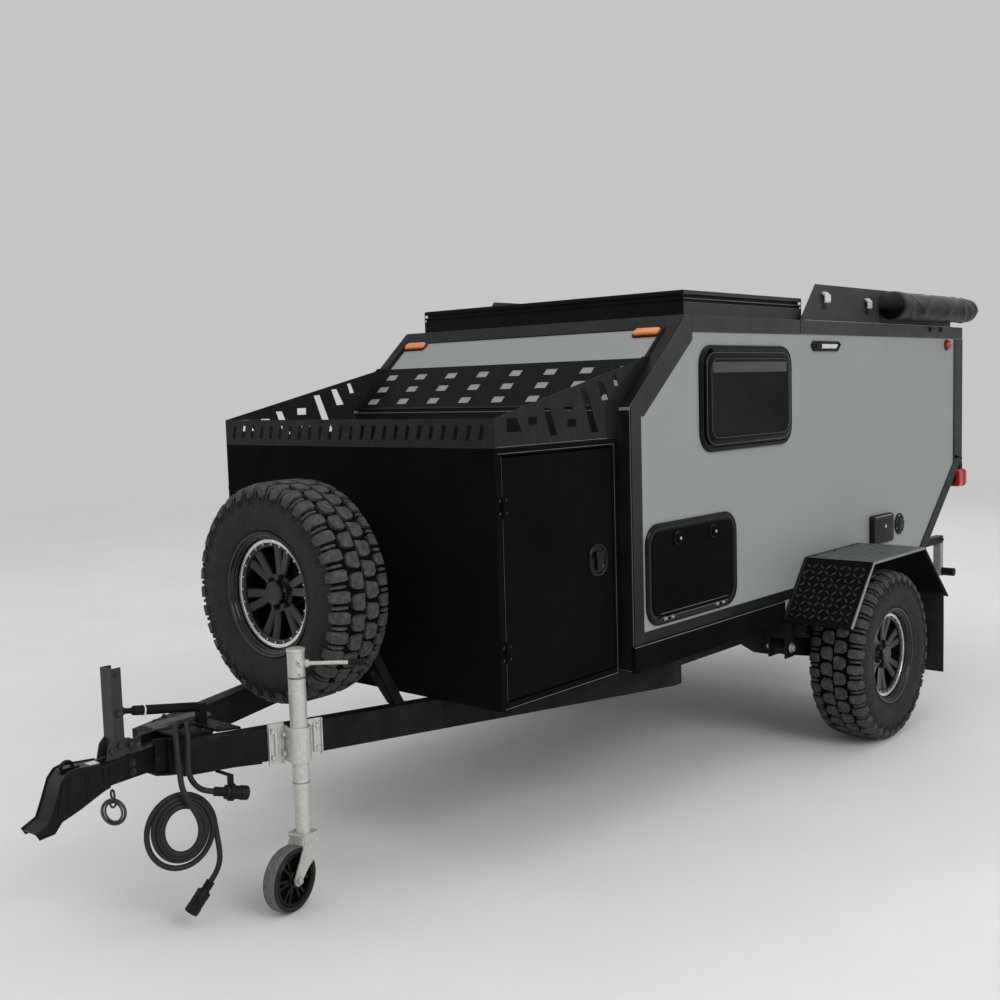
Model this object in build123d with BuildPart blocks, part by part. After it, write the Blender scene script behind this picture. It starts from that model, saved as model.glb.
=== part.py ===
"""Teardrop off-road trailer, parked on its jockey wheel.

Frame: millimetres, +Z up, +Y towards the tail, +X towards the trailer's left side, which
carries the window and the luggage hatch. The origin is on the ground, under the middle of
the trailer's overall box.
"""
import os
from math import atan2, cos, degrees, hypot, pi, radians, sin, tan

from build123d import *

os.makedirs("parts", exist_ok=True)

# Overall lengths, from the nose of the coupling to the tail
DRAWBAR_REACH = 1235.0
BOX_LENGTH = 629.0
BOX_TO_CABIN = 28.0
CABIN_LENGTH = 3053.0
LENGTH = DRAWBAR_REACH + BOX_LENGTH + BOX_TO_CABIN + CABIN_LENGTH

# The tail lamps are what reaches furthest back
LAMP_OVERHANG = 80.0

NOSE_Y = -(LENGTH + LAMP_OVERHANG) / 2
BOX_FRONT = NOSE_Y + DRAWBAR_REACH
BOX_REAR = BOX_FRONT + BOX_LENGTH
CABIN_FRONT = BOX_REAR + BOX_TO_CABIN
TAIL = CABIN_FRONT + CABIN_LENGTH

# Cabin
CABIN_HALF = 724.0
WALL = 30.0
FLOOR_Z = 554.0
BREAK_Z = 1481.0
ROOF_Z = 1807.0
SLANT_RUN = 367.0
REAR_BREAK_Z = 1118.0
REAR_SLOPE = 438.0 / 393.0
ROOF_TRIM = 54.0
LID_PROUD = 4.0
LID_DEPTH = 100.0
LID_SKIN = 25.0
LID_GAP = 6.0
LID_RISE = 16.0
BULKHEAD_FROM_CABIN = 2380.0
COUNTER_Z = 1090.0
COUNTER_BACK = 40.0
BOARD = 18.0

# Side openings of the cabin, from the cabin's front face and the ground
WINDOW_Y = 443.0
WINDOW_LENGTH = 700.0
WINDOW_Z = 1296.0
WINDOW_HEIGHT = 402.0
WINDOW_CORNER = 60.0
WINDOW_RIM = 34.0
WINDOW_PROUD = 12.0
PANE_THICKNESS = 4.0
HATCH_Y = 88.0
HATCH_LENGTH = 590.0
HATCH_Z = 712.0
HATCH_HEIGHT = 340.0
HATCH_CORNER = 60.0
DOOR_Y = 390.0
DOOR_LENGTH = 610.0
DOOR_Z = 660.0
DOOR_HEIGHT = 1060.0
DOOR_CORNER = 70.0
DOOR_WINDOW_LENGTH = 400.0
DOOR_WINDOW_HEIGHT = 330.0
DOOR_GAP = 6.0

# Hinges: barrel, leaf and pin
HINGE_R = 7.0
HINGE_LEAF = 3.0
HINGE_REACH = 26.0
HINGE_HALF = 32.0
HINGE_MID = 12.0
HINGE_PLAY = 0.4
PIN_R = 3.5

# Toolbox
BOX_HALF = 681.0
BOX_BOTTOM = 550.0
BOX_TOP = 1375.0
BOX_SHEET = 5.0
BOX_FRAME = 24.0
BOX_DOOR_THICK = 20.0
GUARD_HEIGHT = 93.0
GUARD_SHEET = 3.0
GUARD_REAR_Z = 1661.0
GUARD_SLOTS = 24
GUARD_SLOT_WIDTH = 16.0
GUARD_SLOT_HEIGHT = 52.0
GUARD_SLOT_TILT = 15.0
GUARD_SEAM = 0.5
GUARD_SEAT = 6.0

# Drawbar and frame
BEAM_HEIGHT = 100.0
BEAM_WIDTH = 50.0
BEAM_HALF_AT_BOX = 405.0
BEAM_SLOPE = 0.34
BEAM_NOSE = -800.0
RAIL_HEIGHT = 60.0
RAIL_WIDTH = 50.0
RAIL_OUTER = 660.0
TONGUE_SHEET = 8.0
TONGUE_LENGTH = 230.0
TONGUE_OVERHANG = 40.0
TONGUE_NOSE_HALF = 70.0
CROSS_FROM_CABIN = 260.0
ARM_PIVOT_AHEAD = 450.0

# Coupling head and handbrake
COUPLER_HALF = 42.0
SHANK_HALF = 34.0
COUPLER_OVERLAP = 110.0
BALL_FROM_BOX = -1150.0
BALL_Z = 408.0
BALL_R = 25.4
SHANK_TOP = 520.0
LEVER_FROM_BOX = -940.0
LEVER_WIDTH = 56.0
LEVER_DEPTH = 34.0
LEVER_SHEET = 5.0
LEVER_TOP = 788.0
STRUT_Z = 655.0
STRUT_DROP = 50.0
STRUT_LENGTH = 300.0
STRUT_R = 15.0
CHAIN_FROM_BOX = -956.0
CHAIN_WIRE = 3.5
CHAIN_LINK_R = 11.0
CHAIN_PLAY = 0.8
CHAIN_RING_R = 36.0
RING_WIRE = 4.5

# Running gear
AXLE_FROM_CABIN = 1515.0
TYRE_R = 366.5
TYRE_WIDTH = 245.0
WHEEL_OUTER_X = 1030.0
RIM_R = 208.5
BEAD_R = 190.0
RIM_DEEP = 95.0
HUB_R = 62.0
SPINDLE_R = 20.0
RUNNING_FIT = 0.08
FENDER_OUTER = 1037.0
FENDER_SHEET = 4.0
FENDER_TOP = 803.0
FENDER_LOW_FRONT = 556.0
FENDER_LOW_REAR = 545.0

ARM_INNER = 690.0
ARM_OUTER = 750.0
ARM_PIVOT_Z = 452.0
ARM_END_R = 42.0
ARM_EYE = 32.0
PIVOT_PIN_R = 9.0
PIN_REACH = 17.0
CHEEK = 6.0
CHEEK_GAP = 4.0
MOUNT_LENGTH = 70.0
SPRING_SEAT = 14.0
SPINDLE_END_GAP = 2.0
SPRING_AHEAD = 130.0
SPRING_R = 46.0
FENDER_FRONT = -451.0
FENDER_REAR = 557.0
FENDER_TOP_FRONT = -242.0
FENDER_TOP_REAR = 288.0
FLAP_THICK = 8.0
FLAP_LOW = 190.0
FLAP_INSET = 15.0
FLAP_FROM_END = 26.0

# Jockey wheel
JACK_STATION = -473.0
JACK_OFFSET = 41.0
JACK_TUBE_R = 27.0
JACK_TUBE_WALL = 3.0
JACK_PLAY = 0.3
JACK_TOP_ROOM = 140.0
JACK_FORK_TOP = 226.0
JACK_FORK_SHEET = 6.0
JACK_PIN_R = 8.0
JACK_HUB_R = 78.0
CLAMP_LENGTH = 176.0
CLAMP_HEIGHT = 128.0
CLAMP_SHEET = 6.0
COLLAR_WALL = 9.0
CRANK_Z = 748.0
CRANK_R = 6.0
CRANK_LENGTH = 132.0
CRANK_GRIP = 60.0
CRANK_TURN = 40.0
JACK_TOP = 795.0
JACK_TUBE_LOW = 360.0
JACK_WHEEL_R = 100.0
JACK_WHEEL_WIDTH = 50.0
JACK_TRAIL = 72.0
JACK_TURN = 10.0

# Spare wheel
SPARE_FACE_FROM_BOX = -387.0
SPARE_Z = 915.0
CARRIER_TUBE = 40.0
CARRIER_FROM_BOX = -132.0
CARRIER_POST_R = 60.0

# Roof, awning and fittings
RACK_FROM_CABIN = 430.0
RACK_LENGTH = 920.0
RACK_HALF = 672.0
RACK_HEIGHT = 97.0
RACK_RAIL = 40.0
RACK_SLATS = 7
SLAT_WIDTH = 60.0
SLAT_THICK = 30.0
PLATE_FROM_CABIN = 1283.0
PLATE_LENGTH = 1660.0
PLATE_RIGHT_FROM_CABIN = 790.0
PLATE_HEIGHT = 158.0
PLATE_X = 704.0
PLATE_FOOT = 30.0
PLATE_SHEET = 4.0
PLATE_CHAMFER = 140.0
BAG_FROM_CABIN = 2055.0
BAG_LENGTH = 985.0
BAG_R = 64.0
BAG_RISE = 83.0
BAG_END_R = 18.0
BUMPER_FROM_CABIN = 3060.0
BUMPER_Z = 495.0
BUMPER_R = 22.0
BUMPER_HALF = 690.0
BUMPER_ARM = 40.0
BUMPER_ARM_X = 600.0
BUMPER_ARM_Z = 650.0

# Lamps and fittings on the walls
AMBER_X = 600.0
AMBER_UP = 397.0
AMBER_LENGTH = 124.0
AMBER_WIDTH = 48.0
AMBER_PROUD = 16.0
RED_FROM_CABIN = 2837.0
RED_Z = 1714.0
RED_R = 28.0
RED_PROUD = 26.0
LAMP_X = 684.0
LAMP_Z = 1016.0
LAMP_HALF = 45.0
LAMP_CORNER = 14.0
LAMP_CAP = 36.0
LAMP_CAP_HEIGHT = 44.0
HANDLE_FROM_CABIN = 1468.0
HANDLE_Z = 1699.0
HANDLE_LENGTH = 270.0
HANDLE_HEIGHT = 44.0
INLET_FROM_CABIN = 2020.0
INLET_Z = 846.0
INLET_WIDTH = 222.0
INLET_HEIGHT = 138.0
INLET_PROUD = 28.0
SOCKET_FROM_CABIN = 2245.0
SOCKET_R = 52.0
FITTING_PROUD = 12.0
FITTING_CORNER = 12.0

# Leads at the drawbar, and the coil's centre from the toolbox's front
CORD_R = 8.5
GLAND_R = 14.0
GLAND_LENGTH = 24.0
PLUG_R = 22.0
PLUG_LENGTH = 105.0
PLUG_NECK = 0.3
COIL_AT = (154.0, -830.0, 290.0)
COIL_OUTER = (116.0, 127.0)
COIL_OPENING = (44.0, 56.0)
COIL_OPENING_UP = 28.0
COIL_THICK = 40.0
CLIP_WALL = 4.0
CLIP_LENGTH = 14.0
CLIP_PLAY = 0.3

AXLE_Z = TYRE_R
AXLE_Y = CABIN_FRONT + AXLE_FROM_CABIN
SIDES = {"left": 1, "right": -1}


def along(y):
    """A station behind the toolbox's front face, in the part's frame."""
    return BOX_FRONT + y


def cabin(y):
    """A station behind the cabin's front face, in the part's frame."""
    return CABIN_FRONT + y


def across(y):
    """A plane square to the trailer's length, that extrudes towards the tail."""
    return Plane(origin=(0, y, 0), x_dir=(-1, 0, 0), z_dir=(0, 1, 0))


def beside(x):
    """A plane square to X, with the sketch's axes along Y and Z."""
    return Plane(origin=(x, 0, 0), x_dir=(0, 1, 0), z_dir=(1, 0, 0))


def store(part, name):
    """Label one finished piece and write its file."""
    part.label = name
    export_step(part, f"parts/{name}.step")


def inset_points(points, distance):
    """The corners of a closed convex outline, moved inwards by a distance."""
    count = len(points)
    area = sum(
        points[i][0] * points[(i + 1) % count][1] - points[(i + 1) % count][0] * points[i][1]
        for i in range(count)
    )
    turn = 1 if area > 0 else -1
    moved = []
    for i in range(count):
        before, here, after = points[i - 1], points[i], points[(i + 1) % count]
        first = (here[0] - before[0], here[1] - before[1])
        second = (after[0] - here[0], after[1] - here[1])
        n1 = (-first[1] * turn / hypot(*first), first[0] * turn / hypot(*first))
        n2 = (-second[1] * turn / hypot(*second), second[0] * turn / hypot(*second))
        scale = distance / (1 + n1[0] * n2[0] + n1[1] * n2[1])
        moved.append((here[0] + (n1[0] + n2[0]) * scale, here[1] + (n1[1] + n2[1]) * scale))
    return moved


# Side outline of the cabin: floor front, front break, roof front, tail top, rear break, floor rear
FLOOR_REAR = CABIN_LENGTH - (REAR_BREAK_Z - FLOOR_Z) * REAR_SLOPE
OUTLINE = [
    (cabin(0), FLOOR_Z),
    (cabin(0), BREAK_Z),
    (cabin(SLANT_RUN), ROOF_Z),
    (TAIL, ROOF_Z),
    (TAIL, REAR_BREAK_Z),
    (cabin(FLOOR_REAR), FLOOR_Z),
]
INNER = inset_points(OUTLINE, WALL)
INSIDE_HALF = CABIN_HALF - WALL
LID_FRONT = TAIL - LID_DEPTH
LID_TOP = ROOF_Z - ROOF_TRIM
LID_BOTTOM = REAR_BREAK_Z + LID_GAP


def slab(points, x_low, x_high):
    """A closed side outline, extruded between two X stations."""
    with BuildPart() as body:
        with BuildSketch(beside(x_low)):
            with BuildLine():
                Polyline(*points, close=True)
            make_face()
        extrude(amount=x_high - x_low)
    return body.part


def side_box(y_low, y_high, z_low, z_high):
    """The corners of an upright rectangle, seen from the side."""
    return [(y_low, z_low), (y_high, z_low), (y_high, z_high), (y_low, z_high)]


def panel_between(first):
    """The cabin panel along one edge of the outline, mitred at both ends."""
    nxt = (first + 1) % len(OUTLINE)
    points = [OUTLINE[first], OUTLINE[nxt], INNER[nxt], INNER[first]]
    return slab(points, -INSIDE_HALF, INSIDE_HALF)


def hinge_knuckle(plane, leaf_side, low, high, pin_hole):
    """One barrel of a hinge with its leaf; the plane's origin lies on the skin below the pin."""
    with BuildPart() as knuckle:
        with BuildSketch(plane.offset(low)):
            with Locations((0, HINGE_R)):
                Circle(HINGE_R)
            with Locations((leaf_side * HINGE_REACH / 2, HINGE_LEAF / 2)):
                Rectangle(HINGE_REACH, HINGE_LEAF)
            if pin_hole:
                with Locations((0, HINGE_R)):
                    Circle(PIN_R + RUNNING_FIT, mode=Mode.SUBTRACT)
        extrude(amount=high - low)
    return knuckle.part


def fixed_hinge(plane):
    """The two outer barrels and the pin, on the side that stays."""
    with BuildPart() as hinge:
        add(hinge_knuckle(plane, -1, -HINGE_HALF, -HINGE_MID, False))
        add(hinge_knuckle(plane, -1, HINGE_MID, HINGE_HALF, False))
        with BuildSketch(plane.offset(-HINGE_HALF)):
            with Locations((0, HINGE_R)):
                Circle(PIN_R)
        extrude(amount=2 * HINGE_HALF)
    return hinge.part


def moving_hinge(plane):
    """The middle barrel, on the side that swings."""
    half = HINGE_MID - HINGE_PLAY
    return hinge_knuckle(plane, 1, -half, half, True)


# Drawbar and frame below the body
BEAM_TOP = BOX_BOTTOM
BEAM_LOW = BEAM_TOP - BEAM_HEIGHT
CROSS_Y = cabin(CROSS_FROM_CABIN)
BEAM_TAIL = CROSS_Y - BOX_FRONT
BEAM_SKEW = BEAM_WIDTH * hypot(1, BEAM_SLOPE)
BEAM_ANGLE = degrees(atan2(BEAM_SLOPE, 1))


def beam_x(y_from_box):
    """Outer face of a drawbar beam at a station from the toolbox's front."""
    return BEAM_HALF_AT_BOX + BEAM_SLOPE * y_from_box


with BuildPart() as beams:
    for sign in SIDES.values():
        with BuildSketch(Plane.XY.offset(BEAM_LOW)):
            with BuildLine():
                Polyline(
                    (sign * beam_x(BEAM_NOSE), along(BEAM_NOSE)),
                    (sign * beam_x(BEAM_TAIL), along(BEAM_TAIL)),
                    (sign * (beam_x(BEAM_TAIL) - BEAM_SKEW), along(BEAM_TAIL)),
                    (sign * (beam_x(BEAM_NOSE) - BEAM_SKEW), along(BEAM_NOSE)),
                    close=True,
                )
            make_face()
        extrude(amount=BEAM_HEIGHT)
store(beams.part, "drawbar_beams")

RAIL_LOW = FLOOR_Z - RAIL_HEIGHT
RAIL_REAR = cabin(FLOOR_REAR)
RAIL_MID_Z = FLOOR_Z - RAIL_HEIGHT / 2
CROSS_STATIONS = [AXLE_Y - ARM_PIVOT_AHEAD, AXLE_Y, RAIL_REAR - RAIL_WIDTH / 2]
with BuildPart() as frame:
    for sign in SIDES.values():
        with Locations((sign * (RAIL_OUTER - RAIL_WIDTH / 2), (CROSS_Y + RAIL_REAR) / 2, RAIL_MID_Z)):
            Box(RAIL_WIDTH, RAIL_REAR - CROSS_Y, RAIL_HEIGHT)
    for y in CROSS_STATIONS:
        with Locations((0, y, RAIL_MID_Z)):
            Box(2 * (RAIL_OUTER - RAIL_WIDTH), RAIL_WIDTH, RAIL_HEIGHT)
    with Locations((0, CROSS_Y + RAIL_WIDTH / 2, (BEAM_LOW + FLOOR_Z) / 2)):
        Box(2 * beam_x(BEAM_TAIL), RAIL_WIDTH, FLOOR_Z - BEAM_LOW)
store(frame.part, "chassis_frame")

# Tongue: two plates that close the beams' nose
TONGUE_FRONT = BEAM_NOSE - TONGUE_OVERHANG
TONGUE_REAR = BEAM_NOSE + TONGUE_LENGTH
with BuildPart() as tongue:
    for z in (BEAM_TOP, BEAM_LOW - TONGUE_SHEET):
        with BuildSketch(Plane.XY.offset(z)):
            with BuildLine():
                Polyline(
                    (-TONGUE_NOSE_HALF, along(TONGUE_FRONT)),
                    (TONGUE_NOSE_HALF, along(TONGUE_FRONT)),
                    (beam_x(BEAM_NOSE), along(BEAM_NOSE)),
                    (beam_x(TONGUE_REAR), along(TONGUE_REAR)),
                    (-beam_x(TONGUE_REAR), along(TONGUE_REAR)),
                    (-beam_x(BEAM_NOSE), along(BEAM_NOSE)),
                    close=True,
                )
            make_face()
        extrude(amount=TONGUE_SHEET)
store(tongue.part, "tongue_plates")

# Coupling head over a ball socket, seen from the side, and its shank under the tongue's top plate
HEAD_OUTLINE = [
    (-DRAWBAR_REACH, 372.0),
    (-DRAWBAR_REACH, 400.0),
    (-1206.0, 408.0),
    (-1150.0, 506.0),
    (-1092.0, 519.0),
    (-1020.0, SHANK_TOP),
    (-1020.0, 430.0),
    (-1072.0, 412.0),
    (-1092.0, 384.0),
    (-1124.0, 368.0),
    (-1180.0, 345.0),
]
SHANK_REAR = BEAM_NOSE + COUPLER_OVERLAP
SHANK_LOW = 438.0
SHANK_OUTLINE = [
    (-1022.0, SHANK_TOP),
    (-900.0, SHANK_TOP),
    (-870.0, BEAM_TOP),
    (SHANK_REAR, BEAM_TOP),
    (SHANK_REAR, BEAM_LOW),
    (TONGUE_FRONT - 2, BEAM_LOW),
    (TONGUE_FRONT - 2, SHANK_LOW),
    (-1022.0, SHANK_LOW),
]
EYE_Z = SHANK_LOW - 12.0
EYE_R = 7.0
EYE_HALF_WIDTH = 16.0
EYE_SHEET = 6.0
with BuildPart() as coupler:
    for outline, half in ((HEAD_OUTLINE, COUPLER_HALF), (SHANK_OUTLINE, SHANK_HALF)):
        with BuildSketch(beside(-half)):
            with BuildLine():
                Polyline(*[(along(y), z) for y, z in outline], close=True)
            make_face()
        extrude(amount=2 * half)
    with Locations((0, along(BALL_FROM_BOX), BALL_Z)):
        Sphere(BALL_R, mode=Mode.SUBTRACT)
        Cylinder(BALL_R, BALL_Z, align=(Align.CENTER, Align.CENTER, Align.MAX), mode=Mode.SUBTRACT)
    with BuildSketch(beside(-EYE_SHEET / 2)):
        with Locations((along(CHAIN_FROM_BOX), EYE_Z)):
            Rectangle(2 * EYE_HALF_WIDTH, 2 * (SHANK_LOW - EYE_Z))
            Circle(EYE_R, mode=Mode.SUBTRACT)
    extrude(amount=EYE_SHEET)
store(coupler.part, "coupler")

# Handbrake: an upright channel lever on the shank, and its strut down to the tongue
LEVER_Y = along(LEVER_FROM_BOX)
STRUT_END_Y = LEVER_Y + STRUT_LENGTH
STRUT_END_Z = STRUT_Z - STRUT_DROP
TONGUE_TOP = BEAM_TOP + TONGUE_SHEET
STRUT_PLANE = Plane(
    origin=(0, LEVER_Y - LEVER_DEPTH / 2 + LEVER_SHEET / 2, STRUT_Z),
    x_dir=(1, 0, 0),
    z_dir=(0, STRUT_LENGTH, -STRUT_DROP),
)
with BuildPart() as handbrake:
    with BuildSketch(Plane.XY.offset(SHANK_TOP)):
        with Locations((0, LEVER_Y)):
            Rectangle(LEVER_WIDTH, LEVER_DEPTH)
        with Locations((0, LEVER_Y + LEVER_SHEET)):
            Rectangle(LEVER_WIDTH - 2 * LEVER_SHEET, LEVER_DEPTH, mode=Mode.SUBTRACT)
    extrude(amount=LEVER_TOP - SHANK_TOP)
    with BuildSketch(STRUT_PLANE):
        Circle(STRUT_R)
    extrude(amount=hypot(STRUT_LENGTH, STRUT_DROP) + LEVER_DEPTH / 2)
    with Locations((0, STRUT_END_Y, (TONGUE_TOP + STRUT_END_Z) / 2)):
        Box(2 * STRUT_R, 2 * STRUT_R, STRUT_END_Z - TONGUE_TOP)
store(handbrake.part, "handbrake_lever")

# Safety chain: two links and a ring, hanging from the eye below the shank
LINK_TOP = EYE_Z - EYE_R + CHAIN_WIRE + CHAIN_PLAY
LINK_PITCH = 2 * CHAIN_LINK_R - 2 * CHAIN_WIRE - CHAIN_PLAY
RING_TOP = LINK_TOP - 2 * LINK_PITCH + RING_WIRE - CHAIN_WIRE
with BuildPart() as chain:
    with Locations((0, along(CHAIN_FROM_BOX), LINK_TOP - CHAIN_LINK_R)):
        Torus(CHAIN_LINK_R, CHAIN_WIRE, rotation=(90, 0, 0))
    with Locations((0, along(CHAIN_FROM_BOX), LINK_TOP - LINK_PITCH - CHAIN_LINK_R)):
        Torus(CHAIN_LINK_R, CHAIN_WIRE, rotation=(0, 90, 0))
    with Locations((0, along(CHAIN_FROM_BOX), RING_TOP - CHAIN_RING_R)):
        Torus(CHAIN_RING_R, RING_WIRE, rotation=(90, 0, 0))
store(chain.part, "safety_chain")

# Jockey wheel, clamped to the left beam
CLAMP_NORMAL = Vector(cos(radians(BEAM_ANGLE)), -sin(radians(BEAM_ANGLE)), 0)
CLAMP_ALONG = Vector(sin(radians(BEAM_ANGLE)), cos(radians(BEAM_ANGLE)), 0)
CLAMP_FACE = Vector(beam_x(JACK_STATION), along(JACK_STATION), (BEAM_TOP + BEAM_LOW) / 2)
JACK_AT = CLAMP_FACE + CLAMP_NORMAL * JACK_OFFSET
JACK_INNER_R = JACK_TUBE_R - JACK_TUBE_WALL - JACK_PLAY
CLAMP_PLANE = Plane(origin=CLAMP_FACE, x_dir=CLAMP_ALONG, z_dir=CLAMP_NORMAL)
COLLAR_R = JACK_TUBE_R + COLLAR_WALL
COLLAR_FOOT = JACK_AT - Vector(0, 0, CLAMP_HEIGHT / 2)
with BuildPart() as clamp:
    with BuildSketch(CLAMP_PLANE):
        Rectangle(CLAMP_LENGTH, CLAMP_HEIGHT)
    extrude(amount=CLAMP_SHEET)
    with BuildSketch(Plane(origin=COLLAR_FOOT, x_dir=CLAMP_ALONG, z_dir=(0, 0, 1))):
        Circle(COLLAR_R)
        with Locations((0, JACK_OFFSET / 2)):
            Rectangle(2 * COLLAR_R, JACK_OFFSET)
    extrude(amount=CLAMP_HEIGHT)
    with Locations((JACK_AT.X, JACK_AT.Y, JACK_AT.Z)):
        Cylinder(JACK_TUBE_R, 2 * CLAMP_HEIGHT, mode=Mode.SUBTRACT)
store(clamp.part, "jack_clamp")

with BuildPart() as jack_outer:
    with BuildSketch(Plane(origin=(JACK_AT.X, JACK_AT.Y, JACK_TUBE_LOW))):
        Circle(JACK_TUBE_R)
        Circle(JACK_TUBE_R - JACK_TUBE_WALL, mode=Mode.SUBTRACT)
    extrude(amount=JACK_TOP - JACK_TUBE_LOW)
    with BuildSketch(Plane(origin=(JACK_AT.X, JACK_AT.Y, JACK_TOP - JACK_TUBE_WALL))):
        Circle(JACK_TUBE_R)
    extrude(amount=JACK_TUBE_WALL)
store(jack_outer.part, "jack_outer_tube")

CRANK_DIR = Vector(cos(radians(CRANK_TURN)), sin(radians(CRANK_TURN)), 0)
CRANK_START = Vector(JACK_AT.X, JACK_AT.Y, CRANK_Z) + CRANK_DIR * JACK_TUBE_R
with BuildPart() as crank:
    with BuildSketch(Plane(origin=CRANK_START, z_dir=CRANK_DIR)):
        Circle(2 * CRANK_R)
    extrude(amount=2 * CRANK_R)
    with BuildSketch(Plane(origin=CRANK_START, z_dir=CRANK_DIR)):
        Circle(CRANK_R)
    extrude(amount=CRANK_LENGTH)
    with BuildSketch(Plane(origin=CRANK_START + CRANK_DIR * CRANK_LENGTH, z_dir=CRANK_DIR)):
        Circle(2 * CRANK_R)
    extrude(amount=CRANK_GRIP)
store(crank.part, "jack_crank")

with BuildPart() as jack_inner:
    with BuildSketch(Plane(origin=(JACK_AT.X, JACK_AT.Y, JACK_FORK_TOP))):
        Circle(JACK_INNER_R)
    extrude(amount=JACK_TOP - JACK_TOP_ROOM - JACK_FORK_TOP)
store(jack_inner.part, "jack_inner_tube")

AXLE_DIR = Vector(cos(radians(JACK_TURN)), sin(radians(JACK_TURN)), 0)
TRAIL_DIR = Vector(-sin(radians(JACK_TURN)), cos(radians(JACK_TURN)), 0)
JACK_HUB_AT = Vector(JACK_AT.X, JACK_AT.Y, JACK_WHEEL_R) - TRAIL_DIR * JACK_TRAIL
FORK_INNER = JACK_WHEEL_WIDTH / 2 + 5.0
FORK_CROWN = 8.0
FORK_END_R = 16.0
FORK_HEEL = 30.0
FORK_TOE = 34.0
FORK_SIDE = 62.0
CROWN_PLANE = Plane(
    origin=(JACK_AT.X, JACK_AT.Y, JACK_FORK_TOP - FORK_CROWN), x_dir=TRAIL_DIR, z_dir=(0, 0, 1)
)
with BuildPart() as fork:
    for sign in (1, -1):
        leg_at = Vector(JACK_AT.X, JACK_AT.Y, 0) + AXLE_DIR * (sign * (FORK_INNER + JACK_FORK_SHEET / 2))
        leg_plane = Plane(origin=leg_at, x_dir=TRAIL_DIR, z_dir=AXLE_DIR)
        with BuildSketch(leg_plane.offset(-JACK_FORK_SHEET / 2)):
            with BuildLine():
                Polyline(
                    (-JACK_TRAIL - FORK_END_R, JACK_WHEEL_R - 6),
                    (-JACK_TRAIL + 12, JACK_WHEEL_R - FORK_END_R),
                    (FORK_HEEL - 4, JACK_FORK_TOP - FORK_SIDE),
                    (FORK_HEEL, JACK_FORK_TOP),
                    (-FORK_TOE, JACK_FORK_TOP),
                    close=True,
                )
            make_face()
        extrude(amount=JACK_FORK_SHEET)
    with BuildSketch(CROWN_PLANE):
        with Locations(((FORK_HEEL - FORK_TOE) / 2, 0)):
            Rectangle(FORK_HEEL + FORK_TOE, 2 * (FORK_INNER + JACK_FORK_SHEET))
    extrude(amount=FORK_CROWN)
    with BuildSketch(Plane(origin=JACK_HUB_AT - AXLE_DIR * (FORK_INNER + 12), z_dir=AXLE_DIR)):
        Circle(JACK_PIN_R)
    extrude(amount=2 * (FORK_INNER + 12))
store(fork.part, "jack_fork")

HUB_PLANE = Plane(origin=JACK_HUB_AT - AXLE_DIR * (JACK_WHEEL_WIDTH / 2), z_dir=AXLE_DIR)
with BuildPart() as jack_tyre:
    with BuildSketch(HUB_PLANE):
        Circle(JACK_WHEEL_R)
        Circle(JACK_HUB_R, mode=Mode.SUBTRACT)
    extrude(amount=JACK_WHEEL_WIDTH)
    fillet(jack_tyre.edges().filter_by(GeomType.CIRCLE).group_by(SortBy.RADIUS)[-1], 8)
store(jack_tyre.part, "jack_tyre")
with BuildPart() as jack_hub:
    with BuildSketch(HUB_PLANE):
        Circle(JACK_HUB_R)
        Circle(JACK_PIN_R + RUNNING_FIT, mode=Mode.SUBTRACT)
    extrude(amount=JACK_WHEEL_WIDTH)
store(jack_hub.part, "jack_hub")


# Road wheel, on its own axis: Z points out of its face, the origin is at mid width
HALF_TYRE = TYRE_WIDTH / 2
with BuildPart() as tyre:
    with BuildSketch(Plane.XZ):
        with BuildLine():
            Polyline(
                (BEAD_R, -RIM_DEEP + 6),
                (BEAD_R, RIM_DEEP - 6),
                (RIM_R, RIM_DEEP),
                (RIM_R + 2, RIM_DEEP + 6),
            )
            ThreePointArc((RIM_R + 2, RIM_DEEP + 6), (RIM_R + 66, HALF_TYRE), (TYRE_R - 30, HALF_TYRE - 8))
            Polyline(
                (TYRE_R - 30, HALF_TYRE - 8),
                (TYRE_R - 6, HALF_TYRE - 14),
                (TYRE_R, HALF_TYRE - 26),
                (TYRE_R, -HALF_TYRE + 26),
                (TYRE_R - 6, -HALF_TYRE + 14),
                (TYRE_R - 30, -HALF_TYRE + 8),
            )
            ThreePointArc(
                (TYRE_R - 30, -HALF_TYRE + 8), (RIM_R + 66, -HALF_TYRE), (RIM_R + 2, -RIM_DEEP - 6)
            )
            Polyline((RIM_R + 2, -RIM_DEEP - 6), (RIM_R, -RIM_DEEP), (BEAD_R, -RIM_DEEP + 6))
        make_face()
    revolve(axis=Axis.Z)

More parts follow.
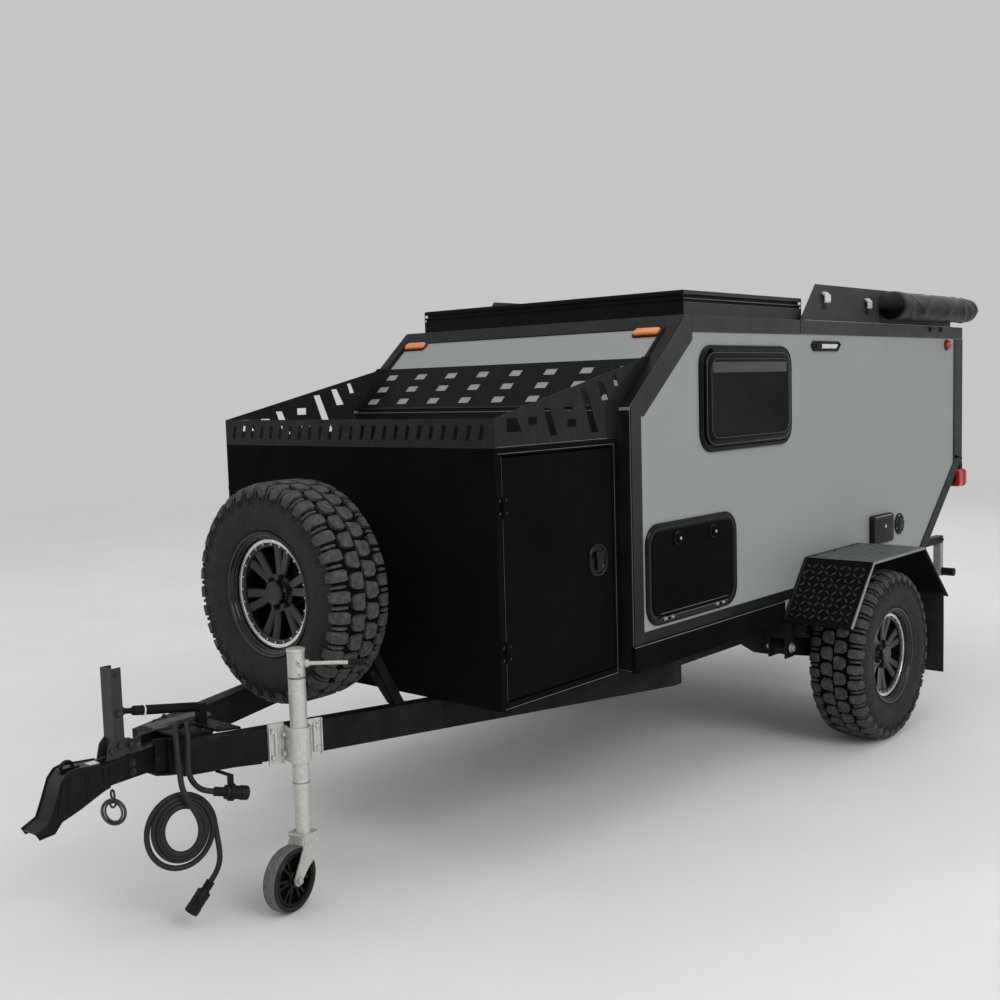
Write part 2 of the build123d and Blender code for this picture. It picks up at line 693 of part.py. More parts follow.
RIM_WALL = 8.0
DISC_LOW = 18.0
DISC_THICK = 18.0
SPOKE_PAIRS = 8
WINDOW_RING_R = 122.0
SPOKE_WINDOW = (88.0, 76.0, 71.0)
DRUM_R = 140.0
DRUM_DEPTH = 62.0
DRUM_FACE = 6.0
CAP_PROUD = 22.0
with BuildPart() as rim:
    with BuildSketch(Plane.XZ):
        with BuildLine():
            Polyline(
                (BEAD_R, -RIM_DEEP + 6),
                (BEAD_R, RIM_DEEP - 6),
                (RIM_R, RIM_DEEP),
                (RIM_R - 3, RIM_DEEP + 5),
                (BEAD_R - RIM_WALL, RIM_DEEP - 2),
                (BEAD_R - RIM_WALL, -RIM_DEEP + 2),
                (RIM_R - 3, -RIM_DEEP - 5),
                (RIM_R, -RIM_DEEP),
                close=True,
            )
        make_face()
    revolve(axis=Axis.Z)
    with BuildSketch(Plane.XY.offset(DISC_LOW)):
        Circle(BEAD_R - RIM_WALL / 2)
        with PolarLocations(WINDOW_RING_R, SPOKE_PAIRS):
            Trapezoid(*SPOKE_WINDOW, rotation=90, mode=Mode.SUBTRACT)
    extrude(amount=DISC_THICK)
    with BuildSketch(Plane.XY.offset(DISC_LOW)):
        Circle(HUB_R)
    extrude(amount=DISC_THICK + CAP_PROUD)

with BuildPart() as rim_on_drum:
    add(rim.part)
    with BuildSketch(Plane.XY.offset(DISC_LOW - DRUM_DEPTH)):
        Circle(DRUM_R)
        Circle(SPINDLE_R + RUNNING_FIT, mode=Mode.SUBTRACT)
    extrude(amount=DRUM_DEPTH - DRUM_FACE)
    with BuildSketch(Plane.XY.offset(DISC_LOW - DRUM_FACE)):
        Circle(DRUM_R)
    extrude(amount=DRUM_FACE)

WHEEL_X = WHEEL_OUTER_X - HALF_TYRE
for side, sign in SIDES.items():
    place = Plane(origin=(sign * WHEEL_X, AXLE_Y, AXLE_Z), x_dir=(0, 1, 0), z_dir=(sign, 0, 0)).location
    store(tyre.part.moved(place), f"tyre_{side}")
    store(rim_on_drum.part.moved(place), f"rim_{side}")
SPARE_Y = along(SPARE_FACE_FROM_BOX) + HALF_TYRE
spare_place = Plane(origin=(0, SPARE_Y, SPARE_Z), x_dir=(1, 0, 0), z_dir=(0, -1, 0)).location
store(tyre.part.moved(spare_place), "spare_tyre")
store(rim.part.moved(spare_place), "spare_rim")

# Spare wheel carrier: a hub post behind the disc, with two splayed legs down to the beams
CARRIER_FRONT = along(CARRIER_FROM_BOX)
CARRIER_FOOT = CARRIER_FROM_BOX + CARRIER_TUBE / 2
with BuildPart() as carrier:
    with BuildSketch(across(SPARE_Y - DISC_LOW)):
        with Locations((0, SPARE_Z)):
            Circle(CARRIER_POST_R)
    extrude(amount=CARRIER_FRONT - SPARE_Y + DISC_LOW)
    for sign in SIDES.values():
        foot_x = sign * (beam_x(CARRIER_FOOT) - BEAM_SKEW / 2)
        with BuildSketch(across(CARRIER_FRONT)):
            with BuildLine():
                Polyline(
                    (0, SPARE_Z + CARRIER_POST_R),
                    (0, SPARE_Z - CARRIER_POST_R),
                    (foot_x - sign * CARRIER_TUBE, BEAM_TOP),
                    (foot_x, BEAM_TOP),
                    close=True,
                )
            make_face()
        extrude(amount=CARRIER_TUBE)
store(carrier.part, "spare_carrier")

# Toolbox: sheet shell with a framed door opening in each side
DOOR_LOW = BOX_BOTTOM + BOX_FRAME
DOOR_HIGH = BOX_TOP - BOX_FRAME
BOX_MID_Y = (BOX_FRONT + BOX_REAR) / 2
BOX_MID_Z = (DOOR_LOW + DOOR_HIGH) / 2
JAMB = BOX_DOOR_THICK + BOX_SHEET
BOX_HINGE_Y = BOX_FRONT + BOX_FRAME + DOOR_GAP / 2
BOX_HINGE_Z = [DOOR_LOW + 160.0, DOOR_HIGH - 160.0]


def box_hinge_plane(sign, z):
    """On the toolbox's side at the front edge of the door opening."""
    return Plane(origin=(sign * BOX_HALF, BOX_HINGE_Y, z), x_dir=(0, 1, 0), z_dir=(0, 0, -sign))


with BuildPart() as toolbox:
    with Locations((0, BOX_MID_Y, (BOX_BOTTOM + BOX_TOP) / 2)):
        Box(2 * BOX_HALF, BOX_LENGTH, BOX_TOP - BOX_BOTTOM)
        Box(
            2 * (BOX_HALF - JAMB),
            BOX_LENGTH - 2 * BOX_SHEET,
            BOX_TOP - BOX_BOTTOM - 2 * BOX_SHEET,
            mode=Mode.SUBTRACT,
        )
    with Locations((0, BOX_MID_Y, BOX_MID_Z)):
        Box(2 * BOX_HALF + 2, BOX_LENGTH - 2 * BOX_FRAME, DOOR_HIGH - DOOR_LOW, mode=Mode.SUBTRACT)
    for sign in SIDES.values():
        for z in BOX_HINGE_Z:
            add(fixed_hinge(box_hinge_plane(sign, z)))
store(toolbox.part, "toolbox_body")

for side, sign in SIDES.items():
    with BuildPart() as box_door:
        with Locations((sign * (BOX_HALF - BOX_DOOR_THICK / 2), BOX_MID_Y, BOX_MID_Z)):
            Box(
                BOX_DOOR_THICK,
                BOX_LENGTH - 2 * BOX_FRAME - 2 * DOOR_GAP,
                DOOR_HIGH - DOOR_LOW - 2 * DOOR_GAP,
            )
        for z in BOX_HINGE_Z:
            add(moving_hinge(box_hinge_plane(sign, z)))
    store(box_door.part, f"toolbox_door_{side}")

# Guard on the toolbox: a slotted front plate and two side plates up to the cabin's slant
SLANT_SLOPE = (ROOF_Z - BREAK_Z) / SLANT_RUN
GUARD_TOP = BOX_TOP + GUARD_HEIGHT
GUARD_FRONT_HALF = BOX_HALF - GUARD_SHEET - GUARD_SEAM
CUT_PAST = 5.0

# Cut-outs of the side plates: distance behind the toolbox's front and height
GUARD_CUTS = [
    [(58, 1466), (109, 1465), (132, 1422), (59, 1423)],
    [(165, 1441), (209, 1441), (209, 1466), (165, 1466)],
    [(240, 1493), (272, 1492), (310, 1402), (274, 1401)],
    [(347, 1476), (394, 1476), (394, 1502), (347, 1502)],
    [(364, 1426), (412, 1426), (412, 1452), (364, 1452)],
    [(436, 1550), (468, 1553), (533, 1402), (494, 1402)],
    [(530, 1573), (560, 1575), (596, 1511), (557, 1508)],
    [(618, 1595), (638, 1598), (656, 1558), (632, 1555)],
]
GUARD_SIDE = [
    (BOX_FRONT, BOX_TOP),
    (BOX_FRONT, GUARD_TOP),
    (cabin((GUARD_REAR_Z - BREAK_Z) / SLANT_SLOPE) - GUARD_SEAT, GUARD_REAR_Z),
    (cabin(0) - GUARD_SEAT, BREAK_Z),
    (BOX_REAR, BOX_TOP),
]
with BuildPart() as guard:
    with BuildSketch(across(BOX_FRONT)):
        with Locations((0, (BOX_TOP + GUARD_TOP) / 2)):
            Rectangle(2 * GUARD_FRONT_HALF, GUARD_HEIGHT)
            with GridLocations(2 * BOX_HALF / (GUARD_SLOTS + 1), 1, GUARD_SLOTS, 1):
                Rectangle(
                    GUARD_SLOT_WIDTH, GUARD_SLOT_HEIGHT, rotation=GUARD_SLOT_TILT, mode=Mode.SUBTRACT
                )
    extrude(amount=GUARD_SHEET)
    for low in (-BOX_HALF, BOX_HALF - GUARD_SHEET):
        side_plate = slab(GUARD_SIDE, low, low + GUARD_SHEET)
        for cut in GUARD_CUTS:
            outline = [(BOX_FRONT + back, up) for back, up in cut]
            side_plate -= slab(outline, low - CUT_PAST, low + GUARD_SHEET + CUT_PAST)
        add(side_plate)
store(guard.part, "toolbox_guard")

# Perforated plate that lies on the cabin's slant, with three rows of square holes
PLATE_REACH = 255.0
SLANT_PLANE = Plane(
    origin=(0, cabin(0), BREAK_Z),
    x_dir=(1, 0, 0),
    z_dir=(0, -SLANT_SLOPE, 1),
)
PLATE_ROWS = 3
PLATE_HOLES = 8
PLATE_HOLE = 36.0
PLATE_HOLE_LENGTH = 58.0
PLATE_PITCH = 172.0
PLATE_ROW_PITCH = 74.0
with BuildPart() as slant_plate:
    with BuildSketch(SLANT_PLANE):
        with Locations((0, PLATE_REACH / 2)):
            Rectangle(2 * BOX_HALF, PLATE_REACH)
            with GridLocations(PLATE_PITCH, PLATE_ROW_PITCH, PLATE_HOLES, PLATE_ROWS):
                Rectangle(PLATE_HOLE_LENGTH, PLATE_HOLE, mode=Mode.SUBTRACT)
    extrude(amount=GUARD_SHEET)
store(slant_plate.part, "slant_plate")

# Cabin shell
store(panel_between(5), "cabin_floor")
with BuildPart() as front_panel:
    add(panel_between(0))
    add(panel_between(1))
store(front_panel.part, "cabin_front")
LID_HINGE_Z = LID_TOP - LID_GAP / 2
LID_HINGE_X = [-480.0, 0.0, 480.0]


def lid_hinge_plane(x):
    """On the tail's face, above the galley lid."""
    return Plane(origin=(x, TAIL, LID_HINGE_Z), x_dir=(0, 0, -1), z_dir=(1, 0, 0))


with BuildPart() as roof:
    add(panel_between(2))
    add(slab(side_box(TAIL - WALL, TAIL, LID_TOP, ROOF_Z), -INSIDE_HALF, INSIDE_HALF))
    for x in LID_HINGE_X:
        add(fixed_hinge(lid_hinge_plane(x)))
store(roof.part, "cabin_roof")
TAIL_PANEL_INNER = (INNER[4][0] - (INNER[4][1] - REAR_BREAK_Z) * REAR_SLOPE, REAR_BREAK_Z)
TAIL_PANEL = [OUTLINE[4], OUTLINE[5], INNER[5], TAIL_PANEL_INNER]
store(slab(TAIL_PANEL, -INSIDE_HALF, INSIDE_HALF), "cabin_tail_panel")

WINDOW_AT = (cabin(WINDOW_Y + WINDOW_LENGTH / 2), WINDOW_Z + WINDOW_HEIGHT / 2)
HATCH_AT = (cabin(HATCH_Y + HATCH_LENGTH / 2), HATCH_Z + HATCH_HEIGHT / 2)
DOOR_AT = (cabin(DOOR_Y + DOOR_LENGTH / 2), DOOR_Z + DOOR_HEIGHT / 2)
DOOR_WINDOW_AT = (DOOR_AT[0], DOOR_AT[1] + 280.0)
WALL_OUTLINE = [
    *OUTLINE[:4],
    (TAIL, LID_TOP),
    (LID_FRONT - LID_GAP, LID_TOP),
    (LID_FRONT - LID_GAP, REAR_BREAK_Z),
    *OUTLINE[4:],
]


def hatch_hinge_plane(y):
    """On the left wall, below the luggage hatch."""
    origin = (CABIN_HALF, y, HATCH_Z + DOOR_GAP / 2)
    return Plane(origin=origin, x_dir=(0, 0, 1), z_dir=(0, 1, 0))


def door_hinge_plane(z):
    """On the right wall, ahead of the entry door."""
    origin = (-CABIN_HALF, cabin(DOOR_Y) + DOOR_GAP / 2, z)
    return Plane(origin=origin, x_dir=(0, 1, 0), z_dir=(0, 0, 1))


HATCH_HINGES = [cabin(HATCH_Y + HATCH_LENGTH * share) for share in (0.2, 0.8)]
DOOR_HINGES = [DOOR_Z + DOOR_HEIGHT * share for share in (0.15, 0.5, 0.85)]

with BuildPart() as wall_left:
    with BuildSketch(beside(INSIDE_HALF)):
        with BuildLine():
            Polyline(*WALL_OUTLINE, close=True)
        make_face()
        with Locations(WINDOW_AT):
            RectangleRounded(
                WINDOW_LENGTH - WINDOW_RIM,
                WINDOW_HEIGHT - WINDOW_RIM,
                WINDOW_CORNER,
                mode=Mode.SUBTRACT,
            )
        with Locations(HATCH_AT):
            RectangleRounded(HATCH_LENGTH, HATCH_HEIGHT, HATCH_CORNER, mode=Mode.SUBTRACT)
    extrude(amount=WALL)
    for y in HATCH_HINGES:
        add(fixed_hinge(hatch_hinge_plane(y)))
store(wall_left.part, "cabin_wall_left")

with BuildPart() as wall_right:
    with BuildSketch(beside(-CABIN_HALF)):
        with BuildLine():
            Polyline(*WALL_OUTLINE, close=True)
        make_face()
        with Locations(DOOR_AT):
            RectangleRounded(DOOR_LENGTH, DOOR_HEIGHT, DOOR_CORNER, mode=Mode.SUBTRACT)
    extrude(amount=WALL)
    for z in DOOR_HINGES:
        add(fixed_hinge(door_hinge_plane(z)))
store(wall_right.part, "cabin_wall_right")

with BuildPart() as hatch:
    with BuildSketch(beside(INSIDE_HALF)):
        with Locations(HATCH_AT):
            RectangleRounded(
                HATCH_LENGTH - 2 * DOOR_GAP, HATCH_HEIGHT - 2 * DOOR_GAP, HATCH_CORNER - DOOR_GAP
            )
    extrude(amount=WALL)
    for y in HATCH_HINGES:
        add(moving_hinge(hatch_hinge_plane(y)))
store(hatch.part, "luggage_hatch")

with BuildPart() as door:
    with BuildSketch(beside(-CABIN_HALF)):
        with Locations(DOOR_AT):
            RectangleRounded(
                DOOR_LENGTH - 2 * DOOR_GAP, DOOR_HEIGHT - 2 * DOOR_GAP, DOOR_CORNER - DOOR_GAP
            )
        with Locations(DOOR_WINDOW_AT):
            RectangleRounded(
                DOOR_WINDOW_LENGTH - WINDOW_RIM,
                DOOR_WINDOW_HEIGHT - WINDOW_RIM,
                WINDOW_CORNER,
                mode=Mode.SUBTRACT,
            )
    extrude(amount=WALL)
    for z in DOOR_HINGES:
        add(moving_hinge(door_hinge_plane(z)))
store(door.part, "entry_door")

WINDOWS = {
    "window_left": (WINDOW_AT, WINDOW_LENGTH, WINDOW_HEIGHT, 1),
    "door_window": (DOOR_WINDOW_AT, DOOR_WINDOW_LENGTH, DOOR_WINDOW_HEIGHT, -1),
}
for name, (at, length, height, sign) in WINDOWS.items():
    with BuildPart() as window_frame:
        with BuildSketch(beside(sign * CABIN_HALF)):
            with Locations(at):
                RectangleRounded(length, height, WINDOW_CORNER + WINDOW_RIM / 2)
                RectangleRounded(
                    length - 2 * WINDOW_RIM,
                    height - 2 * WINDOW_RIM,
                    WINDOW_CORNER,
                    mode=Mode.SUBTRACT,
                )
        extrude(amount=sign * WINDOW_PROUD)
    store(window_frame.part, f"{name}_frame")
    with BuildPart() as pane:
        with BuildSketch(beside(sign * (CABIN_HALF + WINDOW_PROUD))):
            with Locations(at):
                RectangleRounded(length - WINDOW_RIM, height - WINDOW_RIM, WINDOW_CORNER)
        extrude(amount=sign * PANE_THICKNESS)
    store(pane.part, f"{name}_pane")

# Galley lid: a shallow clamshell hinged below the roof's edge, and the galley behind it
LID_HALF = CABIN_HALF + LID_PROUD
LID_TOP_EDGE = LID_TOP - LID_GAP
with BuildPart() as lid:
    add(slab(side_box(TAIL - LID_SKIN, TAIL, LID_BOTTOM, LID_TOP_EDGE), -LID_HALF, LID_HALF))
    for low in (-LID_HALF, LID_HALF - WALL):
        add(
            slab(
                [
                    (TAIL - LID_SKIN, LID_BOTTOM),
                    (TAIL - LID_SKIN, LID_TOP_EDGE),
                    (LID_FRONT, LID_TOP_EDGE),
                    (LID_FRONT, LID_BOTTOM + LID_RISE),
                ],
                low,
                low + WALL,
            )
        )
    for x in LID_HINGE_X:
        add(moving_hinge(lid_hinge_plane(x)))
store(lid.part, "galley_lid")

BULKHEAD_Y = cabin(BULKHEAD_FROM_CABIN)
COUNTER_REAR = LID_FRONT - COUNTER_BACK
INSIDE_HEIGHTS = (FLOOR_Z + WALL, ROOF_Z - WALL)
with BuildPart() as galley:
    add(slab(side_box(BULKHEAD_Y, BULKHEAD_Y + BOARD, *INSIDE_HEIGHTS), -INSIDE_HALF, INSIDE_HALF))
    add(slab(side_box(BULKHEAD_Y, COUNTER_REAR, COUNTER_Z, COUNTER_Z + BOARD), -INSIDE_HALF, INSIDE_HALF))
store(galley.part, "galley_boards")

# Roof: a slatted rack ahead, upright side plates behind it and the rolled awning in its bag
RACK_FRONT = cabin(RACK_FROM_CABIN)
RACK_REAR = RACK_FRONT + RACK_LENGTH
RACK_MID_Y = (RACK_FRONT + RACK_REAR) / 2
with BuildPart() as rack:
    with Locations((0, RACK_MID_Y, ROOF_Z + RACK_HEIGHT / 2)):
        Box(2 * RACK_HALF, RACK_LENGTH, RACK_HEIGHT)
        Box(2 * (RACK_HALF - RACK_RAIL), RACK_LENGTH - 2 * RACK_RAIL, RACK_HEIGHT, mode=Mode.SUBTRACT)
    with Locations((0, RACK_MID_Y, ROOF_Z + RACK_HEIGHT - SLAT_THICK / 2)):
        with GridLocations(1, RACK_LENGTH / (RACK_SLATS + 1), 1, RACK_SLATS):
            Box(2 * (RACK_HALF - RACK_RAIL), SLAT_WIDTH, SLAT_THICK)
store(rack.part, "roof_rack")

PLATE_FRONTS = {"left": PLATE_FROM_CABIN, "right": PLATE_RIGHT_FROM_CABIN}
PLATE_REAR = cabin(PLATE_FROM_CABIN + PLATE_LENGTH)
with BuildPart() as side_plates:
    for side, sign in SIDES.items():
        front = cabin(PLATE_FRONTS[side])
        with BuildSketch(beside(sign * PLATE_X)):
            with BuildLine():
                Polyline(
                    (front, ROOF_Z),
                    (front + PLATE_CHAMFER, ROOF_Z + PLATE_HEIGHT),
                    (PLATE_REAR, ROOF_Z + PLATE_HEIGHT),
                    (PLATE_REAR, ROOF_Z),
                    close=True,
                )
            make_face()
        extrude(amount=-sign * PLATE_SHEET)
        foot_at = (sign * (PLATE_X - PLATE_FOOT / 2), (front + PLATE_REAR) / 2)
        with Locations((*foot_at, ROOF_Z + PLATE_SHEET / 2)):
            Box(PLATE_FOOT, PLATE_REAR - front, PLATE_SHEET)
store(side_plates.part, "awning_plates")

BAG_FRONT = cabin(BAG_FROM_CABIN)
with BuildPart() as bag:
    with BuildSketch(across(BAG_FRONT)):
        with Locations((-(PLATE_X + BAG_R), ROOF_Z + BAG_RISE)):
            Circle(BAG_R)
    extrude(amount=BAG_LENGTH)
    fillet(bag.edges().filter_by(GeomType.CIRCLE), BAG_END_R)
store(bag.part, "awning_bag")

# Running gear below the floor
MOUNT_DROP = ARM_PIVOT_Z - ARM_END_R
MOUNT_OUTER = ARM_OUTER + CHEEK_GAP + CHEEK
PIVOT_Y = AXLE_Y - ARM_PIVOT_AHEAD
SPRING_Y = AXLE_Y - SPRING_AHEAD
ARM_MID_X = (ARM_INNER + ARM_OUTER) / 2
SPRING_OUTER = ARM_MID_X + SPRING_R
with BuildPart() as mounts:
    for sign in SIDES.values():
        with Locations((sign * (RAIL_OUTER + MOUNT_OUTER) / 2, PIVOT_Y, RAIL_MID_Z)):
            Box(MOUNT_OUTER - RAIL_OUTER, MOUNT_LENGTH, RAIL_HEIGHT)
        for cheek_x in (ARM_INNER - CHEEK_GAP - CHEEK / 2, ARM_OUTER + CHEEK_GAP + CHEEK / 2):
            with Locations((sign * cheek_x, PIVOT_Y, (RAIL_LOW + MOUNT_DROP) / 2)):
                Box(CHEEK, MOUNT_LENGTH, RAIL_LOW - MOUNT_DROP)
        with BuildSketch(beside(sign * (ARM_INNER - PIN_REACH))):
            with Locations((PIVOT_Y, ARM_PIVOT_Z)):
                Circle(PIVOT_PIN_R)
        extrude(amount=sign * (ARM_OUTER - ARM_INNER + 2 * PIN_REACH))
        with Locations((sign * (RAIL_OUTER + SPRING_OUTER) / 2, SPRING_Y, FLOOR_Z - SPRING_SEAT / 2)):
            Box(SPRING_OUTER - RAIL_OUTER, 2 * SPRING_R, SPRING_SEAT)
store(mounts.part, "suspension_mounts")

with BuildPart() as arms:
    for sign in SIDES.values():
        with BuildSketch(beside(sign * ARM_INNER)):
            with BuildLine():
                Polyline(
                    (PIVOT_Y - ARM_EYE, ARM_PIVOT_Z),
                    (PIVOT_Y, ARM_PIVOT_Z + ARM_EYE),
                    (AXLE_Y, AXLE_Z + ARM_END_R),
                    (AXLE_Y + ARM_END_R, AXLE_Z),
                    (AXLE_Y, AXLE_Z - ARM_END_R),
                    (PIVOT_Y, ARM_PIVOT_Z - ARM_EYE),
                    close=True,
                )
            make_face()
            with Locations((PIVOT_Y, ARM_PIVOT_Z)):
                Circle(PIVOT_PIN_R + RUNNING_FIT, mode=Mode.SUBTRACT)
        extrude(amount=sign * (ARM_OUTER - ARM_INNER))
        with BuildSketch(beside(sign * ARM_OUTER)):
            with Locations((AXLE_Y, AXLE_Z)):
                Circle(SPINDLE_R)
        extrude(amount=sign * (WHEEL_X + DISC_LOW - DRUM_FACE - SPINDLE_END_GAP - ARM_OUTER))
store(arms.part, "suspension_arms")

# Springs stand on the arms' sloping top, at the front edge of their foot
ARM_TOP_FRONT = ARM_PIVOT_Z + ARM_EYE
ARM_TOP_FALL = (ARM_TOP_FRONT - AXLE_Z - ARM_END_R) / ARM_PIVOT_AHEAD
SPRING_LOW = ARM_TOP_FRONT - ARM_TOP_FALL * (SPRING_Y - SPRING_R - PIVOT_Y)
with BuildPart() as springs:
    for sign in SIDES.values():
        with BuildSketch(Plane(origin=(sign * ARM_MID_X, SPRING_Y, SPRING_LOW))):
            Circle(SPRING_R)
        extrude(amount=FLOOR_Z - SPRING_SEAT - SPRING_LOW)
store(springs.part, "coil_springs")

FENDER_OUTLINE = [
    (AXLE_Y + FENDER_FRONT, FENDER_LOW_FRONT),
    (AXLE_Y + FENDER_TOP_FRONT, FENDER_TOP),
    (AXLE_Y + FENDER_TOP_REAR, FENDER_TOP),
    (AXLE_Y + FENDER_REAR, FENDER_LOW_REAR),
]
FENDER_INSIDE = inset_points(FENDER_OUTLINE, FENDER_SHEET)
with BuildPart() as fenders:
    for sign in SIDES.values():
        low, high = sorted((sign * CABIN_HALF, sign * FENDER_OUTER))
        add(slab(FENDER_OUTLINE + FENDER_INSIDE[::-1], low, high))
store(fenders.part, "fenders")

FENDER_FALL = (FENDER_TOP - FENDER_LOW_REAR) / (FENDER_REAR - FENDER_TOP_REAR)
FLAP_Y = AXLE_Y + FENDER_REAR - FLAP_FROM_END
FLAP_MID_X = (CABIN_HALF + FENDER_OUTER) / 2
FENDER_AT_FLAP = FENDER_LOW_REAR + (FLAP_FROM_END - FLAP_THICK) * FENDER_FALL
FLAP_TOP = FENDER_AT_FLAP - FENDER_SHEET * hypot(1, FENDER_FALL)
with BuildPart() as flaps:
    for sign in SIDES.values():
        with Locations((sign * FLAP_MID_X, FLAP_Y + FLAP_THICK / 2, (FLAP_LOW + FLAP_TOP) / 2)):
            Box(FENDER_OUTER - CABIN_HALF - 2 * FLAP_INSET, FLAP_THICK, FLAP_TOP - FLAP_LOW)
store(flaps.part, "mudflaps")

# Rear bumper: a tube on two posts, each hung from an arm that stands off the sloping tail
BEHIND_SLOPE = [OUTLINE[4], OUTLINE[5], (OUTLINE[5][0], OUTLINE[4][1])]
BUMPER_Y = cabin(BUMPER_FROM_CABIN)
ARM_SEAT_Y = TAIL - (REAR_BREAK_Z - BUMPER_ARM_Z) * REAR_SLOPE
ARM_END_Y = BUMPER_Y + BUMPER_ARM / 2
with BuildPart() as bumper:
    with BuildSketch(beside(-BUMPER_HALF)):
        with Locations((BUMPER_Y, BUMPER_Z)):
            Circle(BUMPER_R)
    extrude(amount=2 * BUMPER_HALF)
    for sign in SIDES.values():
        with Locations((sign * BUMPER_ARM_X, BUMPER_Y, (BUMPER_Z + BUMPER_ARM_Z) / 2)):
            Box(BUMPER_ARM, BUMPER_ARM, BUMPER_ARM_Z - BUMPER_Z)
        with Locations((sign * BUMPER_ARM_X, (ARM_SEAT_Y + ARM_END_Y) / 2, BUMPER_ARM_Z + BUMPER_ARM / 2)):
            Box(BUMPER_ARM, ARM_END_Y - ARM_SEAT_Y, BUMPER_ARM)
    add(slab(BEHIND_SLOPE, -BUMPER_HALF, BUMPER_HALF), mode=Mode.SUBTRACT)
store(bumper.part, "rear_bumper")

# Lamps and fittings
with BuildPart() as amber:
    with BuildSketch(SLANT_PLANE):
        with Locations(*[(sign * AMBER_X, AMBER_UP) for sign in SIDES.values()]):
            SlotOverall(AMBER_LENGTH, AMBER_WIDTH)
    extrude(amount=AMBER_PROUD)
store(amber.part, "amber_markers")

with BuildPart() as red:
    for sign in SIDES.values():
        with BuildSketch(beside(sign * CABIN_HALF)):
            with Locations((cabin(RED_FROM_CABIN), RED_Z)):
                Circle(RED_R)
        extrude(amount=sign * RED_PROUD)
store(red.part, "red_markers")

LAMP_SEAT_Y = TAIL - (REAR_BREAK_Z - LAMP_Z) * REAR_SLOPE
LAMP_END_Y = TAIL + LAMP_OVERHANG
with BuildPart() as lamps:
    for sign in SIDES.values():
        with BuildSketch(across(LAMP_SEAT_Y - LAMP_HALF)):
            with Locations((-sign * LAMP_X, LAMP_Z)):
                RectangleRounded(2 * LAMP_HALF, 2 * LAMP_HALF, LAMP_CORNER)
        extrude(amount=LAMP_END_Y - LAMP_SEAT_Y + LAMP_HALF)
        with Locations((sign * LAMP_X, LAMP_END_Y - LAMP_CORNER - LAMP_CAP / 2, LAMP_Z + LAMP_HALF + LAMP_CAP_HEIGHT / 2)):
            Box(LAMP_CAP, LAMP_CAP, LAMP_CAP_HEIGHT)
    add(slab(BEHIND_SLOPE, -LAMP_X - LAMP_HALF, LAMP_X + LAMP_HALF), mode=Mode.SUBTRACT)
store(lamps.part, "tail_lamps")

with BuildPart() as fittings:
    for sign in SIDES.values():
        with BuildSketch(beside(sign * CABIN_HALF)):
            with Locations((cabin(HANDLE_FROM_CABIN), HANDLE_Z)):
                RectangleRounded(HANDLE_LENGTH, HANDLE_HEIGHT, FITTING_CORNER)
        extrude(amount=sign * FITTING_PROUD)
    with BuildSketch(beside(CABIN_HALF)):
        with Locations((cabin(INLET_FROM_CABIN), INLET_Z)):
            RectangleRounded(INLET_WIDTH, INLET_HEIGHT, FITTING_CORNER)
    extrude(amount=INLET_PROUD)
    with BuildSketch(beside(CABIN_HALF)):
        with Locations((cabin(SOCKET_FROM_CABIN), INLET_Z)):
            Circle(SOCKET_R)
    extrude(amount=FITTING_PROUD)
store(fittings.part, "wall_fittings")


# Leads: two strands from glands on the tongue over the left beam, one to a hanging coil
# and its plug, one to a plug parked below the beam
def place_points(points):
    """Route points given from the toolbox's front face, in the part's frame."""
    return [(x, along(y), z) for x, y, z in points]


def bend_radii(points):
    """For each inner point, 0.45 of the shorter run over the tangent of half the turn."""
    radii = []
    for before, here, after in zip(points, points[1:], points[2:]):
        first = Vector(*here) - Vector(*before)
        second = Vector(*after) - Vector(*here)
        turn = first.get_angle(second)
        radii.append(0.45 * min(first.length, second.length) / tan(radians(turn / 2)))
    return radii


def lead_tube(points, name):
    """A round tube along straight runs and tangent arcs."""
    radii = bend_radii(points)
    with BuildPart() as tube:
        with BuildLine() as path:
            FilletPolyline(*points, radius=radii)
        start = Vector(*points[1]) - Vector(*points[0])
        with BuildSketch(Plane(origin=points[0], z_dir=start)):
            Circle(CORD_R)
        sweep(path=path.wires()[0])
    length = path.wires()[0].length
    share = tube.part.volume / (length * pi * CORD_R**2)
    print(name, "radii", [round(r) for r in radii], "length", round(length), "volume", round(share, 4))
    store(tube.part, name)


DROP_ROUTE = place_points(
    [
        (46, -752, 580),
        (68, -771, 588),
        (91, -790, 592),
        (115, -808, 586),
        (135, -821, 569),
        (147, -828, 543),
        (152, -830, 512),
        (153, -829, 478),
        (153, -831, 444),
        (154, -830, 417),
    ]
)
PARKED_ROUTE = place_points(
    [
        (52, -726, 580),
        (76, -743, 588),
        (101, -760, 592),
        (126, -776, 586),
        (147, -789, 570),
        (161, -799, 545),
        (167, -806, 514),
        (169, -808, 480),
        (171, -803, 451),
        (176, -788, 426),
        (184, -766, 408),
        (192, -739, 401),
    ]
)
TAIL_ROUTE = place_points(
    [
        (187, -730, 238),
        (189, -727, 208),
        (188, -731, 179),
        (184, -741, 152),
        (178, -757, 130),
    ]
)
lead_tube(DROP_ROUTE, "lead_drop")
lead_tube(PARKED_ROUTE, "parked_lead")
lead_tube(TAIL_ROUTE, "lead_tail")

COIL_PLANE = Plane(
    origin=(COIL_AT[0], along(COIL_AT[1]), COIL_AT[2]), x_dir=CLAMP_ALONG, z_dir=CLAMP_NORMAL
)
with BuildPart() as coil:
    with BuildSketch(COIL_PLANE.offset(-COIL_THICK / 2)):
        Ellipse(*COIL_OUTER)
        with Locations((0, COIL_OPENING_UP)):
            Ellipse(*COIL_OPENING, mode=Mode.SUBTRACT)
    extrude(amount=COIL_THICK)
store(coil.part, "lead_coil")


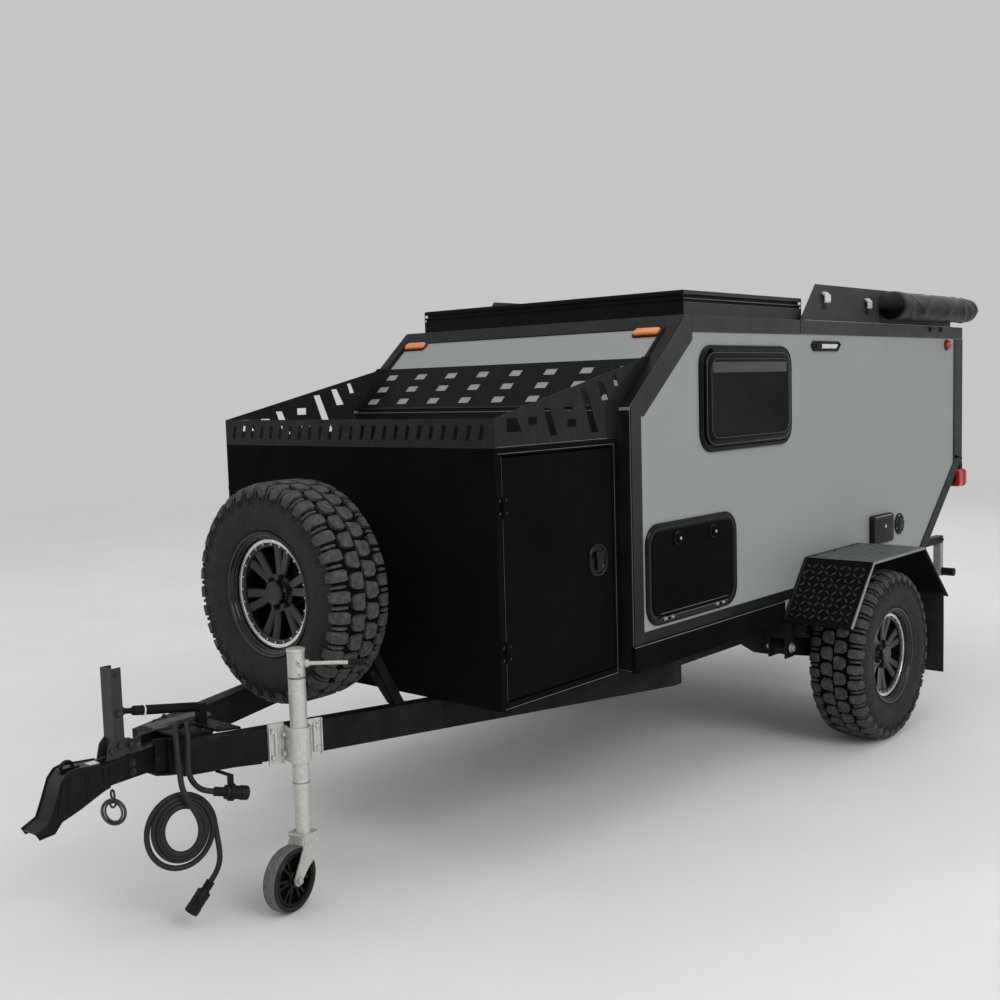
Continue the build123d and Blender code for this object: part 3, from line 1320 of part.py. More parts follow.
def end_plane(points, distance):
    """Square to a lead's last run, a distance past its end."""
    last = Vector(*points[-1])
    direction = (last - Vector(*points[-2])).normalized()
    return Plane(origin=last + direction * distance, z_dir=direction)


def plug_on(points, name):
    """A round plug with a slimmer neck, that carries on from a lead's last run."""
    neck = PLUG_NECK * PLUG_LENGTH
    with BuildPart() as plug:
        with BuildSketch(end_plane(points, 0)):
            Circle(GLAND_R)
        extrude(amount=neck)
        with BuildSketch(end_plane(points, neck)):
            Circle(PLUG_R)
        extrude(amount=PLUG_LENGTH - neck)
    store(plug.part, name)


plug_on(TAIL_ROUTE, "lead_plug")
plug_on(PARKED_ROUTE, "parked_plug")

with BuildPart() as glands:
    for route in (DROP_ROUTE, PARKED_ROUTE):
        start = Vector(*route[0])
        direction = (Vector(*route[1]) - start).normalized()
        with BuildSketch(Plane(origin=start, z_dir=direction)):
            Circle(GLAND_R)
        extrude(amount=-GLAND_LENGTH)
        post = start - direction * (GLAND_LENGTH / 2)
        with Locations((post.X, post.Y, (TONGUE_TOP + post.Z) / 2)):
            Box(GLAND_R, GLAND_R, post.Z - TONGUE_TOP)
store(glands.part, "lead_glands")

# Clip that parks the second plug: a ring round it, hung from the tongue's lower plate
CLIP_PLANE = end_plane(PARKED_ROUTE, PLUG_NECK * PLUG_LENGTH + CLIP_LENGTH)
CLIP_OUTER_R = PLUG_R + CLIP_WALL
CLIP_TOP = BEAM_LOW - TONGUE_SHEET
CLIP_AT = CLIP_PLANE.origin
CLIP_MID = CLIP_AT + CLIP_PLANE.z_dir * (CLIP_LENGTH / 2)
CLIP_REACH = CLIP_MID.X + CLIP_LENGTH / 2 - beam_x(CLIP_MID.Y - BOX_FRONT) + 2 * CLIP_LENGTH
with BuildPart() as clip:
    with BuildSketch(CLIP_PLANE):
        Circle(CLIP_OUTER_R)
    extrude(amount=CLIP_LENGTH)
    with Locations((CLIP_MID.X, CLIP_MID.Y, (CLIP_MID.Z + CLIP_TOP) / 2)):
        Box(CLIP_LENGTH, CLIP_LENGTH, CLIP_TOP - CLIP_MID.Z)
    with Locations((CLIP_MID.X + CLIP_LENGTH / 2 - CLIP_REACH / 2, CLIP_MID.Y, CLIP_TOP - CLIP_WALL / 2)):
        Box(CLIP_REACH, CLIP_LENGTH, CLIP_WALL)
    with BuildSketch(CLIP_PLANE.offset(-CLIP_LENGTH)):
        Circle(PLUG_R + CLIP_PLAY)
    extrude(amount=3 * CLIP_LENGTH, mode=Mode.SUBTRACT)
store(clip.part, "plug_clip")
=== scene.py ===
"""Teardrop off-road trailer: the finished look built around its CAD model.

Everything is in metres and in the CAD's frame: +Z up, +Y towards the tail, +X towards the
trailer's left side.
"""

from math import atan2, cos, hypot, pi, radians, sin, sqrt, tau

import bmesh
import bpy
from bpy.props import FloatProperty, FloatVectorProperty, PointerProperty
from mathutils import Matrix, Vector, noise


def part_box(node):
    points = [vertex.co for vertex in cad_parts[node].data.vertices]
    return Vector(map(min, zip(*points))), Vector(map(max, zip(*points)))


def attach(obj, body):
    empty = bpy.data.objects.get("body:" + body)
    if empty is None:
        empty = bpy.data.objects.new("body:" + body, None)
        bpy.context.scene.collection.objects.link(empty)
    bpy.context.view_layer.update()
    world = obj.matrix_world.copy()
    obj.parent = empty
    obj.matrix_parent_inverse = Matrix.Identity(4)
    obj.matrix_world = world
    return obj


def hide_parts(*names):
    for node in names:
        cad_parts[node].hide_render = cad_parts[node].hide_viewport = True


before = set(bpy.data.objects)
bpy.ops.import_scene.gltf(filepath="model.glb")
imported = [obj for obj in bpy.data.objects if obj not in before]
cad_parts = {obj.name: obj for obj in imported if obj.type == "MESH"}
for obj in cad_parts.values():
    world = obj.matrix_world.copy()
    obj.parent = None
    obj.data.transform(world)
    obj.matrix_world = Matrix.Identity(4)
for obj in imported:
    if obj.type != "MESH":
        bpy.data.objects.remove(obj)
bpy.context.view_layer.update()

bl_info = {
    "name": "Teardrop trailer",
    "version": (1, 0, 0),
    "blender": (4, 5, 0),
    "location": "3D View > Sidebar > Trailer",
    "description": "Builds the visible pieces of a teardrop off-road trailer",
    "category": "Object",
}

# Stations that the CAD model uses, in metres
BOX_FRONT = -1.2775
BOX_REAR = -0.6485
CABIN_FRONT = -0.6205
TAIL = 2.4325
AXLE_Y = 0.8945
CABIN_HALF = 0.724
BOX_HALF = 0.681
ROOF_Z = 1.807
BREAK_Z = 1.481
FLOOR_Z = 0.554
SIDES = {"left": 1, "right": -1}
ACROSS, ALONG, UP = Vector((1, 0, 0)), Vector((0, 1, 0)), Vector((0, 0, 1))

# Stage: backdrop, sky, reach of the floor, distances over which it fades into the backdrop, and area lamps
# with place, aim, size and share of the key light
BACKDROP = (0.56, 0.56, 0.55, 1)
SKY_TINT = (0.93, 0.95, 1.0, 1)
SKY_STRENGTH = 0.72
FLOOR_REACH = 60
FLOOR_FADE = (4.0, 17.0)
LAMPS = [
    ("key", (8.6, -2.2, 6.0), (0, -0.2, 0.9), 5.0, 0.9),
    ("fill", (-7.0, -6.0, 5.0), (0, -0.4, 0.9), 6.0, 0.18),
    ("overhead", (0.5, 0.5, 8.0), (0, 0, 1), 7.0, 0.3),
    ("behind", (-4.0, 8.5, 5.0), (0, 0.8, 1), 6.0, 0.2),
]

# Photograph's viewpoint, solved from it beforehand: place, then yaw, pitch and roll in degrees, lens in mm
VIEW_PLACE = (3.14, -4.0515, 1.562)
VIEW_TURN = (41.374, -5.31, -1.655)
VIEW_LENS = 43.567
SENSOR_WIDE = 36


# Shapes

class Form:
    """Points and faces of one piece, gathered shape by shape. mark is the finish in use."""

    def __init__(self):
        self.points = []
        self.faces = []
        self.marks = []
        self.mark = 0
        self.place = Matrix.Identity(4)

    def add(self, points, faces):
        start = len(self.points)
        self.points += [self.place @ Vector(p) for p in points]
        self.faces += [tuple(start + i for i in face) for face in faces]
        self.marks += [self.mark] * len(faces)

    def box(self, low, high):
        """A block between two corners."""
        x, y, z = zip(low, high)
        points = [(x[i], y[j], z[k]) for i in (0, 1) for j in (0, 1) for k in (0, 1)]
        self.add(
            points, [(0, 1, 3, 2), (4, 6, 7, 5), (0, 4, 5, 1), (2, 3, 7, 6), (0, 2, 6, 4), (1, 5, 7, 3)],
        )

    def slab(self, outline, axis, low, high):
        """A flat outline in the two other axes, made solid from low to high along axis."""
        count = len(outline)
        order = {"x": (2, 0, 1), "y": (0, 2, 1), "z": (0, 1, 2)}[axis]
        points = [[(u, v, w)[k] for k in order] for w in (low, high) for u, v in outline]
        sides = [(i, (i + 1) % count, count + (i + 1) % count, count + i) for i in range(count)]
        self.add(points, sides + [tuple(range(count))[::-1], tuple(range(count, 2 * count))])

    def loft(self, rings, caps=True, round_trip=False):
        """Skin over rings that have the same number of points."""
        count = len(rings[0])
        points = [p for ring in rings for p in ring]
        faces = []
        last = len(rings) if round_trip else len(rings) - 1
        for i in range(last):
            near, far = i * count, (i + 1) % len(rings) * count
            for j in range(count):
                k = (j + 1) % count
                faces.append((near + j, near + k, far + k, far + j))
        if caps and not round_trip:
            faces += [tuple(range(count))[::-1], tuple(range(len(points) - count, len(points)))]
        self.add(points, faces)

    def tube(self, path, radius, closed=False, sides=12):
        """A round bar along a path."""
        rings = sweep_rings(path, circle(radius, sides), closed)
        self.loft(rings, caps=not closed, round_trip=closed)

    def lathe(self, profile, at=(0, 0, 0), axis=UP, sides=48, ring=False, turn=0.0):
        """A profile of (radius, along) points turned about an axis. ring joins its ends."""
        grid = axis_matrix(at, axis)
        kept = self.place
        self.place = kept @ grid
        rings = []
        for radius, along in profile:
            rings.append([
                (
                    max(radius, 1e-5) * cos(turn + tau * i / sides),
                    max(radius, 1e-5) * sin(turn + tau * i / sides), along,
                )
                for i in range(sides)
            ])
        self.loft(rings, caps=not ring, round_trip=ring)
        self.place = kept

    def bolt(self, at, axis, size, tall=None, washer=True):
        """Hexagon head of that width across, on its washer."""
        tall = tall or size * 0.5
        foot = 0.0
        if washer:
            foot = size * 0.12
            self.lathe([(size * 0.86, 0), (size * 0.86, foot)], at, axis, 20)
        radius = size * 0.57
        profile = [(radius, foot), (radius, foot + tall * 0.8), (radius * 0.84, foot + tall)]
        self.lathe(profile, at, axis, 6, turn=0.3)

    def screw(self, at, axis, size):
        """Domed round head with a socket."""
        radius = size / 2
        profile = [
            (radius, 0), (radius, size * 0.12), (radius * 0.8, size * 0.3), (radius * 0.42, size * 0.38),
            (radius * 0.38, size * 0.2), (0, size * 0.18),
        ]
        self.lathe(profile, at, axis, 14)


def mm(*sizes, each=2):
    """Points given in millimetres, with so many numbers each."""
    return [tuple(size / 1000 for size in sizes[i:i + each]) for i in range(0, len(sizes), each)]


def span(sign, near, far):
    """Two distances out from the middle as low and high across the trailer, on the side of that sign."""
    return sorted((sign * near, sign * far))


def circle(radius, sides):
    return [(radius * cos(tau * i / sides), radius * sin(tau * i / sides)) for i in range(sides)]


def rounded(half_x, half_y, corner, steps):
    """Outline of a rectangle with round corners, about its middle."""
    points = []
    for quarter, (sx, sy) in enumerate([(1, 1), (-1, 1), (-1, -1), (1, -1)]):
        for step in range(steps + 1):
            angle = (quarter + step / steps) * pi / 2
            points.append((
                sx * (half_x - corner) + corner * cos(angle), sy * (half_y - corner) + corner * sin(angle),
            ))
    return points


def axis_matrix(at, axis):
    """Matrix that takes local +Z to axis and the origin to at."""
    turn = Vector(axis).normalized().to_track_quat("Z", "Y").to_matrix().to_4x4()
    return Matrix.Translation(Vector(at)) @ turn


def sweep_rings(path, profile, closed):
    """A profile of (across, up) points carried along a path."""
    path = [Vector(p) for p in path]
    count = len(path)
    rings = []
    side = None
    for i, point in enumerate(path):
        ahead = path[(i + 1) % count] if closed or i < count - 1 else point
        behind = path[i - 1] if closed or i > 0 else point
        run = (ahead - behind).normalized()
        if side is None:
            side = run.cross(UP)
            if side.length < 0.05:
                side = run.cross(ACROSS)
        side = (side - run * side.dot(run)).normalized()
        rise = side.cross(run)
        rings.append([point + side * u + rise * v for u, v in profile])
    return rings


def arc(centre, radius, start, end, steps):
    """Points of an arc in the upright plane along the trailer, angles in degrees."""
    points = []
    for i in range(steps + 1):
        angle = radians(start + (end - start) * i / steps)
        points.append(Vector(centre) + Vector((0, radius * cos(angle), radius * sin(angle))))
    return points


def show(name, form, body, finishes, replaces=(), bevel=0.0, segments=2, sharp=32):
    """Makes the piece from a form: closed shells, a small bevel and smooth shading."""
    mesh = bpy.data.meshes.new(name)
    mesh.from_pydata([tuple(p) for p in form.points], [], form.faces)
    mesh.polygons.foreach_set("material_index", form.marks)
    work = bmesh.new()
    work.from_mesh(mesh)
    bmesh.ops.remove_doubles(work, verts=work.verts, dist=1e-7)
    bmesh.ops.dissolve_degenerate(work, edges=work.edges, dist=1e-7)
    bmesh.ops.recalc_face_normals(work, faces=work.faces)
    work.to_mesh(mesh)
    work.free()
    for finish in finishes:
        mesh.materials.append(finish_of(finish))
    obj = bpy.data.objects.new(name, mesh)
    bpy.context.scene.collection.objects.link(obj)
    mesh.shade_smooth()
    mesh.set_sharp_from_angle(angle=radians(sharp))
    if bevel:
        soften = obj.modifiers.new("edges", "BEVEL")
        soften.width = bevel
        soften.segments = segments
        soften.limit_method = "ANGLE"
        soften.angle_limit = radians(sharp)
        soften.harden_normals = True
    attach(obj, body)
    if replaces:
        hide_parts(*replaces)
    return obj


# Finishes

FINISHES = {}


def finish_of(name):
    """The material of that finish, made the first time it is asked for."""
    full = name + "_finish"
    if full not in bpy.data.materials:
        material = bpy.data.materials.new(full)
        material.use_nodes = True
        tree = material.node_tree
        shader = tree.nodes["Principled BSDF"]
        if name in COATS:
            coat(tree, shader, *COATS[name])
            # Painted shade: these coats are darkened towards the ground
            if name in PAINTED_SHADE_BELOW:
                painted_shade_below(tree, shader, *PAINTED_SHADE_BELOW[name])
            for field, value in LENSES.get(name, {}).items():
                shader.inputs[field].default_value = value
        else:
            FINISHES[name](tree, shader)
    return bpy.data.materials[full]


def finish(maker):
    FINISHES[maker.__name__] = maker
    return maker


def grain(tree, scale, detail=4.0, rough=0.6, stretch=(1, 1, 1)):
    """Noise in the object's own metres."""
    place = tree.nodes.new("ShaderNodeTexCoord")
    shape = tree.nodes.new("ShaderNodeMapping")
    shape.inputs["Scale"].default_value = stretch
    texture = tree.nodes.new("ShaderNodeTexNoise")
    texture.inputs["Scale"].default_value = scale
    texture.inputs["Detail"].default_value = detail
    texture.inputs["Roughness"].default_value = rough
    tree.links.new(place.outputs["Object"], shape.inputs["Vector"])
    tree.links.new(shape.outputs["Vector"], texture.inputs["Vector"])
    return texture.outputs["Fac"]


def cells(tree, scale):
    """Flat random tones in patches, in the object's own metres."""
    place = tree.nodes.new("ShaderNodeTexCoord")
    texture = tree.nodes.new("ShaderNodeTexVoronoi")
    texture.inputs["Scale"].default_value = scale
    tree.links.new(place.outputs["Object"], texture.inputs["Vector"])
    return texture.outputs["Color"]


def ramp(tree, factor, stops):
    """Colours or greys over a 0 to 1 factor."""
    node = tree.nodes.new("ShaderNodeValToRGB")
    band = node.color_ramp
    while len(band.elements) < len(stops):
        band.elements.new(0.5)
    for element, (position, colour) in zip(band.elements, stops):
        element.position = position
        if not hasattr(colour, "__len__"):
            colour = (colour, colour, colour)
        element.color = (*colour[:3], 1)
    tree.links.new(factor, node.inputs["Fac"])
    return node.outputs["Color"]


def bump(tree, shader, height, strength, distance):
    node = tree.nodes.new("ShaderNodeBump")
    node.inputs["Strength"].default_value = strength
    node.inputs["Distance"].default_value = distance
    tree.links.new(height, node.inputs["Height"])
    tree.links.new(node.outputs["Normal"], shader.inputs["Normal"])


def painted_shade_below(tree, shader, bottom, top, least):
    """Paints shade into the colour towards the ground: times `least` at height `bottom`, untouched from `top`
    up.
    """
    place = tree.nodes.new("ShaderNodeTexCoord")
    split = tree.nodes.new("ShaderNodeSeparateXYZ")
    rise = tree.nodes.new("ShaderNodeMapRange")
    for name, value in (("From Min", bottom), ("From Max", top), ("To Min", least), ("To Max", 1.0)):
        rise.inputs[name].default_value = value
    scale = tree.nodes.new("ShaderNodeVectorMath")
    scale.operation = "SCALE"
    colour = shader.inputs["Base Color"].links[0].from_socket
    tree.links.new(place.outputs["Object"], split.inputs["Vector"])
    tree.links.new(split.outputs["Z"], rise.inputs["Value"])
    tree.links.new(colour, scale.inputs[0])
    tree.links.new(rise.outputs["Result"], scale.inputs["Scale"])
    tree.links.new(scale.outputs["Vector"], shader.inputs["Base Color"])


def coat(tree, shader, dark, light, patch, roughness, fine, strength, distance, metal=0.0, specular=0.5):
    """The usual finish: soft patches of two tones, uneven gloss and a fine bump."""
    tree.links.new(ramp(tree, grain(tree, patch), [(0.3, dark), (0.7, light)]), shader.inputs["Base Color"])
    gloss = grain(tree, patch * 3.1, 5)
    tree.links.new(
        ramp(tree, gloss, [(0.3, roughness[0]), (0.7, roughness[1])]), shader.inputs["Roughness"],
    )
    bump(tree, shader, grain(tree, fine, 3), strength, distance)
    shader.inputs["Metallic"].default_value = metal
    shader.inputs["Specular IOR Level"].default_value = specular


# Plain coats: two tones, scale of their patches, roughness from and to, scale of the fine grain, strength
# and depth of its bump, metallic and specular
COATS = {
    "black_panel": (
        (0.0022, 0.0026, 0.0032), (0.0042, 0.0046, 0.0052), 3, (0.66, 0.8), 900, 0.25, 0.0003, 0, 0.03,
    ),
    "trim_black": (
        (0.006, 0.0065, 0.007), (0.011, 0.0115, 0.0125), 8, (0.34, 0.48), 1200, 0.3, 0.0002, 0, 0.12,
    ),
    # The sill's own charcoal, darkened further as painted shade
    "sill_charcoal_painted_shade": (
        (0.0022, 0.0024, 0.0028), (0.0048, 0.005, 0.0055), 5, (0.6, 0.8), 800, 0.3, 0.0003, 0, 0.02,
    ),
    "frame_black": (
        (0.005, 0.005, 0.0054), (0.011, 0.011, 0.0115), 14, (0.38, 0.6), 500, 0.4, 0.0004, 0, 0.1,
    ),
    "guard_black": (
        (0.006, 0.0062, 0.0066), (0.012, 0.0122, 0.0128), 20, (0.5, 0.66), 1500, 0.45, 0.0003, 0, 0.22,
    ),
    # Darker copy of guard_black, as painted shade on the forward-facing slant plate
    "slant_black_painted_shade": (
        (0.003, 0.0031, 0.0033), (0.006, 0.0061, 0.0064), 20, (0.5, 0.66), 1500, 0.45, 0.0003, 0, 0.08,
    ),
    # Darker copy of trim_black, as painted shade; it covers the whole rack so that its front reads dark
    "rack_black_painted_shade": (
        (0.003, 0.0032, 0.0035), (0.006, 0.0063, 0.007), 8, (0.36, 0.5), 1200, 0.3, 0.0002, 0, 0.06,
    ),
    # Groove floors and recesses, darkened as painted shade
    "recess_painted_shade": (
        (0.002, 0.002, 0.002), (0.005, 0.005, 0.0048), 40, (0.8, 0.95), 420, 0.35, 0.0006, 0, 0.05,
    ),
    "tyre_side": (
        (0.0105, 0.0103, 0.01), (0.02, 0.0195, 0.0185), 22, (0.62, 0.8), 420, 0.35, 0.0006, 0, 0.25,
    ),
    "wheel_black": (
        (0.004, 0.004, 0.0042), (0.008, 0.008, 0.0084), 30, (0.16, 0.28), 900, 0.15, 0.0002, 0, 0.4,
    ),
    "wheel_silver": ((0.6, 0.6, 0.6), (0.82, 0.82, 0.82), 60, (0.18, 0.3), 1500, 0.2, 0.0002, 0.8, 0.5),
    "bolt_zinc": ((0.42, 0.42, 0.41), (0.62, 0.62, 0.6), 180, (0.25, 0.4), 2500, 0.3, 0.0002, 0.9, 0.5),
    "bolt_black": ((0.012, 0.012, 0.012), (0.03, 0.03, 0.03), 180, (0.35, 0.5), 2500, 0.3, 0.0002, 0.3, 0.5),
    "lead_rubber": (
        (0.008, 0.008, 0.0085), (0.017, 0.017, 0.0175), 40, (0.45, 0.62), 900, 0.3, 0.0003, 0, 0.3,
    ),
    "plastic_black": (
        (0.006, 0.006, 0.0063), (0.011, 0.011, 0.0117), 30, (0.38, 0.55), 1600, 0.4, 0.0002, 0, 0.15,
    ),
    "seal_rubber": (
        (0.006, 0.006, 0.006), (0.011, 0.011, 0.011), 30, (0.55, 0.7), 1200, 0.3, 0.0003, 0, 0.2,
    ),
    # trim_grey is also painted darker towards the ground as painted shade
    "trim_grey": ((0.024, 0.026, 0.028), (0.034, 0.036, 0.039), 5, (0.4, 0.55), 1200, 0.3, 0.0002, 0, 0.22),
    # Grey lines; on the sill's top edge and along the toolbox doors' edges they are painted highlights
    "grey_line_and_painted_highlight": ((0.1, 0.1, 0.105), (0.19, 0.19, 0.195), 40, (0.3, 0.45), 1200, 0.3, 0.0002, 0.3, 0.5),
    "line_dark": ((0.055, 0.057, 0.06), (0.11, 0.112, 0.115), 12, (0.2, 0.3), 1200, 0.2, 0.0002, 0.3, 0.5),
    "blind_dark": ((0.028, 0.029, 0.03), (0.04, 0.041, 0.042), 6, (0.4, 0.5), 700, 0.2, 0.0002, 0, 0.5),
    "plastic_gloss": (
        (0.003, 0.0032, 0.0036), (0.006, 0.0063, 0.0068), 60, (0.16, 0.26), 900, 0.2, 0.0002, 0, 0.14,
    ),
    "buckle_bright": ((0.6, 0.6, 0.6), (0.78, 0.78, 0.78), 60, (0.25, 0.38), 1500, 0.2, 0.0002, 0.5, 0.5),
    "fender_edge": ((0.14, 0.15, 0.155), (0.22, 0.23, 0.235), 30, (0.3, 0.42), 900, 0.2, 0.0002, 0.3, 0.5),
    "bright_edge": ((0.3, 0.3, 0.3), (0.42, 0.42, 0.42), 50, (0.22, 0.34), 1600, 0.2, 0.0002, 0.8, 0.5),
    # window_tint is also painted darker towards the bottom as painted shade
    "window_tint": (
        (0.003, 0.0034, 0.0045), (0.006, 0.007, 0.008), 4, (0.04, 0.08), 30, 0.05, 0.001, 0, 0.06,
    ),
    "amber_lens": ((0.62, 0.16, 0.02), (0.8, 0.24, 0.03), 90, (0.14, 0.24), 500, 0.2, 0.0004, 0, 0.5),
    "red_lens": ((0.3, 0.008, 0.01), (0.45, 0.015, 0.018), 90, (0.14, 0.24), 500, 0.2, 0.0004, 0, 0.5),
    # cover_vinyl is also painted darker towards its bottom as painted shade
    "cover_vinyl": (
        (0.03, 0.033, 0.036), (0.066, 0.071, 0.077), 12, (0.3, 0.42), 260, 0.15, 0.0006, 0, 0.12,
    ),
    "tread_plate": (
        (0.003, 0.0034, 0.0045), (0.006, 0.0065, 0.008), 18, (0.4, 0.55), 700, 0.3, 0.0004, 0, 0.04,
    ),
    # The fender's top flat, lighter than the tread plate as a painted sky reflection
    "fender_top_painted_reflection": ((0.05, 0.056, 0.06), (0.085, 0.092, 0.096), 24, (0.4, 0.6), 700, 0.3, 0.0004, 0, 0.5),
    # Lozenges on the fender's slopes, lighter than the plate as painted highlights
    "chequer_painted_highlight": (
        (0.013, 0.015, 0.018), (0.027, 0.03, 0.034), 24, (0.24, 0.36), 700, 0.2, 0.0003, 0, 0.5,
    ),
    "post_grey": ((0.2, 0.21, 0.21), (0.32, 0.33, 0.33), 30, (0.4, 0.55), 700, 0.3, 0.0003, 0.3, 0.5),
    "damper_dark": ((0.02, 0.021, 0.023), (0.034, 0.035, 0.038), 26, (0.3, 0.42), 700, 0.25, 0.0003, 0, 0.5),
    "lens_bright": ((0.6, 0.3, 0.3), (0.75, 0.42, 0.4), 90, (0.2, 0.3), 900, 0.2, 0.0002, 0, 0.5),
    "plate_blank": ((0.5, 0.5, 0.48), (0.6, 0.6, 0.58), 20, (0.35, 0.5), 900, 0.15, 0.0002, 0, 0.5),
    "flap_rubber": ((0.01, 0.01, 0.0095), (0.024, 0.0235, 0.022), 9, (0.6, 0.8), 500, 0.4, 0.0008, 0, 0.25),
    "spring_steel": (
        (0.01, 0.01, 0.011), (0.022, 0.022, 0.023), 30, (0.35, 0.5), 900, 0.3, 0.0003, 0.2, 0.5,
    ),
    "coupler_black": (
        (0.003, 0.003, 0.0033), (0.006, 0.006, 0.0065), 26, (0.22, 0.36), 420, 0.35, 0.0005, 0, 0.16,
    ),
    "lever_dark": ((0.02, 0.021, 0.023), (0.034, 0.035, 0.038), 26, (0.36, 0.5), 700, 0.25, 0.0003, 0, 0.25),
    "tie_white": ((0.62, 0.62, 0.6), (0.74, 0.74, 0.72), 90, (0.4, 0.5), 1500, 0.2, 0.0002, 0, 0.5),
    "chain_dark": (
        (0.035, 0.035, 0.036), (0.085, 0.085, 0.086), 120, (0.28, 0.42), 1500, 0.3, 0.0003, 0.6, 0.5,
    ),
    "jack_tread": ((0.065, 0.065, 0.065), (0.13, 0.13, 0.13), 70, (0.6, 0.75), 900, 0.4, 0.0004, 0, 0.5),
}

# Coats with painted shade that darkens them downwards: height where they are darkest, height where they
# start, share left
PAINTED_SHADE_BELOW = {"trim_grey": (0.75, 1.8, 0.12), "window_tint": (1.3, 1.7, 0.5), "cover_vinyl": (1.87, 1.95, 0.03)}

# Other inputs of the lenses
LENSES = {"amber_lens": {"Coat Weight": 0.5, "Subsurface Weight": 0.1}, "red_lens": {"Coat Weight": 0.5}}


@finish
def cabin_grey(tree, shader):
    tone = bpy.context.scene.trailer_looks.cabin_colour
    dark = [c * 0.96 for c in tone]
    coat(tree, shader, dark, tone, 1.6, (0.34, 0.44), 700, 0.1, 0.0002)
    shader.inputs["Specular IOR Level"].default_value = 0.35


@finish
def tyre_tread(tree, shader):
    dust = grain(tree, 60, 8, 0.7)
    colours = [(0.3, (0.02, 0.0195, 0.018)), (0.5, (0.048, 0.046, 0.042)), (0.72, (0.11, 0.104, 0.094))]
    tree.links.new(ramp(tree, dust, colours), shader.inputs["Base Color"])
    tree.links.new(ramp(tree, dust, [(0.3, 0.7), (0.7, 0.92)]), shader.inputs["Roughness"])
    bump(tree, shader, grain(tree, 500, 5), 0.5, 0.0008)
    shader.inputs["Specular IOR Level"].default_value = 0.3


@finish
def galvanised(tree, shader):
    spangle = cells(tree, 170)
    tree.links.new(
        ramp(tree, spangle, [(0.1, (0.5, 0.5, 0.46)), (0.9, (0.6, 0.6, 0.55))]),
        shader.inputs["Base Color"],
    )
    tree.links.new(ramp(tree, grain(tree, 40, 6), [(0.3, 0.36), (0.7, 0.58)]), shader.inputs["Roughness"])
    bump(tree, shader, grain(tree, 260, 5), 0.25, 0.0005)
    shader.inputs["Metallic"].default_value = 0.55


@finish
def birch_board(tree, shader):
    rings = grain(tree, 9, 6, 0.65, (1, 9, 9))
    colours = [(0.3, (0.5, 0.33, 0.17)), (0.5, (0.62, 0.44, 0.25)), (0.7, (0.7, 0.53, 0.33))]
    tree.links.new(ramp(tree, rings, colours), shader.inputs["Base Color"])
    tree.links.new(ramp(tree, rings, [(0.3, 0.42), (0.7, 0.56)]), shader.inputs["Roughness"])
    bump(tree, shader, grain(tree, 60, 4, 0.6, (1, 12, 12)), 0.2, 0.0004)


@finish
def floor_pale(tree, shader):
    """Matt pale floor that runs out into the backdrop's own colour, so no horizon shows."""
    coat(tree, shader, (0.71, 0.7, 0.68), (0.77, 0.76, 0.74), 0.7, (0.72, 0.85), 160, 0.1, 0.0008)
    place = tree.nodes.new("ShaderNodeTexCoord")
    distance = tree.nodes.new("ShaderNodeVectorMath")
    distance.operation = "LENGTH"
    fade = tree.nodes.new("ShaderNodeMapRange")
    fade.interpolation_type = "SMOOTHSTEP"
    fade.inputs["From Min"].default_value, fade.inputs["From Max"].default_value = FLOOR_FADE
    haze = tree.nodes.new("ShaderNodeEmission")
    haze.inputs["Color"].default_value = BACKDROP
    blend = tree.nodes.new("ShaderNodeMixShader")
    tree.links.new(place.outputs["Object"], distance.inputs[0])
    tree.links.new(distance.outputs["Value"], fade.inputs["Value"])
    tree.links.new(fade.outputs["Result"], blend.inputs["Fac"])
    tree.links.new(shader.outputs["BSDF"], blend.inputs[1])
    tree.links.new(haze.outputs["Emission"], blend.inputs[2])
    tree.links.new(blend.outputs["Shader"], tree.nodes["Material Output"].inputs["Surface"])


# Finishes of the CAD pieces, where they stay in view
CAD_FINISHES = {
    "drawbar_beams chassis_frame tongue_plates coupler rear_bumper plug_clip": "frame_black",
    "handbrake_lever spare_carrier suspension_mounts suspension_arms": "frame_black",
    "safety_chain jack_clamp jack_crank jack_outer_tube jack_inner_tube jack_fork": "galvanised",
    "jack_tyre tyre_left tyre_right spare_tyre": "tyre_side",
    "jack_hub rim_left rim_right spare_rim": "wheel_black",
    "toolbox_body toolbox_door_left toolbox_door_right cabin_floor luggage_hatch": "black_panel",
    "toolbox_guard": "guard_black",
    "slant_plate": "slant_black_painted_shade",
    "cabin_front cabin_roof cabin_tail_panel cabin_wall_left cabin_wall_right entry_door": "cabin_grey",
    "galley_boards": "birch_board",
    "window_left_frame door_window_frame wall_fittings": "plastic_black",
    "window_left_pane door_window_pane": "window_tint",
    "roof_rack": "trim_black",
    "awning_plates galley_lid": "trim_grey",
    "awning_bag": "cover_vinyl",
    "coil_springs": "spring_steel",
    "fenders": "tread_plate",
    "mudflaps": "flap_rubber",
    "amber_markers": "amber_lens",
    "red_markers tail_lamps": "red_lens",
    "lead_drop lead_coil lead_tail parked_lead": "lead_rubber",
    "lead_plug parked_plug lead_glands": "plastic_black",
}


def cad_finishes():
    for nodes, name in CAD_FINISHES.items():
        for node in nodes.split():
            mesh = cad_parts[node].data
            mesh.materials.clear()
            mesh.materials.append(finish_of(name))


# Wheels

TYRE_R = 0.3665
PITCHES = 34

# Half section of the tyre under its lugs, from the middle of the tread to the bead
TYRE_SECTION = mm(
    0, 354.5, 42, 354, 73, 352, 92, 348.5, 102, 342.5, 109, 333, 113, 320, 116.5, 303, 118, 283, 117, 260,
    113, 239, 108.5, 228, 109, 223.5, 107, 219, 102, 210, 95, 205, 93, 196,
)

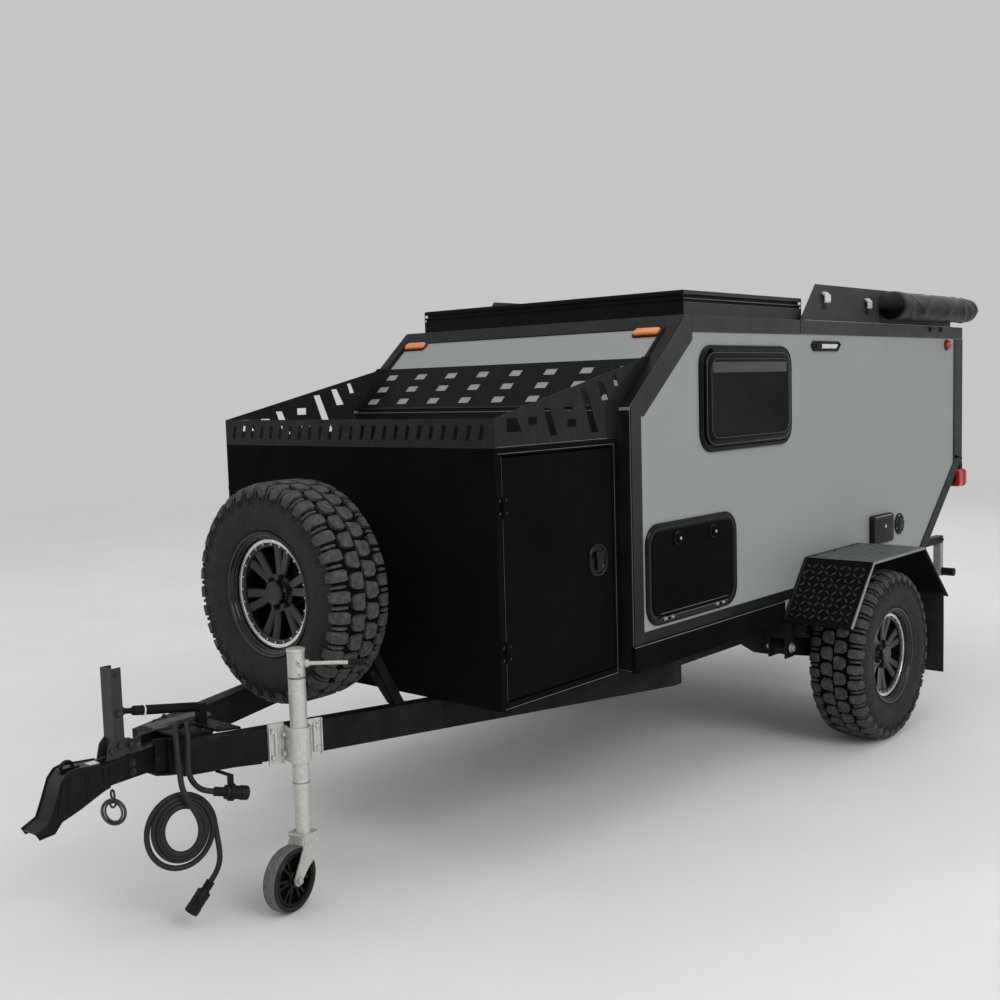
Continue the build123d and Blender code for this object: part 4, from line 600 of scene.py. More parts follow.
# Lugs of one pitch: stations of (across, from, to, height) in mm, across along the section
MIDDLE_LUGS = [
    [(-54, 16, 45, 12), (-43, 5, 55, 12), (-16, 2, 59, 12), (-4, 13, 62, 12)],
    [(4, 43, 92, 12), (16, 37, 94, 12), (43, 42, 92, 12), (54, 53, 82, 12)],
]
SHOULDER_LUGS = [
    [(62, 6, 36, 12), (74, 2, 42, 12), (95, 2, 43, 12), (112, 3, 42, 10.5), (131, 6, 38, 5.5)],
    [(70, 51, 60, 8.5), (84, 49, 61, 9), (101, 49, 61, 9), (119, 50, 60, 6.5)],
]
SIDE_RIBS = [
    [(120, 5.0, 14.0, 7.5), (134, 6.0, 14.0, 4.0), (158, 7.0, 12.0, 1.8)],
    [(124, 18.0, 26.0, 6.5), (136, 19.0, 26.0, 4.0), (152, 20.0, 24.0, 1.8)],
    [(120, 30.0, 39.0, 7.5), (134, 31.0, 38.0, 4.0), (158, 32.0, 37.0, 1.8)],
    [(110, 49.0, 61.0, 6.5), (126, 50.0, 60.0, 4.2), (144, 52.0, 58.0, 1.8)],
]


def section_walk():
    """Length along the half section at each of its points, and the outward direction there."""
    lengths = [0.0]
    for (x0, r0), (x1, r1) in zip(TYRE_SECTION, TYRE_SECTION[1:]):
        lengths.append(lengths[-1] + hypot(x1 - x0, r1 - r0))
    outward = []
    for i in range(len(TYRE_SECTION)):
        (x0, r0), (x1, r1) = TYRE_SECTION[max(i - 1, 0)], TYRE_SECTION[min(i + 1, len(TYRE_SECTION) - 1)]
        run = hypot(x1 - x0, r1 - r0)
        outward.append((-(r1 - r0) / run, (x1 - x0) / run))
    outward[0] = (0.0, 1.0)
    return lengths, outward


SECTION_LENGTHS, SECTION_OUTWARD = section_walk()


def on_tyre(across, around, height):
    """Point of the tyre's surface: across and around in mm, height in mm above the carcass."""
    walk = min(abs(across) / 1000, SECTION_LENGTHS[-1] - 1e-6)
    i = max(k for k, length in enumerate(SECTION_LENGTHS) if length <= walk)
    part = (walk - SECTION_LENGTHS[i]) / (SECTION_LENGTHS[i + 1] - SECTION_LENGTHS[i])
    mix = lambda a, b: tuple(p + (q - p) * part for p, q in zip(a, b))
    x, r = mix(TYRE_SECTION[i], TYRE_SECTION[i + 1])
    nx, nr = mix(SECTION_OUTWARD[i], SECTION_OUTWARD[i + 1])
    x += nx * height / 1000
    r += nr * height / 1000
    angle = around / 1000 / TYRE_R
    return (x if across >= 0 else -x, r * cos(angle), r * sin(angle))


def lug(form, stations, start, mirror=1):
    """One block of the tread, with drafted sides, rooted 2 mm in the carcass."""
    rings = []
    for k, (across, low, high, height) in enumerate(stations):
        draft = 1.3 if height > 5 else 0.5
        pull = draft if k == 0 else -draft if k == len(stations) - 1 else 0.0
        side = mirror * across
        top = mirror * (across + pull)
        rings.append([
            on_tyre(side, start + low, -2), on_tyre(side, start + high, -2),
            on_tyre(top, start + high - draft, height), on_tyre(top, start + low + draft, height),
        ])
    form.loft(rings)


def tyre(form):
    """Carcass, lugs and side ribs about the local X axis, with mark 0 the side, 1 the tread and 2 the groove
    floors, darkened as painted shade.
    """
    whole = [(r, x) for x, r in reversed(TYRE_SECTION)] + [(r, -x) for x, r in TYRE_SECTION[1:]]
    inner = mm(188, -88, 186, -50, 186, 50, 188, 88)
    form.lathe(whole + inner, axis=ACROSS, sides=144, ring=True)
    # Groove floors, darkened as painted shade
    form.mark = 2
    band = [(r + 0.0004, x) for x, r in TYRE_SECTION[:6]]
    band = [(r, x) for r, x in reversed(band)] + [(r, -x) for r, x in band[1:]]
    form.lathe(band + [(r - 0.0015, x) for r, x in reversed(band)], axis=ACROSS, sides=144, ring=True)
    pitch = tau * TYRE_R * 1000 / PITCHES
    for i in range(PITCHES):
        start = i * pitch
        form.mark = 1
        for stations in MIDDLE_LUGS:
            lug(form, stations, start)
        for mirror, shift in ((1, 0), (-1, pitch / 2)):
            form.mark = 1
            for stations in SHOULDER_LUGS:
                lug(form, stations, start + shift, mirror)
            form.mark = 0
            for stations in SIDE_RIBS:
                lug(form, stations, start + shift, mirror)


SPOKE_LEAN = 0.165
RING_BOLT_CIRCLE = 0.1615
NUT_CIRCLE = 0.053

# Spoke from the hub outwards: radius, face along the axle, depth, half width and share of the lean
SPOKE_STATIONS = [
    (0.046, 0.056, 0.03, 0.0135, 0.6), (0.085, 0.058, 0.026, 0.016, 0.95),
    (0.125, 0.062, 0.024, 0.017, 1.0), (0.16, 0.068, 0.026, 0.02, 1.0),
]


def spoke(form, angle, lean):
    """One arm of a twin spoke, from the hub out to the ring."""
    rings = []
    for r, x, depth, half, swing in SPOKE_STATIONS:
        turn = angle + lean * swing
        out = Vector((0, cos(turn), sin(turn)))
        side = Vector((0, -sin(turn), cos(turn)))
        face = Vector((x, 0, 0))
        rings.append([
            out * r + side * half * 0.72 + face, out * r - side * half * 0.72 + face,
            out * r - side * half + face - Vector((0.005, 0, 0)),
            out * r - side * half + face - Vector((depth, 0, 0)),
            out * r + side * half + face - Vector((depth, 0, 0)),
            out * r + side * half + face - Vector((0.005, 0, 0)),
        ])
    form.loft(rings)


def rim(form):
    """Rim about the local X axis: 0 black, 1 silver ring, 2 silver bolts, 3 dark nuts, 4 turned lines."""
    lip = mm(
        204.5, 93.5, 208, 95, 208.3, 101, 205.5, 105, 201, 105.2, 197.5, 103, 196, 99, 193, 96, 189.5, 95,
        187.5, 91, 186.2, 80, 185, 73.5, 180, 72.5, 156, 72.5, 153, 70, 151.5, 60, 156, 30, 168, 10,
        172, -80, 186, -88, 195, -92, 206, -94, 206, -97.5, 190, -97.5, 180, -92, 176, -80, 172.5, 12,
        162, 34, 160, 56, 182, 64, 190, 88,
    )
    form.lathe(lip, axis=ACROSS, sides=120, ring=True)
    for i in range(12):
        spoke(form, tau * (i // 2) / 6 + pi / 12, SPOKE_LEAN if i % 2 else -SPOKE_LEAN)
    hub = mm(
        0, 20, 64, 20, 66, 36, 66, 50, 61, 56, 44, 56.5, 42, 59, 41, 74, 37, 78.5, 28, 79, 26, 77.5,
        0, 77.5,
    )
    form.lathe(hub, axis=ACROSS, sides=72)
    form.mark = 1
    ring = mm(179, 71.5, 179, 77.5, 177.5, 79, 168, 79, 166.5, 77.5, 166.5, 71.5)
    form.lathe(ring, axis=ACROSS, sides=144, ring=True)
    form.mark = 4
    for radius, x in mm(185.5, 90, 186.8, 83, 183.5, 74.2, 198, 104.5):
        form.lathe(
            [(radius - 0.001, x - 0.0008), (radius + 0.0004, x + 0.0008), (radius - 0.001, x + 0.0014)],
            axis=ACROSS, sides=120, ring=True,
        )
    form.mark = 2
    for i in range(24):
        angle = tau * i / 24
        at = (0.0722, RING_BOLT_CIRCLE * cos(angle), RING_BOLT_CIRCLE * sin(angle))
        form.bolt(at, ACROSS, 0.008, 0.005, washer=False)
    form.mark = 3
    for i in range(6):
        angle = tau * i / 6 + pi / 12
        at = (0.054, NUT_CIRCLE * cos(angle), NUT_CIRCLE * sin(angle))
        form.bolt(at, ACROSS, 0.0165, 0.016, washer=False)


def wheel_place(node, outward):
    """Matrix that takes a wheel's local X axis to outward, at the middle of a CAD node."""
    low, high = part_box(node)
    turn = ACROSS.rotation_difference(Vector(outward)).to_matrix().to_4x4()
    return Matrix.Translation((low + high) / 2) @ turn


def wheels():
    tyre_and_rim("left", "tyre_left", "rim_left", "wheel_left", ACROSS, 0.12)
    tyre_and_rim("right", "tyre_right", "rim_right", "wheel_right", (-1, 0, 0), 0.3)
    tyre_and_rim("spare", "spare_tyre", "spare_rim", "trailer", (0, -1, 0), 0.0)


def tyre_and_rim(name, tyre_node, rim_node, body, outward, roll):
    place = wheel_place(tyre_node, outward) @ Matrix.Rotation(roll, 4, "X")
    form = Form()
    form.place = place
    tyre(form)
    show(
        name + "_tyre_treaded", form, body, ["tyre_side", "tyre_tread", "recess_painted_shade"],
        [tyre_node], 0.0012, 1,
    )
    form = Form()
    form.place = place
    rim(form)
    finishes = ["wheel_black", "wheel_silver", "bolt_zinc", "bolt_black", "line_dark"]
    if body != "trailer":
        brake_drum(form)
    show(name + "_rim_spoked", form, body, finishes, [rim_node], 0.0009, 2)


# Towing leads

CORD_R = 0.0085
TIE_AT = Vector((0.154, BOX_FRONT - 0.83, 0.29))
COIL_YAW = radians(18.8)
COIL_ALONG = Vector((sin(COIL_YAW), cos(COIL_YAW), 0))
COIL_OUT = Vector((cos(COIL_YAW), -sin(COIL_YAW), 0))
LEAD_DROP = mm(
    46, -752, 580, 68, -771, 588, 91, -790, 592, 115, -808, 586, 135, -821, 569, 147, -828, 543,
    153, -830, 512, 158, -830, 478, each=3,
)
LEAD_TAIL = mm(187, -730, 238, 189, -727, 208, 188, -731, 179, 184, -741, 152, 178, -757, 130, each=3)
PARKED_LEAD = mm(
    52, -726, 580, 76, -743, 588, 101, -760, 592, 126, -776, 586, 147, -789, 570, 161, -799, 545,
    167, -806, 514, 169, -808, 480, 171, -803, 451, 176, -788, 426, 184, -766, 408, 192, -739, 401, each=3,
)
COIL_TURNS = 4.08
COIL_STEPS = 15


def from_box(points):
    """Points given from the toolbox's front, in the object's frame."""
    return [Vector((x, y + BOX_FRONT, z)) for x, y, z in points]


def coil_point(turns):
    """Centre of the lead in its hanging coil, which grows from its smallest loop outwards."""
    part = turns / COIL_TURNS
    half_wide = 0.05 + 0.055 * part + 0.004 * sin(turns * 2.3)
    half_tall = 0.062 + 0.056 * part + 0.003 * sin(turns * 1.7 + 1)
    top = 0.37 + 0.038 * part
    angle = tau * turns + radians(66)
    out = 0.018 - 0.036 * part
    rise = top - half_tall + half_tall * cos(angle)
    level = COIL_ALONG * half_wide * sin(angle) + COIL_OUT * out
    return Vector((TIE_AT.x + level.x, TIE_AT.y + level.y, rise))


def lead_curve(name, points, body):
    """One smooth open curve with the route's points as its control points."""
    curve = bpy.data.curves.new(name, "CURVE")
    curve.dimensions = "3D"
    spline = curve.splines.new("NURBS")
    spline.points.add(len(points) - 1)
    for target, point in zip(spline.points, points):
        target.co = (*point, 1)
    spline.order_u = 3
    spline.use_endpoint_u = True
    spline.resolution_u = 6
    curve.bevel_depth = CORD_R
    curve.bevel_resolution = 4
    curve.materials.append(finish_of("lead_rubber"))
    obj = bpy.data.objects.new(name, curve)
    bpy.context.scene.collection.objects.link(obj)
    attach(obj, body)
    return obj


def lead_route():
    """The coiled lead: out of its gland, down, round the coil's turns and to its plug."""
    into = mm(0, 18, 440, 8, 30, 408, 24, 34, 376, 40, 28, 345, each=3)
    crossing = [TIE_AT + COIL_ALONG * along + COIL_OUT * out for along, out, _ in into]
    for point, (_, _, rise) in zip(crossing, into):
        point.z = rise
    count = round(COIL_TURNS * COIL_STEPS)
    turns = [coil_point(COIL_TURNS * i / count) for i in range(count + 1)]
    return from_box(LEAD_DROP) + crossing + turns + from_box(LEAD_TAIL[1:])


# Cabin

SLANT = atan2(ROOF_Z - BREAK_Z, 0.367)
SLANT_UP = Vector((0, cos(SLANT), sin(SLANT)))
SLANT_OUT = Vector((0, -sin(SLANT), cos(SLANT)))

# Outlines on the side walls: distance behind the toolbox's front, and height
FRONT_TRIM = mm(
    657, 643, 716, 643, 718, 1452, 735, 1447, 1056, 1716, 1056, 1745, 1056, 1806.5, 1022.5, 1806.5,
    657, 1481.5,
)
ROOF_TRIM_FRONT = mm(1057.5, 1745, 1057.5, 1806.5, 1891, 1806.5, 1891, 1747)
ROOF_TRIM_REAR = mm(1893.5, 1749, 1893.5, 1806.5, 3700, 1806.5, 3700, 1748)
REAR_TRIM = mm(
    3594, 1747, 3603.5, 1747, 3603.5, 1117.8, 3709, 1117.8, 3181.5, 644.5, 3088.5, 644.5, 3594, 1098,
)
SILL_STRIP = mm(716, 643, 718, 684, 3226, 684, 3181, 643)
SILL_UNDER_DOOR = mm(716, 643, 718, 684, 1036, 684, 1036, 656, 1670, 656, 1670, 684, 3226, 684, 3181, 643)


def from_front(outline):
    """An outline given from the toolbox's front, in the object's frame."""
    return [(y + BOX_FRONT, z) for y, z in outline]


def on_wall(form, sign, outline, low, high):
    """A flat piece on a side wall, between two distances out from the wall's face."""
    near, far = span(sign, CABIN_HALF + low, CABIN_HALF + high)
    form.slab(from_front(outline), "x", near, far)


def on_slant(across, up, out):
    """Point on the cabin's slanted front."""
    return Vector((across, CABIN_FRONT, BREAK_Z)) + SLANT_UP * up + SLANT_OUT * out


def slant_slab(form, x_low, x_high, up_low, up_high, thick):
    low = [
        on_slant(x, up, 0)
        for x, up in ((x_low, up_low), (x_high, up_low), (x_high, up_high), (x_low, up_high))
    ]
    form.loft([low, [point + SLANT_OUT * thick for point in low]])


def cabin_trims():
    for side, sign in SIDES.items():
        form = Form()
        on_wall(form, sign, FRONT_TRIM, -0.001, 0.005)
        on_wall(form, sign, ROOF_TRIM_FRONT, -0.001, 0.005)
        on_wall(form, sign, ROOF_TRIM_REAR, -0.001, 0.0065)
        on_wall(form, sign, REAR_TRIM, -0.001, 0.005)
        form.mark = 1
        on_wall(form, sign, SILL_STRIP if sign > 0 else SILL_UNDER_DOOR, -0.001, 0.003)
        show(f"trim_{side}", form, "trailer", ["trim_grey", "trim_black"], bevel=0.0012)
        sills(side, sign)


def sills(side, sign):
    """Charcoal blocks along the cabin's foot, ahead of the wheel and behind it, darkened further as painted
    shade, with a painted highlight line along their top edge.
    """
    form = Form()
    for start, end, lean in ((0.646, 1.733, 0.0), (2.74, 3.076, 0.1047)):
        block = [(start, 0.549), (end, 0.549), (end + lean, 0.643), (start, 0.643)]
        on_wall(form, sign, block, -0.002, 0.012)
        # Painted highlight: a light grey line along the sill's top edge
        form.mark = 1
        rim = [(start, 0.6405), (end + lean - 0.003, 0.6405), (end + lean, 0.644), (start, 0.644)]
        on_wall(form, sign, rim, 0.01, 0.0135)
        form.mark = 0
    show(f"sill_{side}", form, "trailer", ["sill_charcoal_painted_shade", "grey_line_and_painted_highlight"], bevel=0.0015)


def slant_trims():
    form = Form()
    slant_slab(form, -0.722, 0.722, 0.418, 0.4895, 0.004)
    for sign in SIDES.values():
        low, high = span(sign, 0.655, 0.722)
        slant_slab(form, low, high, 0.002, 0.418, 0.004)
        low, high = span(sign, 0.667, 0.672)
        slant_slab(form, low, high, 0.002, 0.418, 0.01)
    slant_slab(form, -0.66, 0.66, 0.002, 0.012, 0.006)
    show("slant_trims", form, "trailer", ["trim_black"], bevel=0.001)
    form = Form()
    form.box((-0.655, CABIN_FRONT - 0.003, BREAK_Z - 0.006), (0.655, CABIN_FRONT + 0.001, BREAK_Z + 0.001))
    form.box((-0.722, CABIN_FRONT - 0.004, FLOOR_Z + 0.002), (0.722, CABIN_FRONT + 0.001, BREAK_Z - 0.01))
    show("cabin_front_cover", form, "trailer", ["trim_black"], bevel=0.001)


def side_plate(form, sign, face, middle_at, levels, steps):
    """Loft of rounded rectangles on an upright face: (half length, half height, corner, out)."""
    y, z = middle_at
    form.loft([
        [(sign * (face + out), y + u, z + v) for u, v in rounded(half_y, half_z, corner, steps)]
        for half_y, half_z, corner, out in levels
    ])


def rounded_plate(form, sign, centre, levels):
    """Plate on a cabin wall, its centre given from the toolbox's front."""
    side_plate(form, sign, CABIN_HALF, (centre[0] + BOX_FRONT, centre[1]), levels, 6)


def rounded_ring(form, sign, centre, half_y, half_z, corner, radius, out):
    """Bead that runs round a rounded rectangle on a side wall."""
    outline = rounded(half_y, half_z, corner, 6)
    x = sign * (CABIN_HALF + out)
    path = [(x, centre[0] + BOX_FRONT + y, centre[1] + z) for y, z in outline]
    form.tube(path, radius, closed=True, sides=8)


def window(name, body, sign, centre, half_y, half_z, replaced):
    """Bulged acrylic window in its rounded frame, with a blind behind the pane."""
    form = Form()

    def plate(levels):
        rounded_plate(
            form, sign, centre,
            [(half_y - inset, half_z - inset, corner, out) for inset, corner, out in levels],
        )

    def bead(inset, corner, radius, out):
        rounded_ring(form, sign, centre, half_y - inset, half_z - inset, corner, radius, out)

    plate(mm(0, 78, -1, 0, 78, 6, 4, 75, 11.5, 10, 70, 13.2, 16, 66, 12.5, 19, 63, 6, each=3))
    bead(0.0055, 0.074, 0.0022, 0.0125)
    form.mark = 2
    rail = half_y - 0.065
    x, y, z = sign * (CABIN_HALF + 0.019), centre[0] + BOX_FRONT, centre[1]
    form.tube([(x, y - rail, z + half_z - 0.02), (x, y + rail, z + half_z - 0.02)], 0.006)
    form.mark = 1
    plate(mm(24, 58, 7, 24, 58, 15, 29, 55, 21, 38, 50, 24.5, 52, 45, 25.8, 56, 41, 25.2, each=3))
    form.mark = 3
    bead(0.028, 0.055, 0.0016, 0.0205)
    bead(0.0525, 0.044, 0.001, 0.0256)
    form.mark = 4
    blind = [
        (centre[0] - half_y + 0.064, z + half_z - 0.104), (centre[0] + half_y - 0.07, z + half_z - 0.104),
        (centre[0] + half_y - 0.07, z + half_z - 0.064), (centre[0] - half_y + 0.064, z + half_z - 0.064),
    ]
    on_wall(form, sign, blind, 0.0245, 0.0259)
    show(
        name, form, body,
        ["plastic_gloss", "window_tint", "trim_black", "line_dark", "blind_dark"], replaced, bevel=0.0005,
        segments=1,
    )


def side_window():
    window(
        "window_left_dressed", "trailer", 1, (1.45, 1.497), 0.35, 0.201,
        ["window_left_frame", "window_left_pane"],
    )


def luggage_hatch():
    """Rounded frame, dished door and two push latches."""
    centre = (1.04, 0.879)
    form = Form()
    rounded_plate(
        form, 1, centre,
        mm(
            308, 184, 76, 0.2, 308, 184, 76, 6, 304, 180, 73, 10.5, 294, 170, 66, 12, 284, 160, 58, 10.5,
            281, 157, 55, 6, each=4,
        ),
    )
    rounded_ring(form, 1, centre, 0.302, 0.178, 0.072, 0.0018, 0.0112)
    form.mark = 1
    rounded_plate(
        form, 1, centre,
        mm(
            277, 153, 52, 4, 277, 153, 52, 10, 273, 149, 50, 12.5, 264, 140, 46, 13, 258, 134, 43, 10.5,
            254, 130, 40, 10, each=4,
        ),
    )
    form.mark = 2
    for drop in (0.142, 0.158):
        y0, z0 = centre[0] + BOX_FRONT, centre[1] - drop
        form.tube(
            [(CABIN_HALF + 0.0125, y0 - 0.232, z0), (CABIN_HALF + 0.0125, y0 + 0.232, z0)], 0.0014, sides=8,
        )
    for back in (0.925, 1.168):
        at = (CABIN_HALF + 0.0095, back + BOX_FRONT, 0.999)
        form.mark = 0
        form.lathe(mm(27, 0, 27, 6, 23.5, 11, 21.5, 11, 20.5, 7, 0, 7), at, ACROSS, 40)
        form.mark = 1
        form.lathe(mm(18.5, 6, 18.5, 13, 16.5, 16, 0, 17.5), at, ACROSS, 32)
        form.mark = 3
        form.lathe(mm(5.8, 16, 5.8, 18.5, 4.5, 19.5, 0, 19.5), at, ACROSS, 20)
    show(
        "luggage_hatch_dressed", form, "luggage_hatch",
        ["plastic_gloss", "black_panel", "grey_line_and_painted_highlight", "bolt_zinc"], bevel=0.0004, segments=1,
    )


# Toolbox

def toolbox_latch(form, sign, at):
    """Oval paddle latch with a bright lower lip."""
    y, z = at
    skin = BOX_HALF
    form.mark = 1
    side_plate(
        form, sign, skin, at,
        mm(53, 58, 50, 0, 53, 58, 50, 4, 49, 54, 46, 7.5, 42, 47, 40, 7.5, 39, 44, 37, 2.5, each=4), 6,
    )
    for low, high, out in (
        ((-0.014, -0.034), (0.016, 0.026), 0.011), ((-0.022, 0.006), (0.024, 0.03), 0.014),
    ):
        x0, x1 = span(sign, skin + 0.002, skin + out)
        form.box((x0, y + low[0], z + low[1]), (x1, y + high[0], z + high[1]))
    form.mark = 2
    lip = [
        (sign * (skin + 0.0085), y + 0.046 * sin(radians(a)), z - 0.051 * cos(radians(a)))
        for a in range(-10, 62, 8)
    ]
    form.tube(lip, 0.0024, sides=8)
    form.lathe(
        mm(7.5, 0, 7.5, 12.5, 6, 13.5, 0, 13.5), (sign * skin, y + 0.014, z - 0.022), (sign, 0, 0), 20,
    )


def toolbox():
    for side, sign in SIDES.items():
        face = sign * BOX_HALF
        form = Form()
        toolbox_latch(form, sign, (0.512 + BOX_FRONT, 0.967))
        form.mark = 2
        for z in (0.7315, 1.1935):
            for rise in (-0.02, 0.02):
                form.screw((face + sign * 0.0028, 0.042 + BOX_FRONT, z + rise), (sign, 0, 0), 0.01)
        show(
            f"toolbox_door_{side}_fittings", form, f"toolbox_door_{side}",
            ["black_panel", "plastic_gloss", "bolt_black"], bevel=0.0008,
        )
    form = Form()
    for sign in SIDES.values():
        face = sign * BOX_HALF
        x0, x1 = span(sign, BOX_HALF, BOX_HALF + 0.0016)
        # Painted highlights: thin light grey strips along the doors' top and bottom edges
        form.mark = 0
        form.box((x0, BOX_FRONT + 0.01, 1.3778), (x1, BOX_REAR - 0.03, 1.3796))
        form.box((x0, BOX_FRONT + 0.01, 1.357), (x1, BOX_REAR - 0.012, 1.3588))
        form.box((x0, BOX_FRONT + 0.016, 0.554), (x1, BOX_REAR - 0.012, 0.5558))
        form.mark = 3
        form.box((x0, BOX_REAR - 0.0136, 0.554), (x1, BOX_REAR - 0.012, 1.3588))
        form.box((x0, BOX_FRONT + 0.0262, 0.576), (x1, BOX_FRONT + 0.0274, 1.35))
        form.mark = 2
        for z in (0.7315, 1.1935):
            for rise in (-0.02, 0.02):
                form.screw((face + sign * 0.0028, 0.013 + BOX_FRONT, z + rise), (sign, 0, 0), 0.01)
        form.mark = 1
        band = mm(580, 1378.5, 580, 1493, 797, 1656, 845, 1658.5, 652, 1483, 652, 1479, 627, 1378.5)
        form.slab(from_front(band), "x", *span(sign, BOX_HALF, BOX_HALF + 0.002))
    show(
        "toolbox_edges_and_highlights", form, "trailer",
        ["grey_line_and_painted_highlight", "trim_black", "bolt_black", "line_dark"], bevel=0.0003, segments=1,
    )


# Roof

RACK_LOW = (-0.672, -0.191)
RACK_HIGH = (0.672, 0.7295)
RACK_Z = 1.807
PLATE_FACE = 0.704

# Cross-section of the rack's rail: out from the rack and up from the roof
RAIL_SECTION = mm(
    -40, 0, 0, 0, 0, 50, -4, 53, -4, 59, 0, 62, 0, 69, -9, 70, -9, 79, 0, 80, 0, 92, -5, 97, -14, 97,
    -14, 90, -26, 90, -26, 97, -36, 97, -40, 93,
)
SLAT_SECTION = mm(
    -30, 0, 30, 0, 30, 26, 27, 30, 20, 30, 20, 22, 8, 22, 8, 30, -8, 30, -8, 22, -20, 22, -20, 30, -27, 30,
    -30, 26,
)


def rail_ring(corner, out):
    """The rail's section at a corner of the rack, spread along the mitre."""
    return [(corner[0] + out[0] * u, corner[1] + out[1] * u, RACK_Z + v) for u, v in RAIL_SECTION]


def roof_rack():
    form = Form()
    (x0, y0), (x1, y1) = RACK_LOW, RACK_HIGH
    corners = [((x1, y0), (1, -1)), ((x1, y1), (1, 1)), ((x0, y1), (-1, 1)), ((x0, y0), (-1, -1))]
    form.loft([rail_ring(corner, out) for corner, out in corners], round_trip=True)
    for i in range(7):
        y = y0 + 0.04 + (y1 - y0 - 0.08) * (i + 0.5) / 7
        form.slab([(y + u, RACK_Z + 0.058 + v) for u, v in SLAT_SECTION], "x", x0 + 0.0395, x1 - 0.0395)
    for x, out in ((x1, 1), (x0, -1)):
        # Painted light: grey strips make the rail's long sides lighter than its darker, shaded front
        form.mark = 4
        for bottom, top in mm(2, 48.5, 63.5, 68, 81, 91):
            low, high = sorted((x, x + out * 0.0006))
            form.box((low, y0 + 0.002, RACK_Z + bottom), (high, y1 - 0.002, RACK_Z + top))
        form.mark = 1
        for z in (0.0945, 0.0655, 0.051):
            low, high = sorted((x, x + out * 0.0012))
            form.box((low, y0 + 0.004, RACK_Z + z - 0.0012), (high, y1 - 0.004, RACK_Z + z + 0.0012))
    form.mark = 2
    for x in (x0, x1):
        for y in (y0, y1):
            form.box((x - 0.0012, y - 0.0012, RACK_Z), (x + 0.0012, y + 0.0012, RACK_Z + 0.0955))
    form.mark = 3
    for x in (-0.6, 0.6):
        for y in (y0 + 0.06, (y0 + y1) / 2, y1 - 0.06):
            form.bolt((x, y, RACK_Z + 0.0885), UP, 0.013)
    show(
        "roof_rack_slatted", form, "trailer",
        ["rack_black_painted_shade", "line_dark", "plastic_black", "bolt_black", "trim_grey"], ["roof_rack"],
        bevel=0.0008, segments=1,
    )


def awning_fittings():
    """Hooks on the upright plates, and the bright line along their feet."""
    form = Form()
    for back, up, wide in mm(2160, 1905, 50, 2585, 1893, 44, 3300, 1893, 44, each=3):
        y = back + BOX_FRONT
        x = PLATE_FACE
        form.mark = 0
        fold = [
            (x, up + 0.03), (x + 0.003, up + 0.03), (x + 0.019, up + 0.014), (x + 0.019, up - 0.012),
            (x + 0.013, up - 0.018), (x + 0.013, up + 0.01), (x, up + 0.022),
        ]
        form.slab(fold, "y", y - wide / 2, y + wide / 2)
        form.mark = 2
        form.box((x, y - wide * 0.36, up - 0.044), (x + 0.002, y + wide * 0.36, up - 0.022))
        form.bolt((x + 0.003, y, up + 0.024), ACROSS, 0.008, washer=False)
    form.mark = 1
    plates_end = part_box("awning_plates")[1].y
    for sign in SIDES.values():
        front = {1: 0.672, -1: 0.18}[sign]
        x0, x1 = span(sign, PLATE_FACE, PLATE_FACE + 0.014)
        form.box((x0, front, 1.8072), (x1, plates_end - 0.01, 1.81))
    form.mark = 2
    for y in (1.985, 2.123):
        form.box((CABIN_HALF - 0.001, y - 0.012, 1.778), (CABIN_HALF + 0.011, y + 0.012, 1.8066))
        form.bolt((CABIN_HALF + 0.011, y, 1.79), ACROSS, 0.01, washer=False)
    show(
        "awning_fittings", form, "trailer",
        ["buckle_bright", "bright_edge", "plastic_black"], bevel=0.0006,
    )


BAG_STEPS = 150
BAG_SIDES = 72

# Folds round the bag: where along it, turn of the lean, lean, width and depth
BAG_FOLDS = [
    (0.13, 0.9, 0.1, 0.02, 0.005), (0.19, 0.2, -0.12, 0.024, 0.0055), (0.26, 1.5, 0.16, 0.022, 0.0045),
    (0.33, 0.5, 0.1, 0.03, 0.004), (0.47, 1.1, -0.1, 0.035, 0.003), (0.62, 0.3, 0.12, 0.032, 0.0032),
    (0.78, 0.8, -0.1, 0.026, 0.0042), (0.86, 1.6, 0.1, 0.02, 0.005), (0.92, 0.4, -0.08, 0.016, 0.0045),
]


def awning_bag():
    """Vinyl sleeve round the rolled awning: gathered at its ends, with folds across it and a slight sag."""
    low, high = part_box("awning_bag")
    centre = (low + high) / 2
    radius = (high.z - low.z) / 2
    form = Form()
    rings = []
    for i in range(BAG_STEPS + 1):
        y = low.y + (high.y + 0.009 - low.y) * i / BAG_STEPS
        part = i / BAG_STEPS
        nose = min(part / 0.012, 1.0)
        tail = min((1 - part) / 0.075, 1.0)
        round_off = sqrt(max(0.0, 1 - (1 - tail) ** 2)) * (0.86 + 0.14 * nose)
        ring = []
        for j in range(BAG_SIDES):
            angle = tau * j / BAG_SIDES
            folds = 0.0
            for start, turn, lean, wide, deep in BAG_FOLDS:
                line = start + lean * sin(angle - turn)
                folds += deep * 2.718 ** (-((part - line) / wide) ** 2)
            ripple = 0.0016 * noise.noise((cos(angle) * 1.6, y * 9, sin(angle) * 1.6))
            sag = 0.0045 * max(0.0, -sin(angle)) * sin(pi * min(max((part - 0.08) / 0.84, 0), 1))
            r = min((radius - 0.004 + folds * 0.7 + ripple) * round_off + sag, radius + 0.003)
            ring.append((centre.x + r * cos(angle), y, centre.z + r * sin(angle)))
        rings.append(ring)
    form.loft(rings)
    bag_nose(form, low, centre, radius)
    bag = show(
        "awning_bag_rolled", form, "trailer", ["cover_vinyl"], ["awning_bag"], sharp=50,
    )


# Flap over the bag's front end, from outside inwards: distance behind the end, and share of the radius
NOSE_STATIONS = [
    (0.09, 0.965), (0.06, 0.99), (0.03, 0.992), (0.01, 0.985), (0.001, 0.93), (0.001, 0.7), (0.006, 0.45),
    (0.01, 0.15),
]


